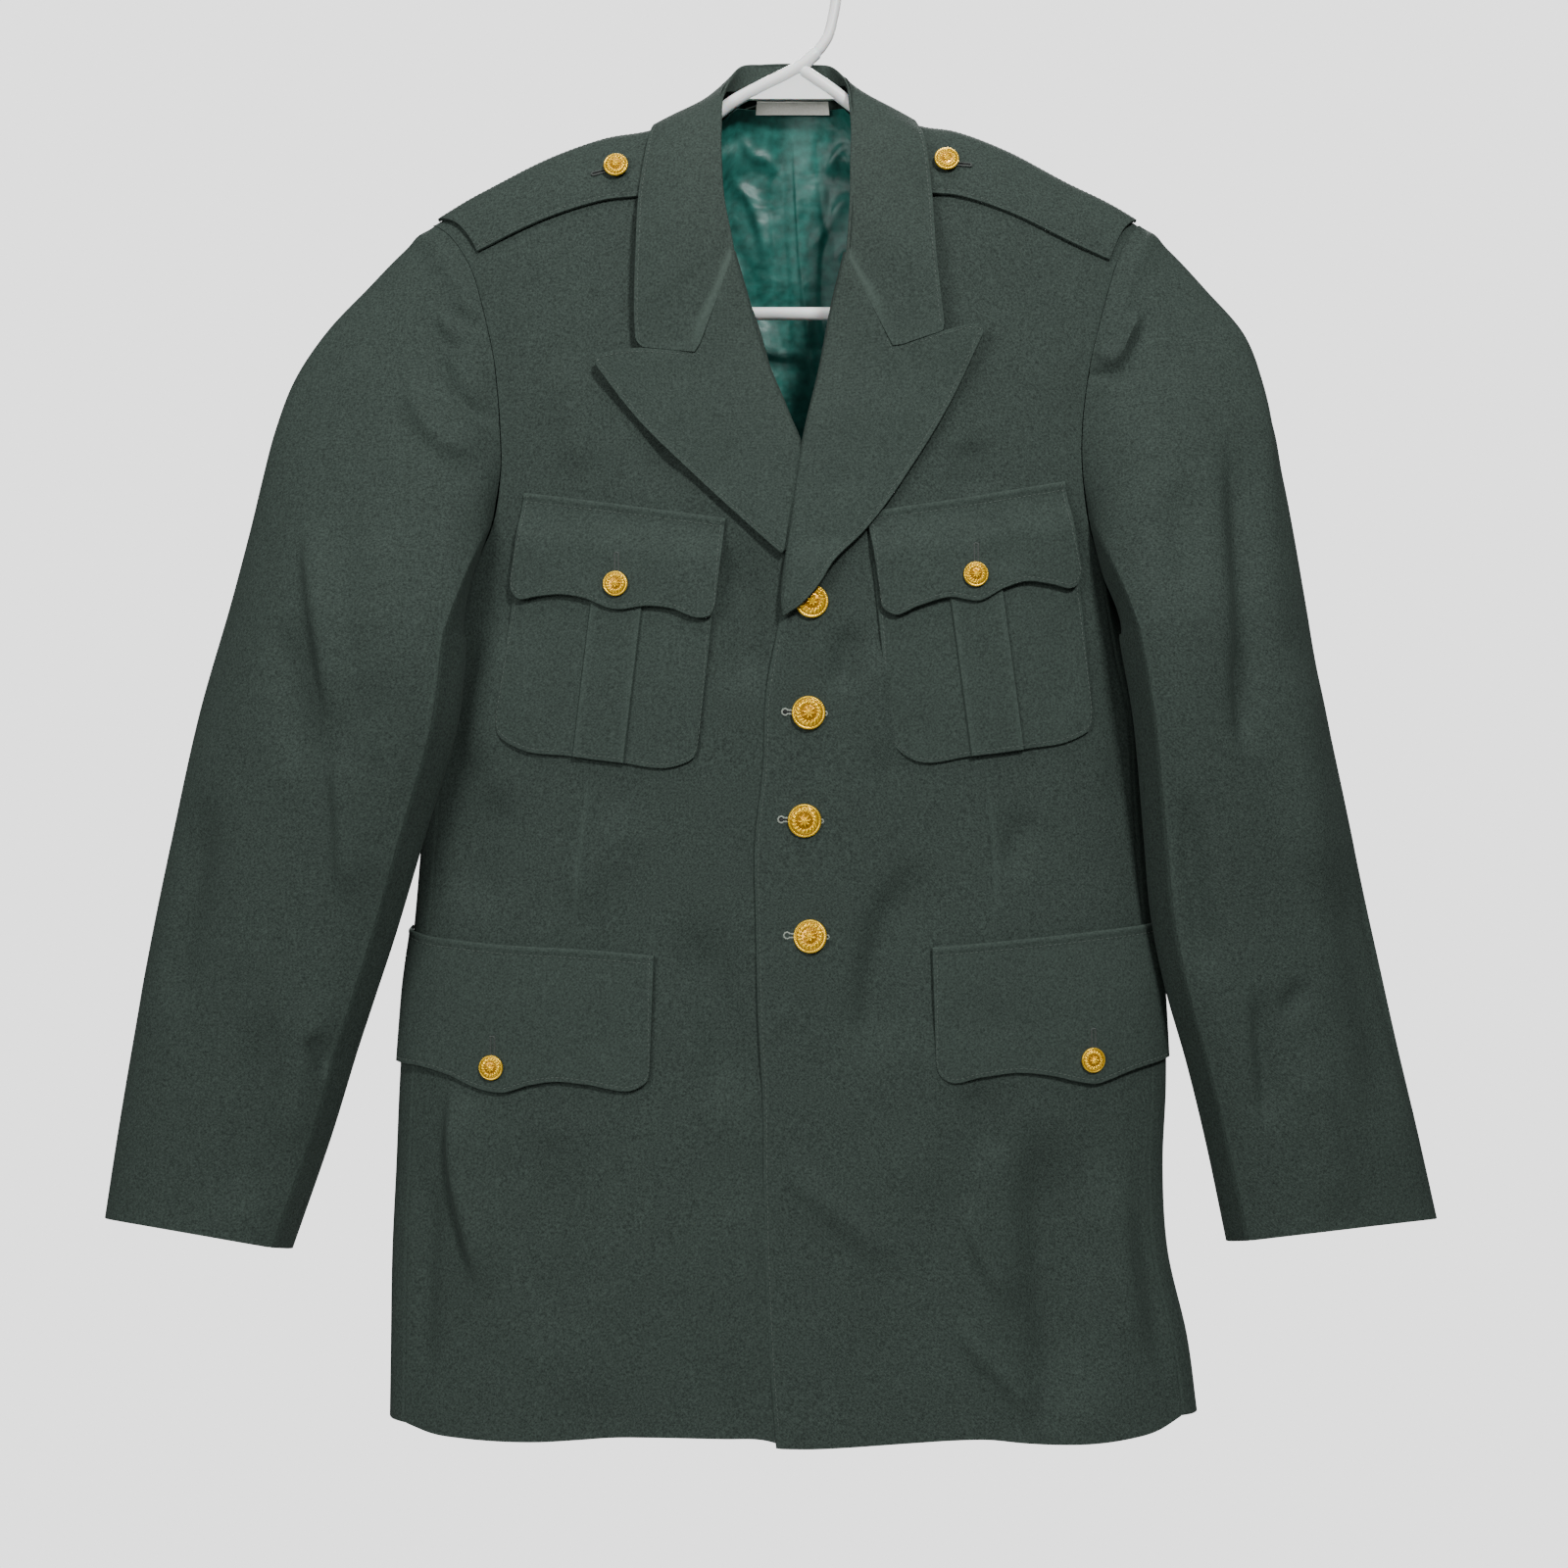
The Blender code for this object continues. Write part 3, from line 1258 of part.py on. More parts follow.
def add_hanger():
    radius = HOOK_INNER + HOOK_TUBE / 2
    arc = [(radius * math.cos(math.radians(a)), -HOOK_INNER + radius * math.sin(math.radians(a)))
           for a in range(0, HOOK_TURN, 15)]
    path = [(x, 0, z) for x, z in curve(HOOK_STEM, 9)[:-1]] + [(x, 0, z) for x, z in arc]
    add_tube("hanger_hook", path, HOOK_TUBE)
    for side in (LEFT, RIGHT):
        whole = curve(ARM[side], ARM_SAMPLES)
        centreline = resample(whole[run_lengths(whole) > ARM_START], ARM_RINGS)
        add_tube(side_name("hanger_arm", side), [(x, 0, z) for x, z in centreline], TUBE)
    ends = [side * abs(ARM[side][-1][0]) for side in (RIGHT, LEFT)]
    x = np.linspace(ends[0] + 2 * SEAM, ends[1] - 2 * SEAM, 5)
    add_tube("hanger_bar", [(v, 0, HANGER_BAR_Z) for v in x], TUBE)
    corners = [(x, y, z) for y in (-WEB / 2, WEB / 2) for x, z in WEB_CORNERS]
    add_object("hanger_web", corners, [(0, 1, 2), (5, 4, 3), (0, 3, 4, 1), (1, 4, 5, 2), (2, 5, 3, 0)],
               "plastic_white")


def main():
    for old in list(bpy.data.objects):
        bpy.data.objects.remove(old)
    add_body()
    add_sleeves()
    add_collar()
    add_lapels()
    add_straps()
    add_breast_pockets()
    add_flaps()
    add_buttons()
    add_lining()
    add_hanger()


main()
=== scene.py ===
"""Military dress tunic, buttoned, on a tubular hanger: wool, satin, thread, gilt and plastic.

Sizes in the tables are millimetres; objects are in metres. X runs to the wearer's left,
Y to the wearer's back, Z up, and the origin is the inner top of the hanger's hook.
"""

import math

import bmesh
import bpy
import numpy as np
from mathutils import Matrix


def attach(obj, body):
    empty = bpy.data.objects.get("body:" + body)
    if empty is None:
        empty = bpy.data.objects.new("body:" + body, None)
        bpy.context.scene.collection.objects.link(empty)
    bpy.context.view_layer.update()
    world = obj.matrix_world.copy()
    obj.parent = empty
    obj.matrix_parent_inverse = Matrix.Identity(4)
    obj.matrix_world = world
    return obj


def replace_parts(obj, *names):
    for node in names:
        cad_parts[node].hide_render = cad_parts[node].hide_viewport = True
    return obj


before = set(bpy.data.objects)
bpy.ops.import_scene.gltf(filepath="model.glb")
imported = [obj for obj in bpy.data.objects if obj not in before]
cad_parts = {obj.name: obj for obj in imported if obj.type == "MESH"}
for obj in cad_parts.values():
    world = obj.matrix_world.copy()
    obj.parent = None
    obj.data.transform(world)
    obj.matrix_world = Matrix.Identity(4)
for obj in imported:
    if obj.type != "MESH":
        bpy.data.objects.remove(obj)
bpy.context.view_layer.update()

bl_info = {
    "name": "Military dress tunic",
    "version": (1, 0, 0),
    "blender": (4, 5, 0),
    "location": "View3D > Sidebar > Tunic",
    "description": "Builds cloth, stitching, buttons, lining and hanger of a military dress tunic",
    "category": "Object",
}

MM = 0.001

# ---------------------------------------------------------------- driving sizes
WOOL = 2.0              # wall of a wool panel
DOUBLE = 2.2            # two layers of wool: collar, lapel, flap, strap
SATIN = 0.6             # wall of the lining
LABEL_WALL = 0.7        # and of the label
SEAM = 0.3              # gap between neighbouring pieces
HALF_SEAM = SEAM / 2
CENTRE = -16.5          # the coat's centre plane, left of the hook's
ROUNDNESS = 2.8         # superellipse power of the coat's girth
SLEEVE_ROUNDNESS = 2.2  # and of a sleeve's girth
SHOULDER_FRONT = 70.0   # height over which the shoulder rounds over to the front
SHOULDER_BACK = 60.0    # and to the back
FRONT_BUTTON = 21.0     # diameters
SMALL_BUTTON = 15.6
TUBE = 8.4              # the hanger's arms and bar
HOOK_TUBE = 7.0
HOOK_INNER = 17.8       # inner radius of the hook
WEB = 3.0               # plate between the hanger's arms

LEFT, RIGHT = 1, -1     # the wearer's sides: left is at +X

# Angles of the side body's seams round the girth, and how far they swing forward under the arm
FRONT_SEAM, BACK_SEAM, SEAM_SWING = 68, 118, 7
FRONT_COLUMNS, BACK_COLUMNS, SIDE_COLUMNS = 13, 10, 6

# The coat's girth: half outline and depth at each height
BODY = np.array([
    # z      right x  left x  front  back
    (-1000, -273, 251, 63, 60),
    (-970, -273, 249, 63, 60),
    (-918, -272, 242, 62, 58),
    (-883, -272, 234, 61, 57),
    (-845, -270, 226, 59, 56),
    (-778, -268, 228, 57, 53),
    (-736, -266, 228, 56, 51),
    (-682, -261, 226, 55, 49),
    (-654, -257, 223, 54, 48),
    (-594, -252, 218, 53, 46),
    (-499, -245, 211, 54, 46),
    (-441, -234, 201, 53, 46),
    (-371, -249, 216, 50, 46),
    (-308, -261, 228, 46, 44),
    (-265, -267, 234, 42, 42),
    (-200, -271, 238, 35, 37),
    (-120, -273, 240, 27, 30),
    (-60, -273, 240, 26, 30),
], float)

# The ridge of the shoulders
SHOULDER = np.array([
    # x     z
    (-320, -262), (-275, -222), (-244, -200), (-205, -178.5), (-167, -159.5), (-133, -147.5),
    (-100, -141), (-80, -131), (-62, -118), (-45, -105), (-17, -92), (12, -100), (30, -115.6),
    (48, -127.5), (66, -138.4), (91, -143), (122, -154.5), (162, -175.5), (208, -198.5),
    (240, -221), (285, -262),
], float)

# Armhole seams, from the shoulder down the front, under the arm and up the back
ARMHOLE = {RIGHT: [
    # x     z     face
    (-246, -200, "ridge"), (-229, -215, "front"), (-213, -246, "front"), (-203, -287, "front"),
    (-198, -330, "front"), (-197, -365, "front"), (-203, -401, "front"), (-216, -430, "front"),
    (-233, -444, "side"), (-226, -422, "back"), (-221, -375, "back"), (-220, -320, "back"),
    (-224, -265, "back"), (-236, -216, "back"),
], LEFT: [
    # x     z     face
    (212, -200, "ridge"), (201, -214, "front"), (188, -247, "front"), (176, -294, "front"),
    (170, -335, "front"), (170, -366, "front"), (175, -401, "front"), (184, -430, "front"),
    (200, -444, "side"), (194, -422, "back"), (189, -375, "back"), (188, -320, "back"),
    (192, -265, "back"), (204, -216, "back"),
]}
FRONT_MID, FRONT_LOW, UNDERARM, BACK_LOW, BACK_MID = 4, 7, 8, 9, 11

# Inner edge of each front: neckline, roll line, then the centre front edge
EDGE = {LEFT: np.array([
    # z    x
    (-974, -23), (-905, -28), (-816, -31), (-745, -32), (-696, -35), (-639, -36), (-609, -37),
    (-562, -32), (-515, -30), (-482, -27), (-459, -21), (-424, -16), (-403, -13), (-367, -8),
    (-345, -4), (-307, 4), (-265, 11), (-233, 21), (-212, 27), (-175, 32), (-140, 34.5), (-120, 36),
], float), RIGHT: np.array([
    # z    x
    (-969, 14), (-806, 12), (-684, 11), (-562, 12), (-501, 13), (-440, 12), (-407, 7), (-379, 0),
    (-354, -9), (-335, -15), (-290, -31), (-263, -38), (-232, -50), (-210, -58), (-175, -64),
    (-140, -64), (-117, -62),
], float)}

HEM = np.array([
    # x     z
    (-273, -963.5), (-262, -966), (-254, -968.5), (-240, -970.5), (-228, -971.5), (-181, -972),
    (-120, -967), (-27, -968), (-22, -974), (41, -971), (102, -968), (143, -973), (181, -974),
    (210, -971), (225, -967), (236, -962), (249, -956),
], float)

# Heights that match across a front, hem to shoulder, and how many rows lie between
FRONT_ROWS = [
    # inner z, outer z, rows
    (-974, -972, 0),
    (-760, -755, 4),
    (-600, -600, 3),
    (-459, -480, 3),
    (-400, -430, 1),
    (-345, -365, 2),
    (-233, -287, 3),
]
BACK_ROWS = [
    (-970, -970, 0),
    (-755, -755, 4),
    (-600, -600, 3),
    (-470, -480, 3),
    (-412, -422, 1),
    (-270, -320, 2),
    (-200, -265, 1),
]
ROWS_BELOW_ARM = 12     # of both tables, hem and underarm included
# Drop below the shoulder ridge of the last rows, as angles round the ridge
RIDGE_ANGLES = (68, 50, 33, 17, 0)
OVERLAP_LIFT = 2.6      # the left front lies this far outside the right one
OVERLAP_FULL, OVERLAP_END = 22.0, 60.0  # it dies out between these x
OVERLAP_TOP = (-340, -290)  # and between these heights
# Share of the ridge's bend in the two rows under those that follow the ridge
BEND_SHARES = (0.35, 0.75)
# Depth of the back neckline under the ridge, its ends, and its share in each row below
NECK_DIP = 17
NECK_POINTS = (-78.5, 30)
NECK_DIP_SHARES = (1.0, 1.0, 0.9, 0.7, 0.45, 0.2)

# Rings of the sleeves below the armhole, to the cuff
SLEEVE = {RIGHT: [
    # outer x, z, inner x, z, inner y, outer y, front, back
    (-374, -449, -217, -477, -60, -12, 36, 50),
    (-392, -511, -223, -528, -60, -12, 36, 48),
    (-405, -567, -243, -594, -52, -12, 35, 44),
    (-418, -627, -262, -655, -44, -12, 34, 40),
    (-428, -679, -277, -698, -40, -12, 33, 38),
    (-434, -716, -290, -735, -36, -12, 32, 36),
    (-444, -777, -308, -791, -31, -12, 31, 34),
    (-454, -841, -332, -859, -26, -12, 30, 32),
], LEFT: [
    (316.5, -448, 192, -474, -60, -12, 38, 50),
    (325, -499, 200, -523, -60, -12, 38, 48),
    (340, -569, 207, -594, -52, -12, 37, 45),
    (352, -625, 213, -646, -44, -12, 36, 41),
    (364, -678, 223, -692, -40, -12, 35, 39),
    (375, -727, 237, -739, -36, -12, 34, 37),
    (388, -782, 250, -790, -31, -12, 33, 35),
    (401, -841, 264, -854, -26, -12, 31, 33),
]}
CAP_ROWS = 8            # rows between the armhole and the first ring
CAP_LINE_POWER = 3      # how fast the outline's correction fades round a cap
# How a sleeve's cap leaves the armhole and meets the first ring, by the angle round the sleeve
CAP = {
    # angle, leaving out, y, z, arriving out, y, z
    RIGHT: [(0, 62, 0, -40, -15, 0, 119),
            (90, 26, -16, -10, -6, 6, 46),
            (150, -3, -21, -8, -5, 2, 24),
            (180, 16, -8, -4, 4, 2, 14),
            (270, 26, 14, -10, -6, -6, 46),
            (360, 62, 0, -40, -15, 0, 119)],
    LEFT: [(0, 58, 0, -38, -7, 0, 153),
           (90, 26, -16, -10, -6, 6, 46),
           (150, -3, -21, -8, -5, 2, 24),
           (180, 16, -8, -4, 4, 2, 14),
           (270, 26, 14, -10, -6, -6, 46),
           (360, 58, 0, -38, -7, 0, 153)],
}
# Outline of each cap from the shoulder, past the corner where it hangs, to the first ring
CAP_LINE = {
    # z, x
    RIGHT: [(-200, -246), (-208.6, -258), (-237.5, -284.5), (-256.2, -299.7), (-283.5, -325),
            (-288.4, -328.8), (-302.2, -332.7), (-320.2, -340.5), (-334.7, -343.9),
            (-371.9, -354), (-413.5, -364.2), (-449, -374)],
    LEFT: [(-200, 212), (-218, 232.7), (-235.5, 248.4), (-255, 264.2), (-272.4, 278.1),
           (-278.1, 281), (-314.5, 292.3), (-360.5, 301.2), (-402.4, 308), (-448, 316.5)],
}
CUFF_RISE = 7.0         # the cuff's front edge over its seams
# Angles of the sleeve seams, from the outer edge round the front, at armhole and below
FOREARM_SEAM = (135, 148)
HINDARM_SEAM = {RIGHT: (-60, -18), LEFT: (-60, 12)}
UNDERARM_BELOW = 228    # angle on the rings that hangs below the underarm

# Collar stations from the right gorge round the back of the neck to the left gorge
COLLAR = np.array([
    # fold x, y, z, outer edge x, y, z, neck seam x, y, z
    (-48.4, -52, -232, -111, -52, -289, -50.4, -47, -232),
    (-51, -50, -214, -112, -52, -262, -58, -45, -214),
    (-55, -47, -193, -111, -49, -222, -61, -42, -194),
    (-57, -40, -162, -110, -40, -191, -62, -32, -164),
    (-57, -29, -138, -106, -31, -160, -62, -21, -142),
    (-57, -17, -124, -103, -14, -140, -62, -11, -126),
    (-55, -4, -111, -99, 0, -136, -61, -1, -114),
    (-47, 22, -88, -84, 31, -139, -50, 20, -107),
    (-32, 34, -82, -52, 43, -139, -34, 29, -106),
    (-17, 38, -80, -17, 46, -134, -17, 32, -106),
    (-1, 34, -82, 18, 43, -138, 0, 29, -106),
    (13, 22, -88, 49, 31, -139, 16, 20, -105),
    (21, -4, -108, 63, 0, -131.8, 28, -1, -110),
    (22, -17, -126, 68, -14, -139, 30, -11, -126),
    (23, -30, -148, 72, -31, -157, 30, -21, -146),
    (22, -42, -172, 75, -40, -191, 30, -32, -172),
    (21.2, -48, -203, 77, -50, -231, 28, -44, -202),
    (19.6, -53, -233, 82, -54, -279, 22.6, -50, -232),
], float)
NOTCH_RIGHT = (-73, -293)
NOTCH_LEFT = (50, -290)
NOTCH_Y = -54.5         # depth of both notches
# How far the fall swells between its fold and its edge, by collar station
COLLAR_SWELL = np.array([
    # station, swell
    (0, 3.0), (4, 3.0), (6, 1.0), (8, 3.0), (10, 3.0), (12, 0.8), (13, 2.6), (14, 3.0), (17, 3.0),
], float)

LAPEL = {RIGHT: {
    "top": [(-50, -233), (-73, -293.6), (-107, -291), (-122, -292.2), (-132, -294.3), (-138, -298)],
    "roll": [(-50, -233), (-41, -264), (-34, -290), (-16, -336), (-9.5, -354),
             (-10, -368), (-15.5, -404), (-18, -417)],
    "edge": [(-138, -298), (-110, -334), (-77, -367), (-48, -394), (-20, -419)],
}, LEFT: {
    "top": [(20.4, -233.4), (50, -290.7), (80, -280.8), (98, -276.2), (103, -276.2), (106.5, -279)],
    "roll": [(20.4, -233.4), (12.6, -266), (4.6, -308), (-4, -345), (-8, -367),
             (-13, -404), (-16, -424), (-20, -452)],
    "edge": [(106.5, -279), (84, -326), (59, -367), (29, -407), (11.5, -425),
             (3.6, -438), (-8, -451), (-19, -458)],
}}

STRAP = {
    # inner end x, angle round the ridge of the lower edge at the armhole and at the collar
    RIGHT: (-102, 66, 71),
    LEFT: (68, 66, 72),
}
STRAP_TOP = 2           # angle of a strap's upper edge
STRAP_ENDS = 1.2        # a strap ends this far inside the armhole seam
STRAP_SEAM_LIFT = 0.7   # its height over the shoulder there
STRAP_SEAM_SHARE = 0.2  # and the share of its length over which it rises

BREAST_FLAP = {
    RIGHT: {"top": [(-181, -380), (-118, -388.5), (-55, -397)],
            "foot": [(-188, -434), (-187.6, -441), (-184, -446), (-171, -445), (-158, -444),
                     (-144, -446), (-124, -453.5), (-101, -451.5), (-89, -453), (-70, -459),
                     (-64.5, -458), (-61, -451)]},
    LEFT: {"top": [(33, -393), (96, -383.5), (157.5, -372.5)],
           "foot": [(40.5, -445), (41.5, -452), (48.5, -457), (65, -451.5), (84, -446),
                    (103, -448), (118, -440), (132, -435.6), (147, -437), (162, -438.5),
                    (165, -434), (166, -427)]},
}
BREAST_POCKET = {
    RIGHT: {"top": [(-183, -412), (-60, -428)],
            "foot": [(-199, -520), (-198, -530), (-184, -540), (-153, -544.5), (-122, -548.5),
                     (-86, -551), (-75, -546), (-71, -530)],
            "pleat": (-135, -150, 32)},
    LEFT: {"top": [(37, -425), (164, -406)],
           "foot": [(47, -525), (50, -538), (62, -547), (99, -544.5), (133, -540), (163, -534),
                    (173, -528), (174.5, -514)],
           "pleat": (81, 98, 33)},
}
LOWER_FLAP = {
    RIGHT: {"top": [(-258, -655.5), (-246, -658.5), (-224, -661), (-195, -663.5), (-142, -666),
                    (-99.5, -669.5)],
            "foot": [(-264, -739.5), (-247, -740.5), (-227, -745.5), (-212, -752), (-195, -755),
                     (-177, -750), (-161, -747.5), (-142, -749), (-109, -751), (-103.5, -747),
                     (-102, -740)]},
    LEFT: {"top": [(74, -664.5), (127, -660), (184, -654.5), (209, -652), (220, -650.5)],
           "foot": [(76, -735), (77.5, -742), (83, -747), (105, -744.5), (129, -742),
                    (147, -744), (169, -749), (177, -750), (184, -748), (199.5, -742.5),
                    (225.5, -736.5)]},
}

# Height of each piece's inner face over the cloth that it lies on
STRAP_LIFT = 1.6
LINING_GAP = 2.8
POCKET_LIFT = 0.9
PLEAT_RISE = 1.6
FLAP_LIFT_TOP = 0.9
BREAST_FLAP_LIFT = 5.4  # at the foot, over the pocket's pleat
LOWER_FLAP_LIFT = 1.6
LAPEL_LIFT = 3.6
LAPEL_ROLL = 2.6        # and how much more it rises at its roll
# Where the left lapel lies over the top button: x, z, reach, end of the reach, lift
BUTTON_COVER = (4, -440, 12, 34, 8.0)
BUTTON_COVER_EDGE = (-20, -4)

FRONT_BUTTONS = [(-1.4, -448.6), (-3.2, -518), (-5.6, -585), (-2, -657)]
BREAST_BUTTONS = {RIGHT: (-122.5, -438), LEFT: (100, -432)}
LOWER_BUTTONS = {RIGHT: (-200.5, -739.5), LEFT: (174, -735)}
STRAP_BUTTONS = {RIGHT: (-124.5, 52), LEFT: (84.3, 52)}  # x, angle round the ridge
BUTTON_TILT = 0.6       # how much a strap button turns to the front on its shank
SHANK = 3.2             # height of a strap button's back over its strap
HANGER_BAR_Z = -257.0
ARM = {
    # centreline from the junction: x, z
    RIGHT: [(1.8, -88.4), (-6, -95.2), (-14.5, -100.3), (-33, -109.5), (-53, -120.5), (-66, -130.5),
            (-100, -149), (-150, -176), (-180, -194), (-195, -210), (-197, -228), (-184, -247),
            (-164, -256.5), (-150, -257)],
    LEFT: [(-4.7, -100.1), (3.7, -105.8), (13.3, -112.3), (20, -117.5), (45, -135), (80, -153),
           (120, -172), (150, -188), (168, -206), (170, -228), (158, -247), (138, -256.5),
           (124, -257)],
}
# The hook's stem from the arms' junction to the start of its arc: x, z
HOOK_STEM = [(1.8, -88.4), (6, -83.6), (9.8, -77.5), (13.5, -64), (16.5, -46), (20, -31)]
HOOK_TURN, HOOK_STEP = 196, 6   # degrees of the hook's arc, and from ring to ring
# The plate's corners below the junction of the arms
WEB_CORNERS = [(-39, -118), (11.8, -118), (-8.5, -105.4)]
LINING_FOOT, LINING_TOP = -945, -117.5  # heights in the middle of the back
LINING_BELOW = 8        # the lining's top stays this far below the shoulders' ridge
# Share of the back's half width that it spans, less this much at the arms and at the neck
LINING_REACH, UNDER_ARMS, AT_NECK = 0.90, 0.20, 0.34
LABEL_X, LABEL_Z = (-39, 14), (-119.6, -111.4)


# ---------------------------------------------------------------- curves
def through(keys, values, at):
    """A smooth curve through a table's columns, its slopes taken from the neighbours."""
    keys = np.asarray(keys, float)
    values = np.asarray(values, float)
    at = np.clip(np.asarray(at, float), keys[0], keys[-1])
    slopes = np.gradient(values, keys, axis=0)
    low = np.clip(np.searchsorted(keys, at, side="right") - 1, 0, len(keys) - 2)
    step = keys[low + 1] - keys[low]
    s = (at - keys[low]) / step
    if values.ndim > 1:
        s, step = s[..., None], step[..., None]
    start, end = values[low], values[low + 1]
    rise0, rise1 = slopes[low] * step, slopes[low + 1] * step
    return (start * (1 + 2 * s) * (1 - s) ** 2 + rise0 * s * (1 - s) ** 2
            + end * s * s * (3 - 2 * s) + rise1 * s * s * (s - 1))


def read_at(at, keys, columns):
    """Each column of a table, read at the given places between its keys."""
    return np.stack([np.interp(at, keys, column) for column in columns.T], axis=-1)


def hump(offset, reach, power=2):
    """1 where the offset is nothing, and down to nothing at about twice the reach."""
    return np.exp(-(offset / reach) ** power)


def run_lengths(points):
    """Length run along a line up to each of its points."""
    steps = np.linalg.norm(np.diff(points, axis=0), axis=1)
    return np.concatenate([[0.0], np.cumsum(steps)])


def resample(points, count):
    """Points evenly spaced along a polyline."""
    along = run_lengths(points)
    return read_at(np.linspace(0, along[-1], count), along, points)


def curve(points, count, dense=240):
    """Evenly spaced points on a smooth curve through the given ones."""
    points = np.asarray(points, float)
    along = run_lengths(points)
    return resample(through(along, points, np.linspace(0, along[-1], dense)), count)


def polyline(points, count):
    """Evenly spaced points along straight stretches, corners kept."""
    return resample(np.asarray(points, float), count)


def signed_power(value, power):
    """A power that keeps its base's sign."""
    return np.sign(value) * np.abs(value) ** power


def smoothstep(low, high, value):
    """0 up to low, 1 from high, and an even curve between them."""
    t = np.clip((value - low) / (high - low), 0, 1)
    return t * t * (3 - 2 * t)


def unit(vectors):
    """Vectors at length 1."""
    return vectors / np.maximum(np.linalg.norm(vectors, axis=-1, keepdims=True), 1e-9)


def girth(z, column):
    """A column of the BODY table at height z."""
    return through(BODY[:, 0], BODY[:, column], z)


def middle_and_half(z):
    """Middle and half width of the coat at height z."""
    right, left = girth(z, 1), girth(z, 2)
    return (left + right) / 2, (left - right) / 2


def ridge_z(x):
    """Height of the shoulders' ridge at x."""
    return through(SHOULDER[:, 0], SHOULDER[:, 1], x)


def across(x, z):
    """How far out x lies on the girth, -1 to 1."""
    middle, half = middle_and_half(z)
    return np.clip((x - middle) / half, -1, 1)


def bulge(x, z):
    """Share of the coat's depth at x, z, from 1 in the middle to 0 at the side."""
    return (1 - np.abs(across(x, z)) ** ROUNDNESS) ** (1 / ROUNDNESS)


def over_shoulder(x, z, height):
    """Share of the depth left where the shoulder rounds over."""
    drop = np.clip((ridge_z(x) - z) / height, 0, 1)
    return np.sqrt(1 - (1 - drop) ** 2)


def overlap_lift(x, z, side):
    """How far the left front lies outside the right one, where it laps over it."""
    lapped = (1 - smoothstep(OVERLAP_FULL, OVERLAP_END, x)) * (1 - smoothstep(*OVERLAP_TOP, z))
    return OVERLAP_LIFT * lapped * (side == LEFT)


def front_y(x, z, side):
    """Depth of a front at x, z."""
    depth = girth(z, 3) * bulge(x, z) * over_shoulder(x, z, SHOULDER_FRONT)
    return -np.maximum(depth, HALF_SEAM) - overlap_lift(x, z, side)


def back_y(x, z):
    """Depth of the back at x, z."""
    depth = girth(z, 4) * bulge(x, z) * over_shoulder(x, z, SHOULDER_BACK)
    return np.maximum(depth, HALF_SEAM)


def girth_angle(x, z):
    """Angle of x round the girth, from the front's middle to the side."""
    return np.arcsin(np.abs(across(x, z)) ** (ROUNDNESS / 2))


def girth_point(z, angle, side):
    """Point of the girth at an angle from the front's middle, round to the back's."""
    z = np.asarray(z, float)
    middle, half = middle_and_half(z)
    x = middle + side * half * signed_power(np.sin(angle), 2 / ROUNDNESS)
    front = np.cos(angle) > 0
    depth = np.where(front, girth(z, 3), girth(z, 4))
    height = np.where(front, SHOULDER_FRONT, SHOULDER_BACK)
    y = -depth * signed_power(np.cos(angle), 2 / ROUNDNESS) * over_shoulder(x, z, height)
    y = y - np.where(front, overlap_lift(x, z, side), 0)
    return np.stack([x + 0 * z, y + 0 * z, z + 0 * x], axis=-1)


def body_normals(points, back):
    """Outward unit normals of the coat's form at points on it; back is true behind the side."""
    x, z = points[..., 0], points[..., 2]
    side = np.where(x > middle_and_half(z)[0], LEFT, RIGHT)
    angle = girth_angle(x, z)
    angle = np.where(back, math.pi - angle, angle)
    turn, rise = 0.02, 1.0
    low = np.clip(angle - turn, 0.004, math.pi - 0.004)
    high = np.clip(angle + turn, 0.004, math.pi - 0.004)
    around = girth_point(z, high, side) - girth_point(z, low, side)
    upward = girth_point(z + rise, angle, side) - girth_point(z - rise, angle, side)
    normals = unit(np.cross(around, upward)) * side[..., None]
    on_ridge = ridge_z(x) - z < 0.5
    normals[..., 1] = np.where(on_ridge, 0.0, normals[..., 1])
    return unit(normals)


def seam_angle(z, side_back):
    """Angle of the front or back side seam at height z."""
    if side_back:
        return np.radians(BACK_SEAM - SEAM_SWING * smoothstep(-520, -422, z))
    return np.radians(FRONT_SEAM - SEAM_SWING * smoothstep(-520, -430, z))


def armhole_points(rows, side):
    """Points of the armhole's knots; those on the ridge and at the side lie in the middle."""
    points = []
    for x, z, face in rows:
        at = np.float64(x), np.float64(z)
        y = {"front": front_y(*at, side), "back": back_y(*at)}.get(face, 0.0)
        points.append((x, float(y), z))
    return np.array(points)


def armhole_loop(side, dense=480):
    """The armhole seam as a closed smooth loop, with the length at each of its knots."""
    knots = armhole_points(ARMHOLE[side], side)
    count = len(knots)
    closed = np.concatenate([knots[-3:], knots, knots[:3]])
    along = run_lengths(closed)
    at = np.linspace(along[3], along[3 + count], dense + 1)
    knot_at = (along[3:4 + count] - along[3]) / (along[3 + count] - along[3])
    return through(along, closed, at), knot_at


def loop_point(loop, at):
    """The armhole's point at a share of its length."""
    return read_at(at, np.linspace(0, 1, len(loop)), loop)


def grid_normals(grid, outward):
    """Unit normals of a grid of points, on the side that the outward hint points to."""
    down = np.gradient(grid, axis=0)
    along = np.gradient(grid, axis=1)
    normals = unit(np.cross(along, down))
    if np.sum(normals * np.asarray(outward, float)) < 0:
        normals = -normals
    return normals


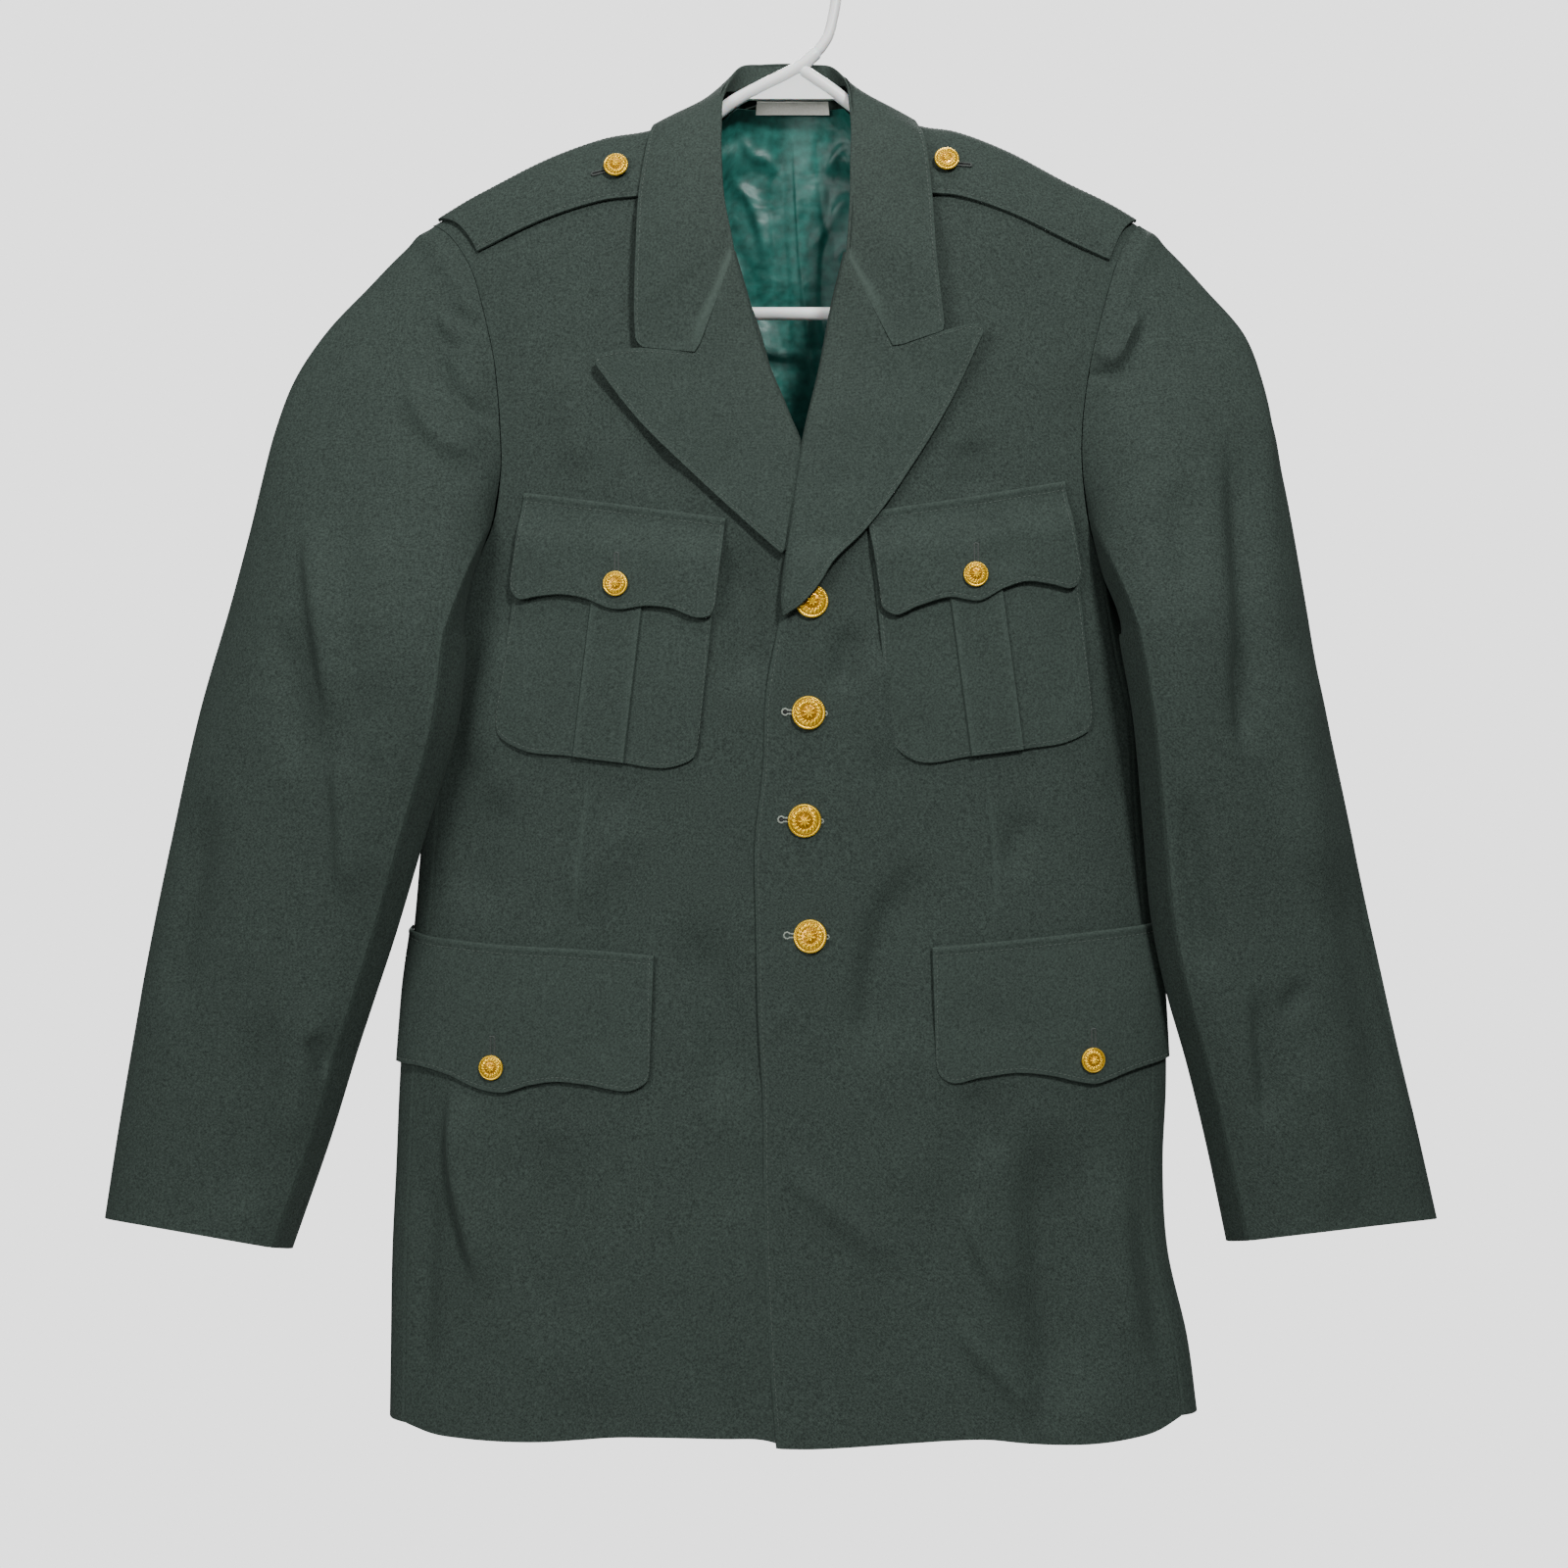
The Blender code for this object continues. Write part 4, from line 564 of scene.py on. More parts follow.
def inset(grid, start=0.0, end=0.0, first=0.0, last=0.0):
    """Draw a grid's edges in: its first and last columns, its first and last rows."""
    grid = grid.copy()
    for edge, inner, aside, down in ((0, 1, start, first), (-1, -2, end, last)):
        grid[:, edge] += aside * unit(grid[:, inner] - grid[:, edge])
        grid[edge] += down * unit(grid[inner] - grid[edge])
    return grid


def size(name):
    """A size that a user may have changed, in millimetres."""
    return getattr(bpy.context.scene.tunic_sizes, name) / MM


def side_name(stem, side):
    """A name with the wearer's side."""
    return f"{stem}_{'left' if side == LEFT else 'right'}"


def panel_row(x_inner, z_inner, x_outer, z_outer, surface, shoulder_share, columns):
    """A row of a panel: even spacing on the surface, bent to the ridge near the top."""
    along = np.linspace(0, 1, 200)
    u_inner, u_outer = across(x_inner, z_inner), across(x_outer, z_outer)
    turn = np.arcsin(signed_power(np.array([u_inner, u_outer]), ROUNDNESS / 2))
    u = signed_power(np.sin(turn[0] + (turn[1] - turn[0]) * along), 2 / ROUNDNESS)
    share = (u - u_inner) / (u_outer - u_inner)
    z = z_inner + (z_outer - z_inner) * share
    middle, half = middle_and_half(z)
    x = middle + half * u
    chord = ridge_z(x_inner) + (ridge_z(x_outer) - ridge_z(x_inner)) * share
    z = z + shoulder_share * (ridge_z(x) - chord)
    row = np.stack([x, surface(x, z), z], axis=-1)
    return resample(row, columns)


def loop_at_height(z, loop, knot_at, back):
    """The armhole's point at height z, on its front or its back."""
    if back:
        part = loop[int(knot_at[BACK_LOW] * (len(loop) - 1)) - 1:]
    else:
        part = loop[: int(knot_at[FRONT_LOW] * (len(loop) - 1)) + 2][::-1]
    return np.array([np.interp(z, part[:, 2], part[:, k]) for k in (0, 1)] + [z])


def outer_point(z, side, loop, knot_at, back):
    """A panel's outer edge: the side seam, then the armhole."""
    low_knot = loop_point(loop, knot_at[BACK_LOW if back else FRONT_LOW])
    if z < low_knot[2] - 0.5:
        return girth_point(np.float64(z), seam_angle(z, back), side)
    return loop_at_height(z, loop, knot_at, back)


def row_heights(table, neck_z, shoulder_z, height):
    """Inner height, outer height and share of the ridge's bend, hem to shoulder."""
    inner, outer = [table[0][0]], [table[0][1]]
    for (z0, w0, _), (z1, w1, count) in zip(table, table[1:]):
        inner += list(np.linspace(z0, z1, count + 1)[1:])
        outer += list(np.linspace(w0, w1, count + 1)[1:])
    share = [0.0] * (len(inner) - len(BEND_SHARES)) + list(BEND_SHARES)
    for angle in RIDGE_ANGLES:
        drop = height * (1 - math.cos(math.radians(angle)))
        inner.append(neck_z - drop)
        outer.append(shoulder_z - drop)
        share.append(1.0)
    return list(zip(inner, outer, share))


def panel_heights(side, back):
    """The heights and bends of the rows of a front or a back."""
    loop, _ = armhole_loop(side)
    if back:
        return row_heights(BACK_ROWS, float(ridge_z(CENTRE)), loop[0][2], SHOULDER_BACK)
    return row_heights(FRONT_ROWS, EDGE[side][-1, 0], loop[0][2], SHOULDER_FRONT)


def front_grid(side, columns=FRONT_COLUMNS):
    """Coarse grid of a front, hem to shoulder, inner edge to side seam and armhole."""
    loop, knot_at = armhole_loop(side)
    edge = EDGE[side]
    rows = []
    for z_inner, z_outer, bend in panel_heights(side, False):
        x_inner = float(through(edge[:, 0], edge[:, 1], z_inner))
        outer = outer_point(z_outer, side, loop, knot_at, False)
        row = panel_row(x_inner, z_inner, outer[0], z_outer,
                        lambda x, z: front_y(x, z, side), bend, columns)
        row[-1] = outer
        rows.append(row)
    grid = np.array(rows)
    grid[0] = hem_row(grid[0], side)
    return grid


def hem_row(row, side):
    """The front's lowest row, let down to the hem line."""
    row = row.copy()
    row[:, 2] = np.interp(row[:, 0], HEM[:, 0], HEM[:, 1])
    row[:, 1] = front_y(row[:, 0], row[:, 2], side)
    row[-1] = girth_point(hem_corner(side), seam_angle(row[-1, 2], False), side)
    return row


def hem_corner(side):
    """Height of the hem at the front side seam."""
    lowest = FRONT_ROWS[0][1]
    corner = girth_point(lowest, seam_angle(lowest, False), side)
    return float(np.interp(corner[0], HEM[:, 0], HEM[:, 1]))


def back_grid(side, columns=BACK_COLUMNS):
    """Coarse grid of a back, hem to shoulder, centre seam to side seam and armhole."""
    loop, knot_at = armhole_loop(side)
    rows = []
    for z_inner, z_outer, bend in panel_heights(side, True):
        outer = outer_point(z_outer, side, loop, knot_at, True)
        row = panel_row(CENTRE, z_inner, outer[0], z_outer, back_y, bend, columns)
        row[-1] = outer
        rows.append(row)
    grid = np.array(rows)
    # the neckline dips below the ridge line between the neck points
    for k, weight in enumerate(NECK_DIP_SHARES, start=1):
        row = grid[-k, :-1]
        row[:, 2] -= weight * neck_dip(row[:, 0])
        row[:, 1] = back_y(row[:, 0], row[:, 2])
    return grid


def neck_dip(x):
    """Depth of the back neckline below the ridge line."""
    reach = np.where(x < CENTRE, CENTRE - NECK_POINTS[0], NECK_POINTS[1] - CENTRE)
    return NECK_DIP * np.clip(1 - (np.abs(x - CENTRE) / reach) ** 2, 0, 1)


def side_grid(side, columns=SIDE_COLUMNS):
    """The side body, its rows level with the front's at one edge and the back's at the other."""
    loop, knot_at = armhole_loop(side)
    top = loop_point(loop, np.linspace(knot_at[FRONT_LOW], knot_at[BACK_LOW], columns))
    share = np.linspace(0, 1, columns)
    front_z = [row[1] for row in panel_heights(side, False)[:ROWS_BELOW_ARM]]
    back_z = [row[1] for row in panel_heights(side, True)[:ROWS_BELOW_ARM]]
    front_z[0] = hem_corner(side)
    grid = np.zeros((ROWS_BELOW_ARM, columns, 3))
    dip = top[:, 2] - (top[0, 2] + (top[-1, 2] - top[0, 2]) * share)
    for r, (z_front, z_back) in enumerate(zip(front_z, back_z)):
        z = z_front + (z_back - z_front) * share
        z = z + dip * smoothstep(ROWS_BELOW_ARM - 5, ROWS_BELOW_ARM - 1, r)
        angle = seam_angle(z_front, False) * (1 - share) + seam_angle(z_back, True) * share
        grid[r] = girth_point(z, angle, side)
    grid[-1] = top
    return grid


def sleeve_ring(row, angle):
    """Point of a sleeve's ring at an angle from its outer edge round the front."""
    outer_x, outer_z, inner_x, inner_z, inner_y, outer_y, front, back = row
    share = (1 + signed_power(np.cos(angle), 2 / SLEEVE_ROUNDNESS)) / 2
    depth = np.where(np.sin(angle) > 0, front, back)
    x = inner_x + (outer_x - inner_x) * share
    y = inner_y + (outer_y - inner_y) * share
    y = y - depth * signed_power(np.sin(angle), 2 / SLEEVE_ROUNDNESS)
    z = inner_z + (outer_z - inner_z) * share
    return np.stack([x, y, z], axis=-1)


def armhole_stations(side):
    """Places on the armhole loop of every row of the panels round it, as shares of its length."""
    loop, knot_at = armhole_loop(side)
    where = np.linspace(0, 1, len(loop))
    low, high = knot_at[FRONT_LOW], knot_at[BACK_LOW]
    front = [row[1] for row in panel_heights(side, False)[ROWS_BELOW_ARM - 1:]]
    back = [row[1] for row in panel_heights(side, True)[ROWS_BELOW_ARM - 1:]]
    on_front = where <= low
    on_back = where >= high
    stations = [float(np.interp(-z, -loop[on_front, 2], where[on_front])) for z in front[::-1]]
    stations[-1] = low
    stations += list(np.linspace(low, high, SIDE_COLUMNS)[1:])
    stations += [float(np.interp(z, loop[on_back, 2], where[on_back])) for z in back[1:]]
    return np.array(stations)


def station_angles(stations, knot_at):
    """The sleeve's angle, outer edge round the front, at each armhole station, in degrees."""
    return np.interp(stations, [0, knot_at[FRONT_MID], knot_at[UNDERARM], knot_at[BACK_MID], 1],
                     [0, 90, 180, 270, 360])


def cap_vectors(angle, side, first):
    """Leaving or arriving direction of the cap: three columns of its table from the first."""
    table = np.array(CAP[side], float)
    turn = np.mod(np.degrees(angle), 360)
    low = np.clip(np.searchsorted(table[:, 0], turn, side="right") - 1, 0, len(table) - 2)
    share = smoothstep(table[low, 0], table[low + 1, 0], turn)[:, None]
    ways = table[low, first:first + 3] * (1 - share) + table[low + 1, first:first + 3] * share
    return ways * np.array([side, 1, 1])


def armhole_frame(side, at):
    """Armhole points and the way from the panels' edge into the hole."""
    loop, _ = armhole_loop(side)
    step = 0.004
    point = loop_point(loop, at)
    tangent = unit(loop_point(loop, np.mod(at + step, 1)) - loop_point(loop, np.mod(at - step, 1)))
    normal = body_normals(point, point[:, 1] > 0)
    flat = unit(normal - tangent * np.sum(normal * tangent, axis=1, keepdims=True))
    return point, unit(np.cross(tangent, flat)) * -side


def to_cap_line(rows, start, below, side):
    """Moves the outer part of a cap's rows so that its outermost points lie on its outline."""
    line = np.array(CAP_LINE[side], float)[::-1]
    for k, row in enumerate(rows):
        share = k / CAP_ROWS
        angle = start * (1 - share) + below * share
        outermost = np.argmax(side * row[:, 0])
        short = np.interp(row[outermost, 2], line[:, 0], line[:, 1]) - row[outermost, 0]
        row[:, 0] += short * ((1 + np.cos(angle)) / 2) ** CAP_LINE_POWER * (k > 0)


def sleeve_grid(side):
    """Closed grid of a whole sleeve, armhole to cuff, with the columns of its two seams."""
    rings = np.array(SLEEVE[side], float)
    _, knot_at = armhole_loop(side)
    stations = armhole_stations(side)
    start = station_angles(stations, knot_at)
    forearm = int(np.argmin(np.abs(start - FOREARM_SEAM[0])))
    hindarm = int(np.argmin(np.abs(start - 360 - HINDARM_SEAM[side][0])))
    hindarm_below, forearm_below = HINDARM_SEAM[side][1], FOREARM_SEAM[1]
    below = np.interp(start, [start[hindarm] - 360, start[forearm], 180, start[hindarm],
                              start[forearm] + 360],
                      [hindarm_below, forearm_below, UNDERARM_BELOW, hindarm_below + 360,
                       forearm_below + 360])
    start, below = np.radians(start), np.radians(below)
    seam, way_out = armhole_frame(side, stations)
    seam = seam + way_out * SEAM
    leave = seam + cap_vectors(start, side, 1)
    arrive = sleeve_ring(rings[0], below) + cap_vectors(below, side, 4)
    rows = []
    for t in np.linspace(0, 1, CAP_ROWS + 1)[:-1]:
        rows.append(seam * (1 - t) ** 3 + 3 * leave * t * (1 - t) ** 2
                    + 3 * arrive * t * t * (1 - t) + sleeve_ring(rings[0], below) * t ** 3)
    to_cap_line(rows, start, below, side)
    for row in rings:
        rows.append(sleeve_ring(row, below))
    rows[-1][:, 2] += CUFF_RISE * np.clip(np.sin(below), 0, 1)
    grid = np.array(rows)
    normals = tube_normals(grid)
    # at the seam the wall must not lean back over the panel's edge
    lean = np.clip(np.sum(normals[0] * way_out, axis=1, keepdims=True), 0, 1)
    normals[0] = unit(normals[0] - lean * way_out)
    return grid, normals, forearm, hindarm


def tube_normals(grid):
    """Normals of a closed tube of rings (first and last column alike), pointing outward."""
    down = np.gradient(grid, axis=0)
    along = np.roll(grid[:, :-1], -1, axis=1) - np.roll(grid[:, :-1], 1, axis=1)
    along = np.concatenate([along, along[:, :1]], axis=1)
    normals = unit(np.cross(along, down))
    outward = grid[-1] - grid[-1].mean(axis=0)
    return normals if np.sum(normals[-1] * outward) >= 0 else -normals


def ridge_point(x, angle, side):
    """Point of the shoulder at x, at an angle from the ridge down the front."""
    z = ridge_z(x) - SHOULDER_FRONT * (1 - np.cos(angle))
    y = np.where(angle > 0, front_y(x, z, side), back_y(x, z))
    return np.stack([x, y, z], axis=-1)


def front_frame(x, z, side):
    """A point of a front's surface and its outward normal."""
    step = 4.0
    at = np.array([x, float(front_y(x, z, side)), z])
    aside = float(front_y(x + step, z, side) - front_y(x - step, z, side))
    upward = float(front_y(x, z + step, side) - front_y(x, z - step, side))
    return at, unit(np.cross([2 * step, aside, 0], [0, upward, 2 * step]))


# ---------------------------------------------------------------- creases of the hanging cloth
# Each crease runs through points x, z as seen from the front; width and depth in millimetres,
# a trough below zero and a ridge above; lean makes one side of it steeper than the other.
CREASE_DEPTH = 2.9      # all depths are multiplied by this,
CREASE_STEEP = 0.95     # up to this share of a crease's width
FRONT_CREASES = {
    RIGHT: [
        # points, width, depth, lean
        ([(-226, -745), (-224, -808), (-213, -852), (-204, -885)], 11, 3.4, 0.7),
        ([(-158, -771), (-162, -830), (-158, -921)], 20, -1.8, 0.0),
        ([(-140, -866), (-144, -955)], 16, 1.2, 0.0),
        ([(-85, -644), (-63, -699), (-56, -771)], 17, -2.6, 0.3),
        ([(-52, -404), (-44, -450), (-40, -512)], 15, -2.2, 0.0),
        ([(-196, -560), (-214, -600), (-222, -642)], 14, -2.0, 0.4),
        ([(-158, -290), (-150, -340), (-146, -372)], 15, 1.0, 0.0),
        ([(-98, -300), (-92, -350), (-96, -385)], 13, -1.0, 0.0),
        ([(-190, -455), (-205, -500), (-214, -560)], 13, 1.6, 0.2),
        ([(-110, -575), (-130, -610), (-160, -640)], 14, 1.2, 0.0),
        ([(-40, -800), (-48, -870), (-44, -950)], 18, 1.4, 0.0),
        ([(-246, -800), (-250, -880), (-252, -950)], 12, -2.2, 0.0),
    ],
    LEFT: [
        ([(-26, -801), (4, -823), (29, -845), (51, -863)], 6, 1.6, 0.7),
        ([(84, -896), (102, -918), (120, -936), (139, -962)], 6.5, 2.6, 0.8),
        ([(90, -819), (102, -852), (117, -881), (121, -895)], 7, 1.6, 0.6),
        ([(140, -766), (146, -840), (150, -905), (156, -966)], 23, -4.2, 0.3),
        ([(99, -746), (108, -772), (112, -800)], 12, -1.6, 0.0),
        ([(77, -604), (47, -648), (36, -691), (36, -742)], 15, -2.4, 0.3),
        ([(135, -578), (127, -600), (126, -622)], 10, -1.2, 0.0),
        ([(22, -462), (20, -484), (18, -506)], 9, -1.8, 0.0),
        ([(42, -470), (40, -515), (48, -556)], 13, 1.4, 0.0),
        ([(98, -345), (100, -365), (99, -382)], 11, -1.2, 0.0),
        ([(190, -470), (198, -520), (204, -590)], 12, -1.6, 0.2),
        ([(186, -800), (192, -860), (200, -930)], 14, 1.8, 0.0),
        ([(216, -830), (222, -890), (228, -945)], 10, -2.0, 0.0),
        ([(60, -700), (70, -760), (66, -830)], 18, 1.2, 0.0),
    ],
}
# The back hangs plainly, with the same soft troughs from the waist down and at the blades
BACK_CREASES = {
    RIGHT: [
        ([(-70, -600), (-84, -700), (-90, -820), (-86, -950)], 20, -2.6, 0.2),
        ([(-140, -640), (-150, -760), (-160, -900)], 18, 2.0, 0.3),
        ([(-196, -600), (-214, -700), (-226, -850)], 14, -2.2, 0.0),
        ([(-120, -260), (-128, -330), (-150, -400)], 18, -1.4, 0.0),
        ([(-180, -420), (-190, -480), (-200, -540)], 12, -1.8, 0.2),
        ([(-60, -480), (-90, -520), (-130, -545)], 13, 1.2, 0.4),
        ([(-40, -140), (-64, -150), (-96, -172)], 10, -1.2, 0.3),
    ],
    LEFT: [
        ([(40, -620), (50, -730), (48, -860), (54, -960)], 20, -2.4, 0.2),
        ([(104, -600), (118, -740), (130, -920)], 17, 2.2, 0.2),
        ([(168, -640), (178, -740), (192, -880)], 15, -2.0, 0.0),
        ([(92, -270), (102, -350), (120, -410)], 18, -1.4, 0.0),
        ([(150, -430), (160, -500), (168, -560)], 12, -1.6, 0.3),
        ([(24, -500), (60, -530), (100, -550)], 14, 1.0, 0.4),
        ([(10, -142), (34, -154), (62, -170)], 10, -1.2, 0.3),
    ],
}
SLEEVE_CREASES = {
    RIGHT: [
        ([(-229, -259), (-222, -268), (-209, -276)], 3.4, -2.0, 0.3),
        ([(-236, -263), (-232, -275), (-222, -283)], 4.5, 1.4, 0.5),
        ([(-240, -284), (-231, -306), (-220, -323), (-208, -331), (-196, -337)], 4.2, -3.0, 0.6),
        ([(-252, -300), (-246, -330), (-228, -350), (-205, -358)], 8.0, 1.6, 0.2),
        ([(-317, -394), (-310, -438), (-300, -490), (-293, -532)], 10, 2.4, 0.7),
        ([(-293, -538), (-290, -592), (-291, -636)], 9, 2.0, 0.7),
        ([(-330, -456), (-320, -520), (-308, -560)], 13, -1.8, 0.2),
        ([(-315, -717), (-309, -731), (-303, -744)], 6, -1.8, 0.5),
        ([(-335, -700), (-350, -770), (-362, -840)], 17, -2.0, 0.2),
        ([(-380, -560), (-392, -640), (-404, -720)], 15, -2.0, 0.0),
        ([(-265, -390), (-272, -450), (-262, -520)], 16, 1.4, 0.0),
        ([(-300, -690), (-322, -740), (-330, -800)], 13, 1.4, 0.0),
    ],
    LEFT: [
        ([(214, -259), (204, -282), (193, -301), (184, -312)], 5.0, -2.8, 0.6),
        ([(206, -262), (196, -288), (184, -300)], 5.0, 1.8, 0.3),
        ([(172, -304), (182, -304), (190, -305)], 3.2, -1.6, 0.0),
        ([(178, -288), (186, -294), (190, -300)], 4.0, 1.0, 0.0),
        ([(262, -331), (266, -404), (267, -478), (262, -550)], 11, -3.2, 0.3),
        ([(266, -470), (264, -505), (261, -543)], 4.5, -1.8, 0.6),
        ([(233, -368), (228, -400), (230, -450)], 14, -1.4, 0.0),
        ([(274, -684), (278, -728), (283, -779)], 9, -2.2, 0.5),
        ([(307, -684), (296, -698), (289, -706)], 7, -1.6, 0.2),
        ([(300, -470), (306, -560), (318, -640)], 16, 1.8, 0.2),
        ([(330, -600), (350, -690), (366, -790)], 17, -2.0, 0.0),
        ([(226, -560), (232, -620), (246, -690)], 9, -2.2, 0.3),
        ([(300, -720), (320, -780), (330, -840)], 14, 1.4, 0.0),
    ],
}
SLEEVE_BACK_CREASES = {
    RIGHT: [
        ([(-250, -320), (-280, -400), (-290, -500)], 14, -2.4, 0.3),
        ([(-300, -360), (-330, -450), (-345, -560)], 16, 2.0, 0.2),
        ([(-290, -560), (-315, -600), (-350, -620)], 9, -2.2, 0.4),
        ([(-300, -600), (-330, -650), (-365, -668)], 9, -1.8, 0.4),
        ([(-360, -690), (-380, -770), (-395, -840)], 15, 1.6, 0.0),
    ],
    LEFT: [
        ([(214, -320), (240, -410), (246, -510)], 14, -2.4, 0.3),
        ([(262, -360), (284, -450), (296, -560)], 16, 2.0, 0.2),
        ([(232, -566), (262, -600), (296, -614)], 9, -2.2, 0.4),
        ([(240, -606), (276, -646), (312, -660)], 9, -1.8, 0.4),
        ([(310, -690), (330, -770), (345, -840)], 15, 1.6, 0.0),
    ],
}
# The satin: the centre back pleat and the many small folds beside it
SATIN_CREASES = [
    ([(-13, -118), (-11, -167), (-6, -238), (0, -284), (4, -340)], 2.6, 3.0, 0.9),
    ([(-22, -125), (-24, -170), (-20, -230), (-16, -300)], 5.0, -2.2, 0.2),
    ([(6, -122), (4, -150), (10, -190), (8, -240), (14, -300)], 4.2, -2.4, 0.4),
    ([(-48, -130), (-40, -146), (-30, -150), (-22, -164)], 4.0, 2.0, 0.3),
    ([(-56, -160), (-44, -172), (-34, -196), (-30, -222)], 4.6, 2.2, 0.4),
    ([(-58, -200), (-46, -214), (-40, -240), (-32, -262)], 4.6, -2.0, 0.3),
    ([(-52, -238), (-38, -256), (-30, -290), (-24, -326)], 5.0, 2.2, 0.5),
    ([(28, -136), (16, -146), (10, -160)], 3.6, 2.0, 0.3),
    ([(32, -170), (20, -176), (8, -196), (-2, -208)], 4.2, 2.2, 0.4),
    ([(34, -204), (22, -214), (16, -236), (12, -262)], 4.4, -2.2, 0.3),
    ([(30, -246), (18, -262), (10, -290), (8, -330)], 4.8, 2.0, 0.4),
    ([(-34, -300), (-26, -322), (-18, -346), (-12, -372)], 4.4, -2.2, 0.3),
    ([(16, -310), (6, -330), (0, -352)], 4.0, 2.2, 0.2),
    ([(-60, -420), (-40, -520), (-46, -640), (-40, -760)], 12, -3.0, 0.2),
    ([(40, -420), (30, -540), (38, -660), (34, -800)], 12, -3.0, 0.2),
]
LAPEL_CREASES = {
    RIGHT: [([(-49, -345), (-56, -366), (-63, -382)], 9, -0.35, 0.2),
            ([(-80, -306), (-84, -322), (-78, -340)], 10, 0.3, 0.0)],
    LEFT: [([(30, -330), (24, -360), (16, -390)], 10, -0.3, 0.0),
           ([(66, -300), (58, -320), (50, -345)], 12, 0.3, 0.0)],
}
FLAP_CREASES = {
    RIGHT: [([(-150, -390), (-152, -415), (-146, -440)], 12, -0.35, 0.0),
            ([(-90, -700), (-118, -716), (-150, -712)], 16, -0.35, 0.0)],
    LEFT: [([(109, -389), (117, -411), (120, -433)], 8, -0.7, 0.3),
           ([(58, -415), (60, -436), (66, -450)], 8, -0.35, 0.0),
           ([(92, -690), (110, -712), (140, -700)], 16, -0.35, 0.0)],
}
POCKET_CREASES = {
    RIGHT: [([(-176, -470), (-182, -505), (-176, -535)], 10, 0.35, 0.0)],
    LEFT: [([(150, -455), (158, -490), (150, -525)], 9, -0.4, 0.0),
           ([(60, -470), (58, -500), (64, -530)], 8, 0.3, 0.0)],
}
# Front darts below the breast pockets, seen as a fine seam
DARTS = {RIGHT: [(-139, -552), (-146, -606), (-150, -652)],
         LEFT: [(107, -549), (113, -600), (114, -653)]}


def crease_height(x, z, crease):
    """Height that one crease adds at points x, z, faded in and out along its run."""
    path, width, depth, lean = crease
    depth = np.clip(CREASE_DEPTH * depth, -CREASE_STEEP * width, CREASE_STEEP * width)
    line = curve(path, 26)
    near = ((x > line[:, 0].min() - 4 * width) & (x < line[:, 0].max() + 4 * width)
            & (z > line[:, 1].min() - 4 * width) & (z < line[:, 1].max() + 4 * width))
    height = np.zeros(x.shape)
    if not near.any():
        return height
    at = np.stack([x[near], z[near]], axis=-1)
    start, step = line[:-1], np.diff(line, axis=0)
    offset = at[:, None] - start[None]
    share = np.clip(np.sum(offset * step, axis=2) / np.sum(step * step, axis=1), 0, 1)
    away = offset - share[..., None] * step
    distance = np.linalg.norm(away, axis=2)
    nearest = distance.argmin(axis=1)
    pick = np.arange(len(at))
    way, off = step[nearest], away[pick, nearest]
    side = np.sign(way[:, 0] * off[:, 1] - way[:, 1] * off[:, 0])
    along = (nearest + share[pick, nearest]) / len(step)
    fade = smoothstep(0, 0.3, along) * (1 - smoothstep(0.72, 1, along))
    reach = width * (1 + lean * side * 0.75)
    height[near] = depth * fade * hump(distance[pick, nearest], reach)
    return height


def add_creases(height, x, z, creases):
    """A height with that of several creases added."""
    return sum((crease_height(x, z, crease) for crease in creases), height)


def soft_waves(points, seed, size):
    """The slow unevenness of hanging cloth, a few crossed waves 70 to 190 mm long."""
    draw = np.random.default_rng(seed)
    height = np.zeros(points.shape[:2])
    for _ in range(6):
        way = draw.normal(size=3)
        way = way * (1.0, 0.3, 0.45) / np.linalg.norm(way)
        length = draw.uniform(70, 190)
        height += np.sin(points @ way * 2 * math.pi / length + draw.uniform(0, 2 * math.pi))
    return height * size / 6


def with_creases(points, normals, creases, facing=None, waves=0.0, seed=1, fade=1.0):
    """The grid's points moved along its normals by its creases; facing -1 is front, 1 back."""
    height = soft_waves(points, seed, waves) if waves else np.zeros(points.shape[:2])
    total = add_creases(np.zeros(points.shape[:2]), points[..., 0], points[..., 2], creases)
    if facing is not None:
        total = total * smoothstep(-0.15, 0.35, facing * normals[..., 1])
    return points + normals * ((height + total) * fade)[..., None]


# ---------------------------------------------------------------- fine grids and walls of cloth
def fine_lines(count, per, near=(0.05, 0.14, 0.3)):
    """Places along a coarse grid: per to a cell, and a few more close to both edges."""
    last = count - 1
    places = [np.linspace(0, last, last * per + 1), near, last - np.array(near)]
    return np.unique(np.concatenate(places))


def shares(length, step, near=(0.7, 1.6, 2.4, 3.2, 4.6)):
    """Places from 0 to 1 along a length: a step apart, and closer beside a stitched edge."""
    last = near[-1]
    inner = np.linspace(last, length - last, max(3, int((length - 2 * last) / step)))
    return np.unique(np.concatenate([[0, length], near, inner, length - np.array(near)])) / length


def refine(grid, rows_at, columns_at):
    """The smooth surface through a coarse grid, read at finer rows and columns."""
    rows, columns = grid.shape[:2]
    down = through(np.arange(rows), grid.reshape(rows, -1), rows_at)
    turned = down.reshape(-1, columns, 3).transpose(1, 0, 2).reshape(columns, -1)
    fine = through(np.arange(columns), turned, columns_at)
    return fine.reshape(len(columns_at), -1, 3).transpose(1, 0, 2)


def lengths_along(grid, axis):
    """Length run along each row or column up to each point."""
    steps = np.linalg.norm(np.diff(grid, axis=axis), axis=2)
    start = np.zeros_like(steps.take([0], axis))
    return np.concatenate([start, np.cumsum(steps, axis=axis)], axis=axis)


def edge_distances(grid):
    """Distance from the first and last column and the first and last row."""
    along, down = lengths_along(grid, 1), lengths_along(grid, 0)
    return along, along[:, -1:] - along, down, down[-1:] - down


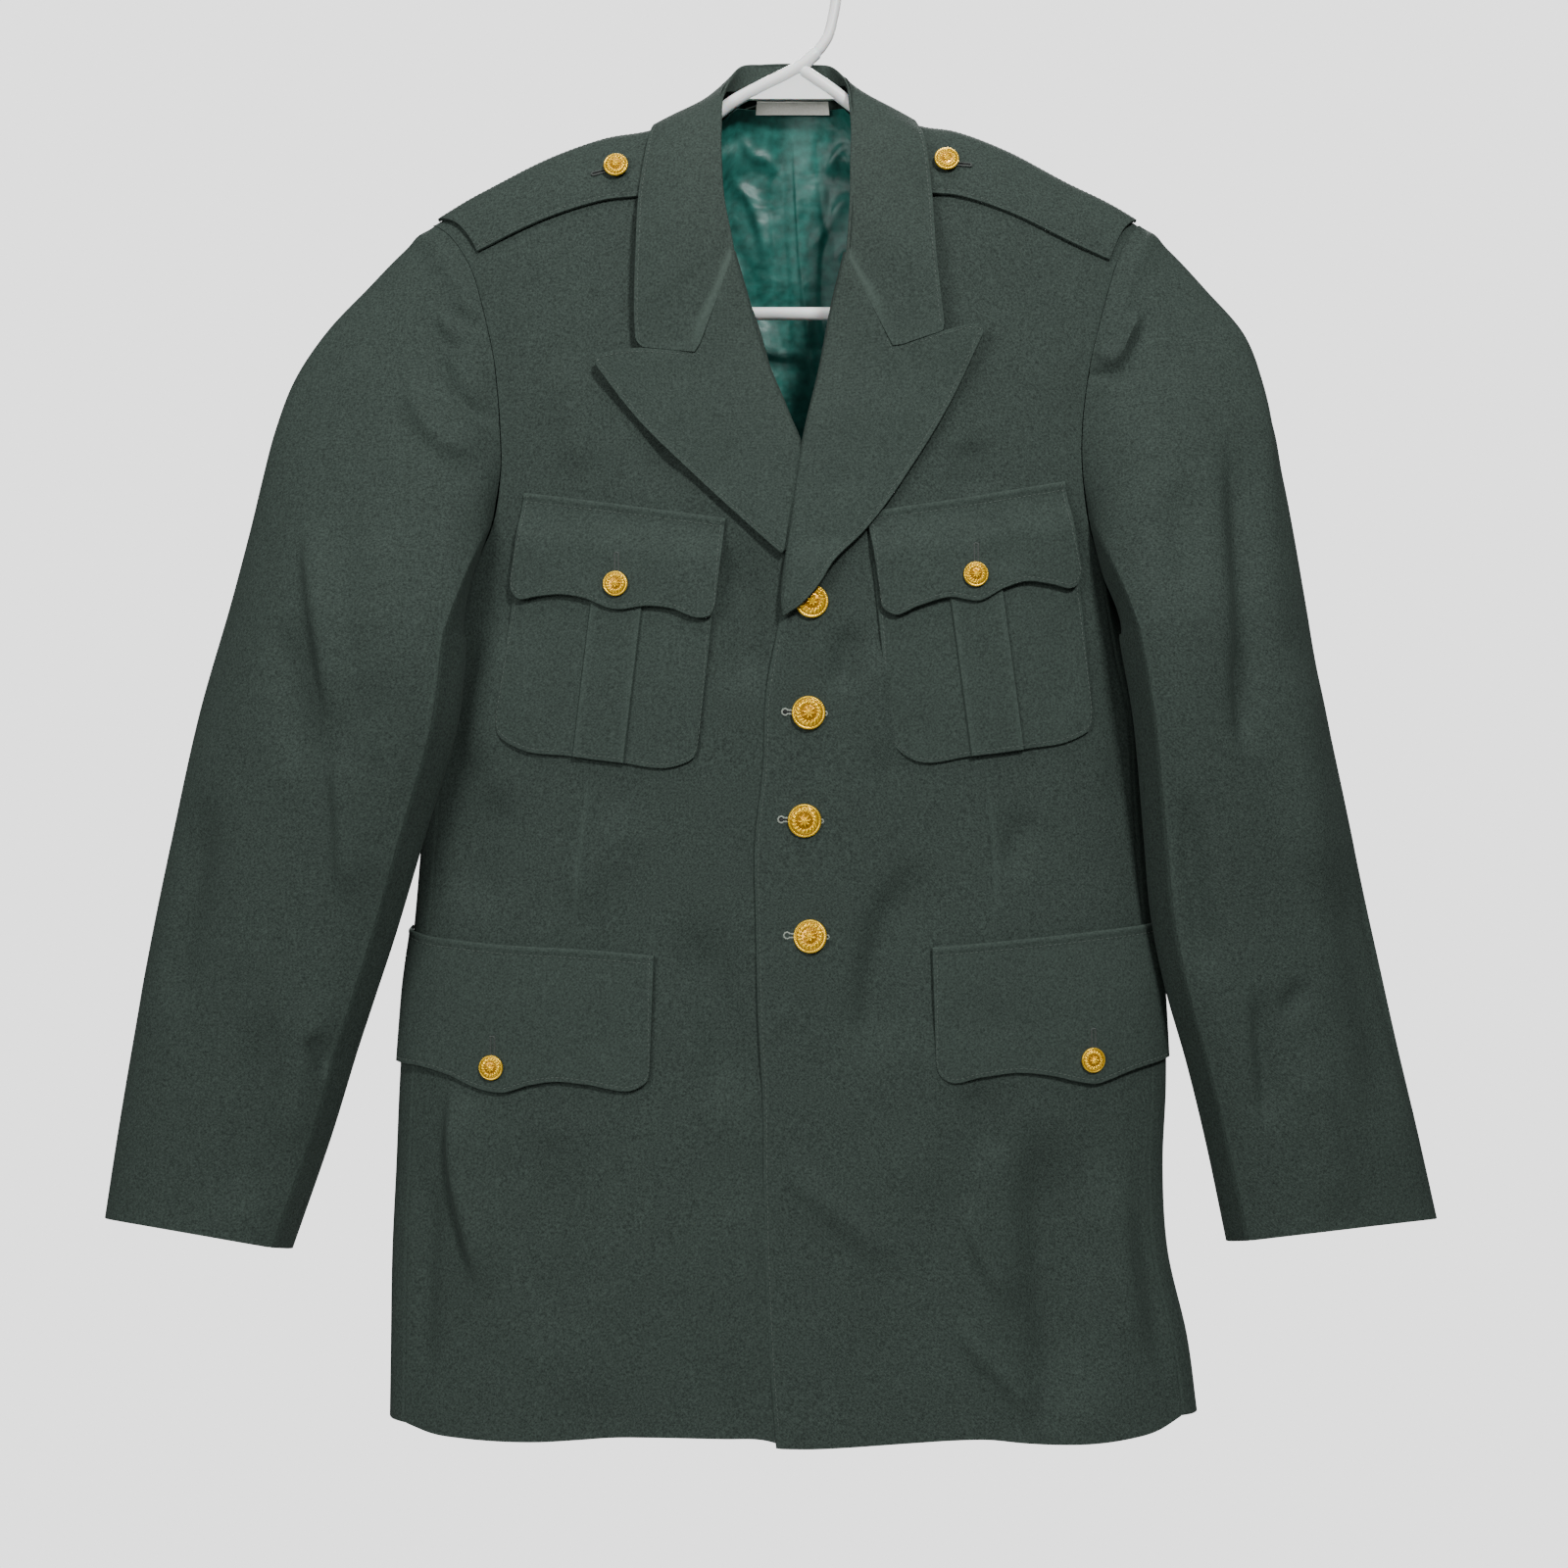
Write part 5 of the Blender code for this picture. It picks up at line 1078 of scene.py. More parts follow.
def round_corner(grid, row, column, radius):
    """Draws one corner of a grid of cloth in to a round of this radius."""
    turned = grid[::1 if row == 0 else -1, ::1 if column == 0 else -1]
    aside, down = lengths_along(turned, 1), lengths_along(turned, 0)
    u, v = np.clip(1 - aside / radius, 0, 1), np.clip(1 - down / radius, 0, 1)
    inward = u * (1 - np.sqrt(1 - v * v / 2)) * radius
    inward_down = v * (1 - np.sqrt(1 - u * u / 2)) * radius
    turned += unit(np.gradient(turned, axis=1)) * inward[..., None] \
        + unit(np.gradient(turned, axis=0)) * inward_down[..., None]


def seam_sink(distances, depth=0.5, reach=2.6):
    """How far cloth sinks beside a pressed seam."""
    near = np.minimum.reduce(distances)
    return -depth * (1 - smoothstep(0, reach, near))


def stitch_sink(near, inset_mm, depth=0.14):
    """The groove of an edge stitch."""
    return -depth * hump(near - inset_mm, 0.7)


def smooth_mesh(name, verts, faces, outward=False):
    """A smooth mesh from vertices in millimetres, its faces turned outward where asked."""
    mesh = bpy.data.meshes.new(name)
    mesh.from_pydata((verts * MM).tolist(), [], faces)
    if outward:
        shell = bmesh.new()
        shell.from_mesh(mesh)
        bmesh.ops.recalc_face_normals(shell, faces=shell.faces)
        shell.to_mesh(mesh)
        shell.free()
    mesh.shade_smooth()
    return mesh


def point_values(mesh, name, values):
    """A number for each vertex, which a material reads by name."""
    mesh.attributes.new(name, "FLOAT", "POINT").data.foreach_set("value", values)


def place(name, mesh, material_name):
    """An object for a mesh, riding on the coat, in its material."""
    mesh.materials.append(finish_material(material_name))
    piece = bpy.data.objects.new(name, mesh)
    bpy.context.scene.collection.objects.link(piece)
    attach(piece, "root")
    return piece


EDGE_LIGHT, EDGE_REACH = 0.08, 2.0  # painted highlight: an edge is painted lighter by this, over this much


def edge_light(near):
    """Painted highlight: how much lighter cloth is painted this near its pressed edge."""
    return EDGE_LIGHT * hump(near, EDGE_REACH)


EDGE_ANGLE = math.radians(55)   # faces that meet more steeply than this show a crisp edge


def cloth(name, grid, normals, thickness, material_name, low=None, light=None,
          each=False):
    """A thin closed wall of cloth on a grid of points, with rounded edges.

    low is the height of its inner face above the grid, light an array of painted highlight, how
    much lighter its colour is painted; each lays the weave out along every column by itself.
    """
    low = np.zeros(grid.shape[:2]) + (-thickness if low is None else low)
    outer = grid + normals * (low + thickness)[..., None]
    inner = grid + normals * low[..., None]
    rows, columns = grid.shape[:2]
    count = rows * columns
    number = np.arange(count).reshape(rows, columns)
    quads = np.stack([number[:-1, :-1], number[:-1, 1:], number[1:, 1:], number[1:, :-1]],
                     axis=-1).reshape(-1, 4)
    way = np.zeros_like(grid)
    way[0] += unit(grid[0] - grid[1])
    way[-1] += unit(grid[-1] - grid[-2])
    way[:, 0] += unit(grid[:, 0] - grid[:, 1])
    way[:, -1] += unit(grid[:, -1] - grid[:, -2])
    rim = np.concatenate([number[0, :-1], number[:-1, -1], number[-1, :0:-1], number[:0:-1, 0]])
    edge = ((outer + inner) / 2 + unit(way) * 0.25 * thickness).reshape(-1, 3)[rim]
    after = np.roll(np.arange(len(rim)), -1)
    middle = 2 * count + np.arange(len(rim))
    faces = np.concatenate([
        quads,
        quads[:, ::-1] + count,
        np.stack([rim[after], rim, middle, middle[after]], axis=1),
        np.stack([middle[after], middle, rim + count, rim[after] + count], axis=1)])
    along, down = np.gradient(grid, axis=1), np.gradient(grid, axis=0)
    if np.sum(np.cross(along, down) * normals) < 0:
        faces = faces[:, ::-1]
    verts = np.concatenate([outer.reshape(-1, 3), inner.reshape(-1, 3), edge])
    mesh = smooth_mesh(name, verts, faces.tolist())
    mesh.set_sharp_from_angle(angle=EDGE_ANGLE)
    u = lengths_along(grid, 1)
    u = (u - u[:, columns // 2:columns // 2 + 1]) * MM
    v = lengths_along(grid, 0) * MM
    if not each:
        v = np.broadcast_to(v[:, columns // 2:columns // 2 + 1], u.shape)
    flat = np.stack([u, v], axis=-1).reshape(-1, 2)
    flat = np.concatenate([flat, flat, flat[rim]])
    loops = np.zeros(len(mesh.loops), int)
    mesh.loops.foreach_get("vertex_index", loops)
    mesh.uv_layers.new(name="Cut").data.foreach_set("uv", flat[loops].ravel())
    # painted highlight on the outer face and the rim, none on the inner face
    bright = np.zeros(count) if light is None else np.asarray(light, float).ravel()
    point_values(mesh, "pressed", np.concatenate([bright, np.zeros(count), bright[rim]]))
    return place(name, mesh, material_name)


def stitch_line(points, normals, gap=3.1, length=2.1, thick=0.42):
    """Vertices and faces of a run of stitches lying on a line of points."""
    along = run_lengths(points)
    count = max(1, int(along[-1] / gap))
    middle = (np.arange(count) + 0.5) * along[-1] / count
    at, before, beyond = (read_at(middle + way * length / 2, along, points) for way in (0, -1, 1))
    way, up = unit(beyond - before), unit(read_at(middle, along, normals))
    cross = unit(np.cross(up, way))
    verts, faces = [], []
    profile = [(-0.5, 0.15), (-0.3, 0.9), (0.0, 1.0), (0.3, 0.9), (0.5, 0.15)]
    for share, girth_share in profile:
        for turn in (20, 90, 160, 270):
            out, rise = math.cos(math.radians(turn)), math.sin(math.radians(turn))
            verts.append(at + way * share * length
                         + (cross * out + up * (rise + 0.1)) * girth_share * thick / 2)
    verts = np.stack(verts, axis=1)
    for ring in range(len(profile) - 1):
        for k in range(4):
            a, b = 4 * ring + k, 4 * ring + (k + 1) % 4
            faces.append((a, b, b + 4, a + 4))
    faces += [(3, 2, 1, 0), (16, 17, 18, 19)]
    faces = np.array(faces)[None] + (np.arange(count) * 20)[:, None, None]
    return verts.reshape(-1, 3), faces.reshape(-1, 4)


def stitching(name, lines, material_name="stitch_thread", **sizes):
    """One piece of thread from several runs of stitches."""
    verts, faces, total = [], [], 0
    for points, normals in lines:
        made, woven = stitch_line(points, normals, **sizes)
        verts.append(made)
        faces.append(woven + total)
        total += len(made)
    mesh = smooth_mesh(name, np.concatenate(verts), np.concatenate(faces).tolist())
    return place(name, mesh, material_name)


def inner_line(grid, normals, height, inset_mm, side):
    """A line a few millimetres in from one side of a grid: first, last, top or foot."""
    if side in ("first", "last"):
        grid, normals, height = grid.transpose(1, 0, 2), normals.transpose(1, 0, 2), height.T
    if side in ("last", "foot"):
        grid, normals, height = grid[::-1], normals[::-1], height[::-1]
    down = lengths_along(grid, 0)
    whole = np.concatenate([grid, normals, height[..., None]], axis=2)
    made = np.array([read_at(inset_mm, down[:, k], whole[:, k])
                     for k in range(1, grid.shape[1] - 1)])
    ways = unit(made[:, 3:6])
    return made[:, :3] + ways * made[:, 6:7], ways


# ---------------------------------------------------------------- materials
def linear(hex_colour):
    """A hex sRGB colour as linear red, green, blue and alpha."""
    parts = [int(hex_colour[k:k + 2], 16) / 255 for k in (1, 3, 5)]
    return [p / 12.92 if p <= 0.04045 else ((p + 0.055) / 1.055) ** 2.4 for p in parts] + [1.0]


NOISE, WAVE, RAMP = "ShaderNodeTexNoise", "ShaderNodeTexWave", "ShaderNodeValToRGB"
MIX, MATH, NAMED = "ShaderNodeMix", "ShaderNodeMath", "ShaderNodeAttribute"


def add_node(made, kind, values=None):
    """Adds a node to a material, or takes the one that it has by that name.

    A value is a setting of the node, the stops of its colour ramp, the constant of a socket or,
    as (node, output), what is linked into the socket.
    """
    nodes = made.node_tree.nodes
    node = nodes.get(kind) or nodes.new(kind)
    for key, value in (values or {}).items():
        if isinstance(value, tuple) and isinstance(value[0], bpy.types.Node):
            made.node_tree.links.new(value[0].outputs[value[1]], node.inputs[key])
        elif key == "stops":
            for band, (at, colour) in zip(node.color_ramp.elements, value):
                band.position, band.color = at, colour
        elif isinstance(key, str) and key in node.bl_rna.properties:
            setattr(node, key, value)
        else:
            node.inputs[key].default_value = value
    return node


def grey(value):
    """A grey as a colour."""
    return (value, value, value, 1)


def darker(colour, share):
    """A colour at a share of its brightness."""
    return [share * part for part in colour[:3]] + [1.0]


def finish_shader(made, values, height=None, distance=0.0002, strength=1.0):
    """The material's shader, with a bump from a height node."""
    if height:
        bump = add_node(made, "ShaderNodeBump", {"Distance": distance, "Strength": strength,
                                                 "Height": height})
        values["Normal"] = (bump, 0)
    add_node(made, "Principled BSDF", values)


def wool_serge(made, colours):
    """Wool serge, woven, dyed in the fleece and pressed: matt, with a fine heather of lighter
    fibres, a faint twill and a soft bloom at grazing angles; edges, seams and ridges are painted
    a little lighter, a painted highlight where they would catch the light."""
    cut = (add_node(made, "ShaderNodeUVMap", {"uv_map": "Cut"}), 0)
    place_on = (add_node(made, "ShaderNodeTexCoord"), "Object")
    # fibres are 0.03 mm; the heather is drawn at 1.3 mm so that it shows
    fibres = add_node(made, NOISE, {"Scale": 760.0, "Detail": 3.0, "Roughness": 0.7,
                                    "Vector": place_on})
    # twill lines 0.7 mm apart in the cloth, drawn 1.5 mm apart
    twill = add_node(made, WAVE, {"bands_direction": "DIAGONAL", "Scale": 300.0, "Distortion": 2.5,
                                  "Detail": 2.0, "Detail Scale": 1.5, "Vector": cut})
    cloud = add_node(made, NOISE, {"Scale": 22.0, "Detail": 4.0, "Roughness": 0.6,
                                   "Vector": place_on})
    heather = add_node(made, RAMP, {0: (fibres, 0), "stops": [(0.28, colours.wool_dark),
                                                              (0.74, colours.wool_light)]})
    shade = add_node(made, RAMP, {0: (cloud, 0), "stops": [(0.3, grey(0.95)), (0.7, grey(1.05))]})
    multiply = {"data_type": "RGBA", "blend_type": "MULTIPLY", 0: 1.0}
    base = add_node(made, MIX, {**multiply, 6: (heather, 0), 7: (shade, 0)})
    lines = add_node(made, RAMP, {0: (twill, 1), "stops": [(0.2, grey(0.97)), (0.8, grey(1.03))]})
    woven = add_node(made, MIX, {**multiply, 6: (base, 2), 7: (lines, 0)})
    # painted highlight: the attribute mixes in the lighter wool along edges, seams and ridges
    pressed = add_node(made, NAMED, {"attribute_name": "pressed"})
    colour = add_node(made, MIX, {"data_type": "RGBA", 0: (pressed, 2), 6: (woven, 2),
                                  7: colours.wool_pressed})
    rough = add_node(made, MATH, {"operation": "MULTIPLY_ADD", 0: (fibres, 0), 1: 0.3, 2: 0.0})
    relief = add_node(made, MATH, {"operation": "MULTIPLY_ADD", 0: (twill, 1), 1: 0.15,
                                   2: (rough, 0)})
    finish_shader(made, {"Base Color": (colour, 2), "Roughness": 0.88, "Specular IOR Level": 0.25,
                         "Sheen Weight": 0.22, "Sheen Roughness": 0.45,
                         "Sheen Tint": colours.wool_light}, (relief, 0), 0.00035, 0.8)


def satin_lining(made, colours):
    """Acetate satin, woven with long floats: smooth and shining, with a painted sheen:
    its colour is mixed lighter in soft patches where rumples would catch the light.
    """
    cut = (add_node(made, "ShaderNodeUVMap", {"uv_map": "Cut"}), 0)
    floats = add_node(made, NOISE, {"Scale": 160.0, "Detail": 3.0, "Vector": cut})
    colour = add_node(made, RAMP, {0: (floats, 0), "stops": [(0.3, colours.satin_dark),
                                                             (0.7, colours.satin)]})
    # warp threads 0.1 mm apart, drawn 0.26 mm apart
    warp = add_node(made, WAVE, {"bands_direction": "X", "Scale": 1200.0, "Distortion": 1.0,
                                 "Vector": cut})
    # soft rumples 35 mm across: a bump beside the larger folds, and a painted sheen
    # where they would catch the light
    rumples = add_node(made, NOISE, {"Scale": 28.0, "Detail": 3.0, "Roughness": 0.45,
                                     "Distortion": 0.3, "Vector": cut})
    # painted sheen: lighter satin colour mixed in on the rumples
    painted_sheen_share = add_node(made, RAMP, {0: (rumples, 0), "stops": [(0.5, grey(0)), (0.75, grey(0.2))]})
    painted_sheen = add_node(made, MIX, {"data_type": "RGBA", 0: (painted_sheen_share, 0), 6: (colour, 0),
                                7: colours.satin_sheen})
    relief = add_node(made, MATH, {"operation": "MULTIPLY_ADD", 0: (warp, 1), 1: 0.008,
                                   2: (rumples, 0)})
    finish_shader(made, {"Base Color": (painted_sheen, 2), "Roughness": 0.38, "Anisotropic": 0.4,
                         "Specular IOR Level": 0.5, "Sheen Weight": 0.3, "Sheen Roughness": 0.35,
                         "Sheen Tint": colours.satin_sheen}, (relief, 0), 0.008, 0.4)


def woven_tape(made, colours):
    """Cotton tape, plain woven: matt cream, a little uneven."""
    cut = (add_node(made, "ShaderNodeUVMap", {"uv_map": "Cut"}), 0)
    yarn = add_node(made, NOISE, {"Scale": 700.0, "Detail": 2.0, "Vector": cut})
    colour = add_node(made, RAMP, {0: (yarn, 0), "stops": [(0.3, colours.tape_dark),
                                                           (0.7, colours.tape)]})
    finish_shader(made, {"Base Color": (colour, 0), "Roughness": 0.8, "Specular IOR Level": 0.3},
                  (yarn, 0), 0.0002)


def gilt_brass(made, colours):
    """Stamped brass, gilded and burnished: bright gold, with painted shade darker and browner
    in the hollows.
    """
    # painted shade: the attribute darkens the gilt in the hollows
    hollow = add_node(made, NAMED, {"attribute_name": "hollow"})
    place_on = (add_node(made, "ShaderNodeTexCoord"), "Object")
    grain = add_node(made, NOISE, {"Scale": 900.0, "Detail": 4.0, "Vector": place_on})
    colour = add_node(made, MIX, {"data_type": "RGBA", 0: (hollow, 2), 6: colours.gilt,
                                  7: colours.gilt_dark})
    finish_shader(made, {"Base Color": (colour, 2), "Metallic": 0.6, "Roughness": 0.25},
                  (grain, 0), 0.00005, 0.5)


def polypropylene(made, colours):
    """Polypropylene, injection moulded: white, slightly milky, with a soft gloss."""
    place_on = (add_node(made, "ShaderNodeTexCoord"), "Object")
    flow = add_node(made, NOISE, {"Scale": 60.0, "Detail": 2.0, "Vector": place_on})
    colour = add_node(made, RAMP, {0: (flow, 0), "stops": [(0.3, colours.plastic_dark),
                                                           (0.7, colours.plastic)]})
    finish_shader(made, {"Base Color": (colour, 0), "Roughness": 0.32, "IOR": 1.49,
                         "Subsurface Weight": 0.15, "Subsurface Scale": 0.004},
                  (flow, 0), 0.0003, 0.3)


def sewing_thread(colour_name):
    """Polyester thread, spun and dyed: a soft sheen, its twist shown as fine bands."""
    def build(made, colours):
        tone = getattr(colours, colour_name)
        place_on = (add_node(made, "ShaderNodeTexCoord"), "Object")
        twist = add_node(made, NOISE, {"Scale": 1500.0, "Detail": 2.0, "Vector": place_on})
        colour = add_node(made, RAMP, {0: (twist, 0), "stops": [(0.3, darker(tone, 0.6)),
                                                                (0.65, tone)]})
        finish_shader(made, {"Base Color": (colour, 0), "Roughness": 0.6, "Sheen Weight": 0.2},
                      (twist, 0), 0.0001)
    return build


def studio_floor(made, colours):
    """Painted board, rolled matt: pale and even."""
    place_on = (add_node(made, "ShaderNodeTexCoord"), "Object")
    paint = add_node(made, NOISE, {"Scale": 8.0, "Vector": place_on})
    colour = add_node(made, RAMP, {0: (paint, 0), "stops": [(0.3, darker(colours.floor, 0.97)),
                                                            (0.7, colours.floor)]})
    finish_shader(made, {"Base Color": (colour, 0), "Roughness": 0.9})


FINISHES = {
    "wool_serge": wool_serge,
    "satin_lining": satin_lining,
    "woven_tape": woven_tape,
    "gilt_brass": gilt_brass,
    "polypropylene": polypropylene,
    "stitch_thread": sewing_thread("stitch"),
    "buttonhole_thread": sewing_thread("buttonhole"),
    "dark_buttonhole_thread": sewing_thread("dark_buttonhole"),
    # painted shadow: the thread finish in near black, for the sheet inside each slit
    "dark_thread": sewing_thread("slit_shadow"),
    "studio_floor": studio_floor,
}


def finish_material(name):
    """A finish by name, made the first time it is asked for."""
    found = bpy.data.materials.get(name)
    if found:
        return found
    made = bpy.data.materials.new(name)
    made.use_nodes = True
    FINISHES[name](made, bpy.context.scene.tunic_colours)
    return made


# ---------------------------------------------------------------- wool pieces
# stem, finer rows and columns to a cell, seed of the waves, painted highlight beside the
# pressed seam, flat size, area in m2, what it hangs on
PANELS = (("front", 8, 11, 3, 0.08, (0.30, 0.90), 0.20, "hanger_arm"),
          ("back", 6, 8, 7, 0.08, (0.25, 0.90), 0.195, "hanger_arm"),
          ("side", 8, 7, 11, 0.12, (0.10, 0.56), 0.04, "front_wool"))
SEAM_FADE = 22          # creases and waves die out over this much beside a seam
DART = (1.3, -0.4)      # width and depth of the darts' seam
EDGE_ROLL = (-1.2, 2.2)  # how far the fronts' edges roll back, and over how much
FRONT_STITCHES = (-960, -470)  # heights between which the left edge's stitching shows


def make_body():
    """Fronts, side bodies and backs, on the coat's form."""
    for side in (LEFT, RIGHT):
        for stem, down, aside, seed, pressed, flat, area, held_by in PANELS:
            coarse = {"front": front_grid, "back": back_grid, "side": side_grid}[stem](side)
            grid = refine(coarse, fine_lines(len(coarse), down), fine_lines(coarse.shape[1], aside))
            normals = body_normals(grid, {"front": False, "back": True}.get(stem, grid[..., 1] > 0))
            if stem == "back":
                normals[:, 0, 0] = 0.0
                normals = unit(normals)
            first, last, _, top = edge_distances(grid)
            sewn = [last, top] if stem == "front" else [first, last, top]
            away = np.minimum(first, last) if stem == "side" else last
            creases = {"front": FRONT_CREASES, "back": BACK_CREASES}.get(stem, {}).get(side, [])
            lifted = with_creases(grid, normals, creases, waves=size("waves"), seed=seed + side,
                                  fade=smoothstep(0, SEAM_FADE, away))
            rise = seam_sink(sewn)
            # painted highlight beside the pressed seams
            light = pressed * hump(first - 1.5, 1.5)
            if stem == "front":
                dart = crease_height(grid[..., 0], grid[..., 2], (DARTS[side], *DART, 0.0))
                roll, reach = EDGE_ROLL
                rise = rise + dart + (roll * hump(first, reach)
                                      * smoothstep(-250, -330, grid[..., 2]))
                # painted highlight along the front's edge, beside its pressed seam and along the
                # dart
                light = 0.12 * hump(first, 2.5) + pressed * hump(last - 1.5, 1.5)
                light = light + 0.2 * np.clip(-dart, 0, 1)
            lifted = lifted + normals * rise[..., None]
            drawn = inset(lifted, start=0.0 if stem == "front" else HALF_SEAM, end=HALF_SEAM)
            piece = cloth(side_name(stem + "_wool", side), drawn, normals, size("wool"),
                          "wool_serge", light=light)
            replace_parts(piece, side_name(stem, side))
            if stem == "front" and side == LEFT:
                zero = np.zeros(first.shape)
                line, ways = inner_line(lifted, normals, zero, size("stitch_inset"), "first")
                keep = (line[:, 2] > FRONT_STITCHES[0]) & (line[:, 2] < FRONT_STITCHES[1])
                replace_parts(stitching("front_edge_stitching", [(line[keep], ways[keep])]))


# How full a sleeve's head stands: height, distance from the seam, reach
SLEEVE_HEAD = (1.8, 12, 7)


def make_sleeves():
    """Two-piece sleeves with the pulled creases of their heads."""
    full, full_at, reach = SLEEVE_HEAD
    for side in (LEFT, RIGHT):
        whole, whole_normals, forearm, hindarm = sleeve_grid(side)
        count = whole.shape[1] - 1
        over = [k % count for k in range(hindarm, forearm + count + 1)]
        under = list(range(forearm, hindarm + 1))
        for stem, columns, flat, area in (("top_sleeve", over, (0.22, 0.64), 0.11),
                                          ("under_sleeve", under, (0.20, 0.62), 0.106)):
            rows_at, columns_at = fine_lines(len(whole), 10), fine_lines(len(columns), 10)
            grid = refine(whole[:, columns], rows_at, columns_at)
            normals = unit(refine(whole_normals[:, columns], rows_at, columns_at))
            first, last, head, _ = edge_distances(grid)
            lifted = with_creases(grid, normals, SLEEVE_CREASES[side], -1)
            lifted = with_creases(lifted, normals, SLEEVE_BACK_CREASES[side], 1, size("waves"),
                                  15 + side)
            fullness = full * hump(head - full_at, reach) * smoothstep(-330, -240, grid[..., 2])
            lifted = lifted + normals * (seam_sink([first, last]) + fullness)[..., None]
            # painted highlight beside the sleeve seams
            piece = cloth(side_name(stem + "_wool", side),
                          inset(lifted, start=HALF_SEAM, end=HALF_SEAM), normals, size("wool"),
                          "wool_serge", light=0.12 * hump(np.minimum(first, last) - 1.4, 1.3))
            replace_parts(piece, side_name(stem, side))


# ---------------------------------------------------------------- collar and lapels
FALL_SHARES = shares(52, 3.2)
COLLAR_END = 0.52       # the ends' turn at the notch dies out over this much of a station
COLLAR_CORNERS = ((0, 6.5), (-1, 3.0))  # end of the collar and radius of its corner
LAPEL_CORNERS = {RIGHT: 6.0, LEFT: 4.0}  # radius of each peak's corner


def collar_section(neck, fold, edge):
    """Points across the collar: up the stand, round the fold and down the fall."""
    up, out = fold - neck, edge - fold
    rise, reach = np.linalg.norm(up), np.linalg.norm(out)
    bend = min(4.5, 0.45 * rise, 0.3 * reach)
    below, beyond = fold - up / rise * bend, fold + out / reach * bend
    crown = fold + (fold - (below + beyond) / 2) * 0.25
    stand = [neck + (below - neck) * s for s in np.linspace(0, 1, 7)[:-1]]
    turn = [below * (1 - t) ** 2 + 2 * crown * t * (1 - t) + beyond * t * t
            for t in np.linspace(0, 1, 8)]
    fall = [beyond + (edge - beyond) * s for s in FALL_SHARES[1:]]
    return np.array(stand + turn + fall)


def make_collar():
    """The collar in one piece: stand, roll and fall, its ends turned at the notches."""
    last = len(COLLAR) - 1
    at = np.linspace(0, last, 171)
    table = through(np.arange(last + 1), COLLAR, at)
    rows = []
    for place_at, row in zip(at, table):
        fold, edge, neck = row[0:3], row[3:6], row[6:9]
        full = smoothstep(4.0, 6.5, place_at) * (1 - smoothstep(11.5, 14.0, place_at))
        toward = np.array([CENTRE - neck[0], -neck[1], 0.0])
        neck = neck + toward / np.linalg.norm(toward) * (1.0 + 2.6 * full)
        rows.append(collar_section(neck, fold, edge))
    grid = np.array(rows)
    fall_from = grid.shape[1] - len(FALL_SHARES)
    for end, notch, near in ((0, NOTCH_RIGHT, 1 - at / COLLAR_END),
                             (-1, NOTCH_LEFT, 1 - (last - at) / COLLAR_END)):
        corner = grid[end, -1]
        bent = polyline([grid[end, fall_from], (notch[0], NOTCH_Y, notch[1]), corner], 240)
        run = run_lengths(bent) / run_lengths(bent)[-1]
        shift = read_at(FALL_SHARES, run, bent) - grid[end, fall_from:]
        grid[:, fall_from:] += np.clip(near, 0, 1)[:, None, None] * shift[None]
    for end, radius in COLLAR_CORNERS:
        round_corner(grid[:, fall_from:], end, -1, radius)
    normals = grid_normals(grid, (0, 0, 0))
    middle = len(grid) // 2
    if normals[middle, -3, 1] < 0:
        normals = -normals
    spread = np.concatenate([np.zeros(fall_from), FALL_SHARES])
    _, outer, start, finish = edge_distances(grid)
    near = np.minimum.reduce([outer, start, finish])
    away = np.minimum(at, last - at)[:, None]
    swell = through(COLLAR_SWELL[:, 0], COLLAR_SWELL[:, 1], at)[:, None]
    swell = (swell * np.sin(math.pi * spread) * smoothstep(0, 0.9, away)
             + stitch_sink(outer, size("stitch_inset")))
    # the seam allowance under the gorge seam shows as a soft raised band, with a painted highlight
    gorge = (hump(np.minimum(start, finish) - 3.9, 3.6, 4) * (spread > 0)[None]
             * (1 - smoothstep(0.56, 0.66, spread))[None])
    lifted = grid + normals * (swell + 0.2 * gorge)[..., None]
    lifted = with_creases(lifted, normals, [], waves=0.5 * size("waves"), seed=21)
    # painted highlight: the whole collar a little lighter, more at its edges and on the gorge band
    light = edge_light(near) + 0.05 + 0.5 * gorge
    piece = cloth("collar_wool", lifted, normals, size("double_wool"), "wool_serge", light=light,
                  each=True)
    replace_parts(piece, "collar_fall", "collar_stand")
    zero = np.zeros(grid.shape[:2])
    line, ways = inner_line(lifted, normals, zero, size("stitch_inset"), "last")
    thread = stitching("collar_stitching", [(line, ways)])


ROLL_OUT = 1.8          # how far the lapel's roll stands out past the break
ROLL_UNDER = 2.6        # how far inside the front's face the roll ends
GORGE_FACE = {RIGHT: -53.0, LEFT: -53.6}  # depth of the collar's face at its ends
GORGE_FADE = (2, 60)    # the lapel settles on the chest over this much below the gorge


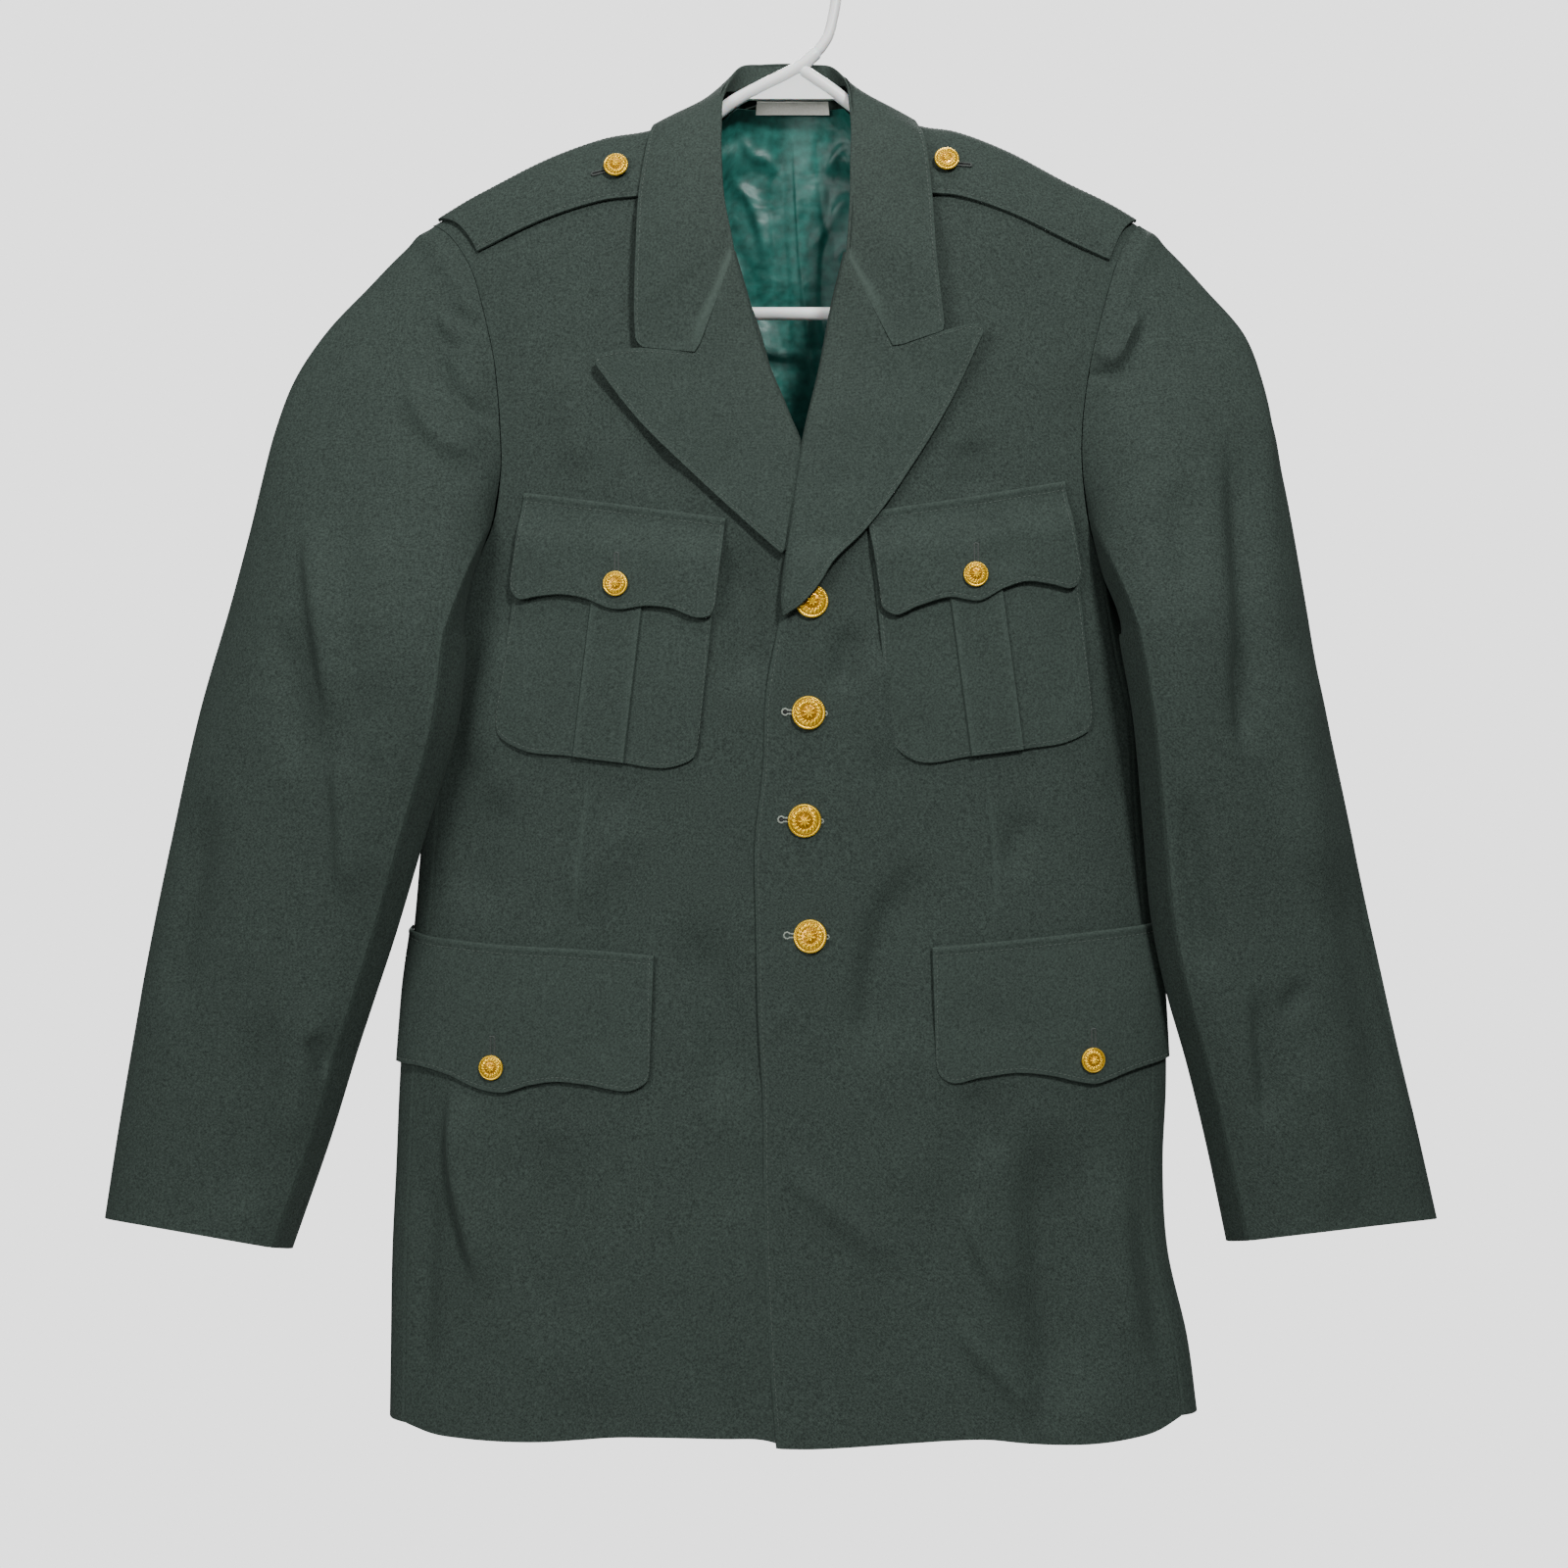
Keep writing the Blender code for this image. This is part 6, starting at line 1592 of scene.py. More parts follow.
def make_lapels():
    """The turned-back lapels, rolled at the break and stitched round their edges."""
    inset_mm = size("stitch_inset")
    for side in (LEFT, RIGHT):
        outline = LAPEL[side]
        down_at, across_at = shares(190, 3.4), shares(84, 2.6)

        def read(points, at, smooth=True):
            line = curve(points, 400, 800) if smooth else polyline(points, 400)
            return read_at(at, np.linspace(0, 1, 400), line)

        top = read(outline["top"], across_at, False)
        foot = read([outline["roll"][-1], outline["edge"][-1]], across_at, False)
        start, end = read(outline["roll"], down_at), read(outline["edge"], down_at)
        u, v = across_at[None, :, None], down_at[:, None, None]
        flat = ((1 - v) * top[None] + v * foot[None] + (1 - u) * start[:, None] + u * end[:, None]
                - ((1 - u) * (1 - v) * top[0] + u * (1 - v) * top[-1]
                   + (1 - u) * v * foot[0] + u * v * foot[-1]))
        round_corner(flat, 0, -1, LAPEL_CORNERS[side])
        x, z = flat[..., 0], flat[..., 1]
        grid = np.stack([x, front_y(x, z, side), z], axis=-1)
        spread = across_at[None, :]
        lift = LAPEL_LIFT + LAPEL_ROLL * (1 - spread) * smoothstep(0.0, 0.25, spread + 0.1)
        if side == LEFT:
            cover_x, cover_z, reach, end_of, cover_lift = BUTTON_COVER
            near_button = 1 - smoothstep(reach, end_of, np.hypot(x - cover_x, z - cover_z))
            lift = lift + (cover_lift - lift) * near_button * smoothstep(*BUTTON_COVER_EDGE, x)
        normals = grid_normals(grid, (0, -1, 0))
        _, last, high, _ = edge_distances(grid)
        near = np.minimum(last, high)
        lift = lift + stitch_sink(near, inset_mm)
        lift = add_creases(lift, x, z, LAPEL_CREASES[side])
        behind = np.clip(grid[..., 1] - lift - size("double_wool") - GORGE_FACE[side], 0, None)
        lift = lift + behind * (1 - smoothstep(*GORGE_FADE, high))
        # the roll: round the break and back under to the front's inside
        thick = size("double_wool")
        inner_face = grid + normals * lift[..., None]
        depth = (lift[:, :1] + ROLL_UNDER) / 2
        into = unit(grid[:, 0] - grid[:, 1])
        turned, turned_normals = [], []
        for turn in np.radians((178, 150, 124, 100, 78, 56, 36, 18)):
            around = normals[:, 0] * math.cos(turn) + into * math.sin(turn)
            turned.append(inner_face[:, 0] - normals[:, 0] * depth * (1 - math.cos(turn))
                          + into * ROLL_OUT * math.sin(turn))
            turned_normals.append(unit(around))
        grid = np.concatenate([np.stack(turned, axis=1), inner_face], axis=1)
        normals = np.concatenate([np.stack(turned_normals, axis=1), normals], axis=1)
        near = np.concatenate([np.full((len(near), len(turned)), 40.0), near], axis=1)
        # painted highlight: the lapel a little lighter all over, more at its edges
        light = edge_light(near) + 0.08
        piece = cloth(side_name("lapel_wool", side), grid, normals, thick, "wool_serge",
                      low=0.0, light=light)
        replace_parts(piece, side_name("lapel", side))
        height = np.full(grid.shape[:2], thick)
        lines = [inner_line(grid, normals, height, inset_mm, "last"),
                 inner_line(grid, normals, height, inset_mm, "top")]
        lines[1] = tuple(part[int(0.55 * len(part)):] for part in lines[1])
        thread = stitching(side_name("lapel_stitching", side), lines)


# ---------------------------------------------------------------- straps, pockets and flaps
def lay_on(stem, node, side, grid, normals, thick, lift, light, edges):
    """A piece laid on its front at a height over it, stitched in from the edges given."""
    piece = cloth(side_name(stem + "_wool", side), grid, normals, thick, "wool_serge", low=lift,
                  light=light)
    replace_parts(piece, side_name(node, side))
    lines = [inner_line(grid, normals, lift + thick, inset_mm, edge) for edge, inset_mm in edges]
    thread = stitching(side_name(stem + "_stitching", side), lines)


def make_straps():
    """Shoulder straps, sewn into the armhole seam and run under the collar."""
    inset_mm, thick = size("stitch_inset"), size("double_wool")
    for side in (LEFT, RIGHT):
        loop, knot_at = armhole_loop(side)
        inner_x, low_outer, low_inner = STRAP[side]
        along, spread = shares(140, 3.0), shares(50, 2.4)
        grid = np.zeros((len(along), len(spread), 3))
        for c, share in enumerate(spread):
            outer_angle = math.radians(STRAP_TOP + (low_outer - STRAP_TOP) * share)
            inner_angle = math.radians(STRAP_TOP + (low_inner - STRAP_TOP) * share)
            drop = SHOULDER_FRONT * (1 - math.cos(outer_angle))
            seam = loop_at_height(loop[0][2] - drop - STRAP_TOP, loop, knot_at, False)
            outer_x = seam[0] - side * STRAP_ENDS
            x = outer_x + (inner_x - outer_x) * along
            grid[:, c] = ridge_point(x, outer_angle + (inner_angle - outer_angle) * along, side)
        normals = grid_normals(grid, (0, -1, 1))
        first, last, _, _ = edge_distances(grid)
        near = np.minimum(first, last)
        rise = smoothstep(0, STRAP_SEAM_SHARE, along)[:, None]
        lift = (STRAP_SEAM_LIFT + (STRAP_LIFT - STRAP_SEAM_LIFT) * rise
                + stitch_sink(near, inset_mm) - 0.9 * hump(last, 4.0))
        # painted highlight along the strap's edges
        lay_on("strap", "shoulder_strap", side, grid, normals, thick, np.maximum(lift, SEAM),
               edge_light(near), (("first", inset_mm), ("last", inset_mm)))


def outline_line(outline, side):
    """A pocket's or flap's outline on the cloth of its front, as a dense line."""
    flat = curve(outline, 400, 900)
    deep = np.stack([flat[:, 0], front_y(flat[:, 0], flat[:, 1], side), flat[:, 1]], axis=-1)
    return resample(deep, 600)


def between(top, foot, share, down, side):
    """Points of a front between two outlines, at a share along and down."""
    where = np.linspace(0, 1, len(top))
    points = (read_at(share, where, top) * (1 - down[..., None])
              + read_at(share, where, foot) * down[..., None])
    points[..., 1] = front_y(points[..., 0], points[..., 2], side)
    return points


POCKET_SPAN = 128       # about a breast pocket's width and height, which sets its rows apart


def make_pockets():
    """Patch breast pockets with their box pleats."""
    inset_mm, thick = size("stitch_inset"), size("wool")
    for side in (LEFT, RIGHT):
        shape = BREAST_POCKET[side]
        top, foot = outline_line(shape["top"], side), outline_line(shape["foot"], side)
        top_x, foot_x, width = shape["pleat"]
        down = shares(POCKET_SPAN, 3.2)
        beside_edge = np.array([0.7, 1.6, 2.4, 3.2]) / POCKET_SPAN
        edge = np.array([-1.2, -0.5, 0.0, 0.5, 1.2]) / width
        pleat = np.concatenate([edge, np.linspace(0.12, 0.88, 10), 1 + edge])
        where = np.linspace(0, 1, 400)
        rows = []
        for v in down:
            line = between(top, foot, where, np.full(400, v), side)
            x = line[:, 0]
            low_x = top_x + (foot_x - top_x) * v
            marks = np.interp(low_x + pleat * width, x, where)
            left = np.concatenate([[0], beside_edge, np.linspace(0.04, 1, 16)[:-1] * marks[0]])
            right = 1 - (1 - marks[-1]) * np.linspace(1, 0, 16)[1:]
            right = np.concatenate([right[:-1], 1 - beside_edge[::-1], [1]])
            rows.append(np.sort(np.concatenate([left, marks, right])))
        share = np.array(rows)
        spread_down = np.broadcast_to(down[:, None], share.shape)
        grid = between(top, foot, share, spread_down, side)
        normals = grid_normals(grid, (0, -1, 0))
        first, last, _, low = edge_distances(grid)
        near = np.minimum.reduce([first, last, low])
        x = grid[..., 0]
        low_x = top_x + (foot_x - top_x) * spread_down
        on_pleat = smoothstep(low_x - 0.5, low_x + 0.4, x) * (1 - smoothstep(low_x + width - 0.4,
                                                                            low_x + width + 0.5, x))
        beside = hump(x - low_x, 3.0) + hump(x - low_x - width, 3.0)
        lift = (POCKET_LIFT + PLEAT_RISE * on_pleat + 0.5 * beside * on_pleat
                + stitch_sink(near, inset_mm) - 0.3 * hump(near, 1.2))
        lift = add_creases(lift, x, grid[..., 2], POCKET_CREASES[side])
        # painted highlight: the pocket a little lighter all over, more at its edges and the pleat's
        # folds
        light = edge_light(near) + 0.05 + 0.2 * beside * on_pleat
        lay_on("pocket", "breast_pocket", side, grid, normals, thick, lift, light,
               [(edge, inset_mm) for edge in ("first", "last", "foot")])


FLAP_SEAM = 5.0         # a flap is sewn down this far below its top


def make_flaps():
    """Three-point flaps, sewn along their tops and turned down."""
    inset_mm, thick = size("stitch_inset"), size("double_wool")
    kinds = (("breast_flap", BREAST_FLAP, BREAST_FLAP_LIFT, 56, (0.135, 0.075), 0.0088),
             ("lower_flap", LOWER_FLAP, LOWER_FLAP_LIFT, 82, (0.16, 0.105), 0.015))
    for stem, shapes, foot_lift, deep, flat, area in kinds:
        for side in (LEFT, RIGHT):
            shape = shapes[side]
            top, foot = outline_line(shape["top"], side), outline_line(shape["foot"], side)
            along, down = shares(135, 2.4), shares(deep, 2.6)
            share, spread = np.meshgrid(along, down)
            grid = between(top, foot, share, spread, side)
            normals = grid_normals(grid, (0, -1, 0))
            first, last, high, low = edge_distances(grid)
            near = np.minimum.reduce([first, last, low])
            lift = FLAP_LIFT_TOP + (foot_lift - FLAP_LIFT_TOP) * smoothstep(0.12, 0.5, spread)
            lift = lift + stitch_sink(near, inset_mm) - 0.25 * hump(near, 1.2) \
                + 0.5 * hump(high - 1.5, 1.8) + stitch_sink(high, FLAP_SEAM, 0.3)
            lift = add_creases(lift, grid[..., 0], grid[..., 2], FLAP_CREASES[side])
            # painted highlight: the flap a little lighter all over, more at its edges and its
            # turned top
            light = edge_light(near) + 0.05 + 0.1 * hump(high, 2.0)
            edges = [(edge, inset_mm) for edge in ("first", "last", "foot")]
            lay_on(stem, stem, side, grid, normals, thick, np.maximum(lift, SEAM), light,
                   edges + [("top", FLAP_SEAM)])


# ---------------------------------------------------------------- buttons
def button_height(radius, turn):
    """Relief of a button: a corded rim, a wreath of leaves and an eight-petalled rosette,
    and its painted shade, which darkens the hollows.
    """
    height = 0.17 + 0.17 * (1 - radius ** 2)
    rim = hump(radius - 0.93, 0.05)
    height += rim * (0.055 + 0.025 * np.sin(44 * turn + 20 * radius))
    leaf = np.abs(np.sin(9 * turn + 5.5 * (radius - 0.65)))
    wreath = hump(radius - 0.66, 0.13, 4)
    height += wreath * (0.13 * leaf ** 0.6 - 0.03)
    petals = 0.30 + 0.08 * np.cos(8 * turn)
    rosette = smoothstep(0.0, 0.06, petals - radius)
    height += rosette * (0.10 + 0.06 * np.cos(8 * turn) * radius / 0.3)
    height += 0.07 * hump(radius, 0.09)
    return height, np.clip(1 - wreath * leaf - rosette - rim, 0, 1)


PAINTED_SHADE_SHARE = 0.75      # painted shade: how much of the shaded gilt the hollows take


def make_button(name, centre, normal, diameter, spin):
    """A stamped gilt button: back, edge and relief, turned about its normal."""
    radius = diameter / 2
    normal = unit(np.asarray(normal, float))
    first = unit(np.cross((0.0, 0.0, 1.0), normal))
    second = np.cross(normal, first)
    sides = 112
    turn = np.linspace(0, 2 * math.pi, sides, endpoint=False)
    # painted shade: the back and edge rings take 0.3 of it, the face its share from the relief
    rings = [(share, height, 0.3) for share, height in
             ((0.3, 0.0), (0.80, 0.0), (0.95, 0.03), (1.0, 0.09), (1.0, 0.15))]
    rings += [(share, None, 0.0) for share in np.linspace(0.985, 0.03, 30)]
    verts, hollow = [], []
    for share, height, dark in rings:
        if height is None:
            height, dark = button_height(np.full(sides, share), turn)
        spoke = np.cos(turn + spin)[:, None] * first + np.sin(turn + spin)[:, None] * second
        rise = np.multiply.outer(np.ones(sides) * height, normal)
        verts.append(centre + radius * (share * spoke + rise))
        hollow.append(np.ones(sides) * dark)
    verts, hollow = np.concatenate(verts), np.concatenate(hollow)
    number = np.arange(len(rings) * sides).reshape(len(rings), sides)
    beside = np.roll(number, -1, 1)
    quads = np.stack([number[:-1], beside[:-1], beside[1:], number[1:]], axis=-1).reshape(-1, 4)
    faces = quads.tolist() + [number[-1].tolist(), number[0][::-1].tolist()]
    mesh = smooth_mesh(name, verts, faces)
    point_values(mesh, "hollow", PAINTED_SHADE_SHARE * hollow)
    return place(name, mesh, "gilt_brass")


def strap_frame(side):
    """The strap button's point on the shoulder and its outward normal."""
    x, angle = STRAP_BUTTONS[side]
    x = np.float64(x)
    low, high = (ridge_point(x, np.radians(angle + d), side) for d in (6, -6))
    left, right = (ridge_point(x + d, np.radians(angle), side) for d in (4, -4))
    return ridge_point(x, np.radians(angle), side), unit(np.cross(left - right, high - low))


def button_places():
    """Name, point, normal, diameter and turn of every button."""
    front, small, double = size("front_button"), size("small_button"), size("double_wool")
    tilts = ((0.10, 0, 0.05), (0.04, 0, 0.06), (-0.02, 0, -0.05), (-0.16, 0, 0.10))
    made = []
    for k, ((x, z), tilt) in enumerate(zip(FRONT_BUTTONS, tilts), start=1):
        at, normal = front_frame(x, z, LEFT)
        made.append((f"front_button_{k}", at + normal * SEAM, unit(normal + np.array(tilt)),
                     front, 0.3 * k))
    for side in (LEFT, RIGHT):
        for stem, places, lift, spin in (("breast_button", BREAST_BUTTONS, BREAST_FLAP_LIFT, 0.9),
                                         ("lower_button", LOWER_BUTTONS, LOWER_FLAP_LIFT, 1.7)):
            at, normal = front_frame(*places[side], side)
            made.append((side_name(stem, side), at + normal * (lift + double + 2 * SEAM), normal,
                         small, spin))
        at, normal = strap_frame(side)
        made.append((side_name("strap_button", side), at + normal * (STRAP_LIFT + double + SHANK),
                     unit(normal + BUTTON_TILT * np.array([0, -1, 0])), small, 2.4))
    return made


def make_buttons():
    """All the coat's gilt buttons."""
    for name, at, normal, diameter, spin in button_places():
        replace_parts(make_button(name + "_gilt", at, normal, diameter, spin), name)


# ---------------------------------------------------------------- buttonholes
def thread_ring(points, normals, thick, sides=6):
    """A closed ring of thread along points: vertices and faces."""
    count = len(points)
    way = unit(np.roll(points, -1, 0) - np.roll(points, 1, 0))
    cross = unit(np.cross(normals, way))
    verts = []
    for k in range(sides):
        turn = 2 * math.pi * k / sides
        knot = 1 + 0.22 * np.cos(np.arange(count) * math.pi)[:, None]
        spoke = cross * math.cos(turn) + normals * math.sin(turn)
        verts.append(points + spoke * thick / 2 * knot)
    verts = np.stack(verts, axis=1).reshape(-1, 3)
    number = np.arange(count * sides).reshape(count, sides)
    beyond, round_it = np.roll(number, -1, 0), np.roll(number, -1, 1)
    faces = np.stack([number, beyond, np.roll(beyond, -1, 1), round_it], axis=-1).reshape(-1, 4)
    return verts, faces


HOLE_THREAD = 1.15      # thickness of a buttonhole's thread, and half the way between its sides
EYELET = 2.0            # radius of the eyelet


def buttonhole(name, surface, start, way, length, eyelet, material_name):
    """A worked buttonhole from start along way (x, z): eyelet, thread and, in the slit, a
    near-black sheet of painted shadow.

    surface gives the point and normal of the cloth at x, z.
    """
    way = np.array(way, float) / np.hypot(*way)
    across_way = np.array([-way[1], way[0]])
    half = HOLE_THREAD
    outline = []
    if eyelet:
        for turn in np.radians(np.arange(50, 311, 20)):
            outline.append((EYELET * math.cos(turn), EYELET * math.sin(turn)))
    else:
        outline += [(0.0, half), (-0.5, 0.0), (0.0, -half)]
    run = np.arange(1.5 if eyelet else 0.9, length, 0.75)
    outline += [(s, -half) for s in run] + [(length + 0.4, 0.0)]
    outline += [(s, half) for s in run[::-1]]
    points, normals = [], []
    for along, aside in outline:
        x, z = np.array(start) + way * along + across_way * aside
        at, normal = surface(x, z)
        points.append(at + normal * 0.25)
        normals.append(normal)
    points, normals = np.array(points), np.array(normals)
    verts, faces = thread_ring(points, normals, HOLE_THREAD)
    # painted shadow: a near-black sheet just under the thread for the shade inside the cut
    slit = np.concatenate([points - normals * 0.28, points - normals * 0.6])
    count = len(points)
    ring = list(range(count))
    flat = [ring, [k + count for k in reversed(ring)]]
    flat += [[(k + 1) % count, k, k + count, (k + 1) % count + count] for k in ring]
    for suffix, made, woven, finish in (("thread", verts, faces.tolist(), material_name),
                                        ("slit", slit, flat, "dark_thread")):
        mesh = smooth_mesh(f"{name}_{suffix}", made, woven, outward=True)
        place(f"{name}_{suffix}", mesh, finish)


def make_buttonholes():
    """Keyhole buttonholes down the front, and straight ones on flaps and straps."""
    for k, (x, z) in enumerate(FRONT_BUTTONS[1:], start=2):
        buttonhole(f"front_buttonhole_{k}", lambda a, b: front_frame(a, b, LEFT),
                   (x - 14.5, z + 0.6), (1, -0.04), 26.0, True, "buttonhole_thread")
    for side in (LEFT, RIGHT):
        for stem, (x, z), lift in (("breast", BREAST_BUTTONS[side], BREAST_FLAP_LIFT - 0.4),
                                   ("lower", LOWER_BUTTONS[side], 1.4)):
            def on_flap(a, b, lift=lift):
                at, normal = front_frame(a, b, side)
                return at + normal * (lift + DOUBLE), normal
            buttonhole(side_name(stem + "_buttonhole", side), on_flap, (x + 0.5, z + 19.0),
                       (0.02, -1), 15.0, False, "dark_buttonhole_thread")
        at, normal = strap_frame(side)
        over = unit(np.cross(normal, (0.0, 1.0, 0.0))) * -1
        over = over * side * np.sign(over[0])
        down_strap = np.cross(normal, over)

        def on_strap(a, b, at=at, normal=normal, over=over, down_strap=down_strap):
            return at + over * a + down_strap * b + normal * (STRAP_LIFT + DOUBLE - 0.1), normal
        buttonhole(side_name("strap_buttonhole", side), on_strap, (6.0, 0.0), (1, 0.1), 10.0, False,
                   "dark_buttonhole_thread")


# ---------------------------------------------------------------- lining, label, hanger
SATIN_SHARE = 0.55      # the satin's folds have this share of the tables' depth


def make_lining():
    """The satin back as it hangs in the neck, with its centre pleat and folds, and the tape."""
    satin, wool = size("satin"), size("wool")
    rises = np.concatenate([np.linspace(0, 0.66, 60), np.linspace(0.665, 1, 130)])
    rows, columns = len(rises), 141
    grid = np.zeros((rows, columns, 3))
    for r, z_mid in enumerate(LINING_FOOT + (LINING_TOP - LINING_FOOT) * rises):
        reach = (LINING_REACH - UNDER_ARMS * smoothstep(-470, -380, z_mid)
                 - AT_NECK * smoothstep(-300, LINING_TOP, z_mid))
        u = np.linspace(-1, 1, columns)
        u = reach * (0.45 * u + 0.55 * u ** 3)
        middle, half = middle_and_half(z_mid)
        x = middle + half * u
        fall = np.maximum(LINING_TOP - ridge_z(x) + LINING_BELOW, 0)
        z = z_mid - fall * smoothstep(-330, LINING_TOP, z_mid)
        grid[r] = np.stack([x, back_y(x, z), z], axis=-1)
    normals = grid_normals(grid, (0, 1, 0))
    height = soft_waves(grid * 3.4, 31, 1.3)
    for crease in SATIN_CREASES:
        height += SATIN_SHARE * crease_height(grid[..., 0], grid[..., 2], crease)
    low = np.maximum(wool + LINING_GAP + height, wool + 1.5)
    # it follows the troughs of the backs, which would come through it
    for crease in BACK_CREASES[RIGHT] + BACK_CREASES[LEFT]:
        low -= np.minimum(crease_height(grid[..., 0], grid[..., 2], crease), 0)
    piece = cloth("lining_satin", grid, -normals, satin, "satin_lining", low=low)
    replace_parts(piece, "lining_back")
    along, up = np.linspace(*LABEL_X, 40), np.linspace(*LABEL_Z, 8)
    x, z = np.meshgrid(along, up)
    strip = np.stack([x, back_y(x, z), z], axis=-1)
    normals = grid_normals(strip, (0, -1, 0))
    low = wool + 2 * satin + 2 * LINING_GAP + 0.25 * np.sin(x / 5.0)
    tape = cloth("label_tape", strip, normals, LABEL_WALL, "woven_tape", low=low)
    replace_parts(tape, "label")


def tube(points, radius, sides=20):
    """Vertices and faces of a closed tube in the plane y = 0, with rounded ends."""
    points = np.asarray(points, float)
    way = unit(np.gradient(points, axis=0))
    flat = np.cross(way, (0.0, 1.0, 0.0))
    depth = np.array([0.0, 1.0, 0.0])
    turn = 2 * math.pi * np.arange(sides) / sides
    circle = np.cos(turn)[None, :, None] * flat[:, None] + np.sin(turn)[None, :, None] * depth
    caps = [(-1.0, 0.25), (-0.7, 0.7), (-0.3, 0.94)]
    rings = [points[0] + way[0] * s * radius + circle[0] * radius * g for s, g in caps]
    rings += list(points[:, None] + circle * radius)
    rings += [points[-1] - way[-1] * s * radius + circle[-1] * radius * g for s, g in caps[::-1]]
    verts = np.concatenate(rings)
    number = np.arange(len(verts)).reshape(-1, sides)
    beside = np.roll(number, -1, 1)
    faces = np.stack([number[:-1], number[1:], beside[1:], beside[:-1]], axis=-1).reshape(-1, 4)
    return verts, faces.tolist() + [number[0].tolist(), number[-1][::-1].tolist()]


def make_hanger():
    """The moulded hanger: hook, arms, bar and the plate between the arms, in one piece."""
    radius = HOOK_INNER + HOOK_TUBE / 2
    arc = [(radius * math.cos(math.radians(a)), -HOOK_INNER + radius * math.sin(math.radians(a)))
           for a in range(0, HOOK_TURN, HOOK_STEP)]
    runs = [([(x, 0, z) for x, z in list(curve(HOOK_STEM, 24)[:-1]) + arc], HOOK_TUBE / 2)]
    for side in (LEFT, RIGHT):
        runs.append(([(x, 0, z) for x, z in curve(ARM[side], 70)], TUBE / 2))
    bar = np.linspace(ARM[RIGHT][-1][0] - 1, ARM[LEFT][-1][0] + 1, 12)
    runs.append(([(x, 0, HANGER_BAR_Z) for x in bar], TUBE / 2))
    verts, faces, total = [], [], 0
    for points, thick in runs:
        made, woven = tube(points, thick)
        verts.append(made)
        faces += [[k + total for k in face] for face in woven]
        total += len(made)
    corners = np.array(WEB_CORNERS) + np.array([(-14, 0), (4, 0), (0, 8)])
    plate = np.array([(x, y, z) for y in (-WEB / 2, WEB / 2) for x, z in corners])
    faces += [[k + total for k in face]
              for face in ((0, 1, 2), (5, 4, 3), (0, 3, 4, 1), (1, 4, 5, 2), (2, 5, 3, 0))]
    mesh = smooth_mesh("hanger_plastic", np.concatenate(verts + [plate]), faces, outward=True)
    mesh.set_sharp_from_angle(angle=math.radians(50))
    piece = place("hanger_plastic", mesh, "polypropylene")
    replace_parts(piece, "hanger_hook", "hanger_arm_left", "hanger_arm_right", "hanger_bar",
                "hanger_web")


# ---------------------------------------------------------------- stage
CAMERA_AT = (-0.0184, -1.35, -0.5622)  # metres
HALF_VIEW = 0.636 * 0.8 / 1.35      # half the view's width over its distance
FLOOR_AT = -1.42
ROOM_LIGHT, WALL_LIGHT = 0.20, 3.4  # strength of the room as light, and as it is seen


def make_stage():
    """A pale round floor below the coat, soft lights and the camera straight in front."""
    scene = bpy.context.scene
    shell = bmesh.new()
    bmesh.ops.create_circle(shell, cap_ends=True, radius=0.85, segments=96)
    mesh = bpy.data.meshes.new("studio_floor")
    shell.to_mesh(mesh)
    shell.free()
    mesh.materials.append(finish_material("studio_floor"))
    floor = bpy.data.objects.new("studio_floor", mesh)
    floor.location = (0, 0.05, FLOOR_AT)
    scene.collection.objects.link(floor)
    aim = bpy.data.objects.new("light_aim", None)
    aim.location = (-0.02, 0, -0.5)
    scene.collection.objects.link(aim)
    lights = (("key", (0.75, -2.10, 1.00), 0.35, 66), ("fill", (-1.3, -1.8, 0.0), 1.0, 27),
              ("back", (0.2, 1.8, 0.9), 1.2, 80), ("top", (-0.2, -0.5, 1.3), 0.7, 13))
    for name, at, width, power in lights:
        light = bpy.data.lights.new(name, "AREA")
        light.size, light.energy = width, power
        lamp = bpy.data.objects.new(name, light)
        lamp.location = at
        way = aim.location - lamp.location
        lamp.rotation_euler = way.to_track_quat("-Z", "Y").to_euler()
        scene.collection.objects.link(lamp)
    bpy.data.objects.remove(aim)
    world = bpy.data.worlds.new("pale_room")
    world.use_nodes = True
    scene.world = world
    # a pale wall to look at, a dimmer room for the light that falls on the coat
    seen = add_node(world, "ShaderNodeLightPath")
    level = add_node(world, "ShaderNodeMapRange", {"To Min": ROOM_LIGHT, "To Max": WALL_LIGHT,
                                                   "Value": (seen, 0)})
    add_node(world, "Background", {0: scene.tunic_colours.room, 1: (level, 0)})
    camera = bpy.data.cameras.new("camera")
    camera.sensor_width = 36.0
    camera.lens = 18.0 / HALF_VIEW
    camera.clip_start, camera.clip_end = 0.05, 20
    seat = bpy.data.objects.new("camera", camera)
    seat.location = CAMERA_AT
    seat.rotation_euler = (math.radians(90), 0, 0)
    scene.collection.objects.link(seat)
    scene.camera = seat


# ---------------------------------------------------------------- the add-on
def colour_property(label, words, default):
    """A colour that a user may change, given as sRGB hex."""
    return bpy.props.FloatVectorProperty(name=label, description=words, default=linear(default),
                                         subtype="COLOR", size=4, min=0.0, max=1.0)


def length_property(label, words, default):
    """A length that a user may change, given in millimetres."""
    return bpy.props.FloatProperty(name=label, description=words, default=default * MM,
                                   unit="LENGTH")


class TunicSizes(bpy.types.PropertyGroup):
    """Sizes that a maker would change."""
    wool: length_property("Wool", "Thickness of one layer of wool", WOOL)
    double_wool: length_property("Double wool", "Collar, lapels, flaps and straps", DOUBLE)
    satin: length_property("Satin", "Thickness of the lining", SATIN)
    front_button: length_property("Front button", "Diameter of a front button", FRONT_BUTTON)
    small_button: length_property("Small button", "Diameter of a small button", SMALL_BUTTON)
    stitch_inset: length_property("Stitch inset", "Distance of the stitching from an edge", 2.4)
    waves: length_property("Unevenness", "Height of the slow unevenness of the hanging cloth", 1.1)


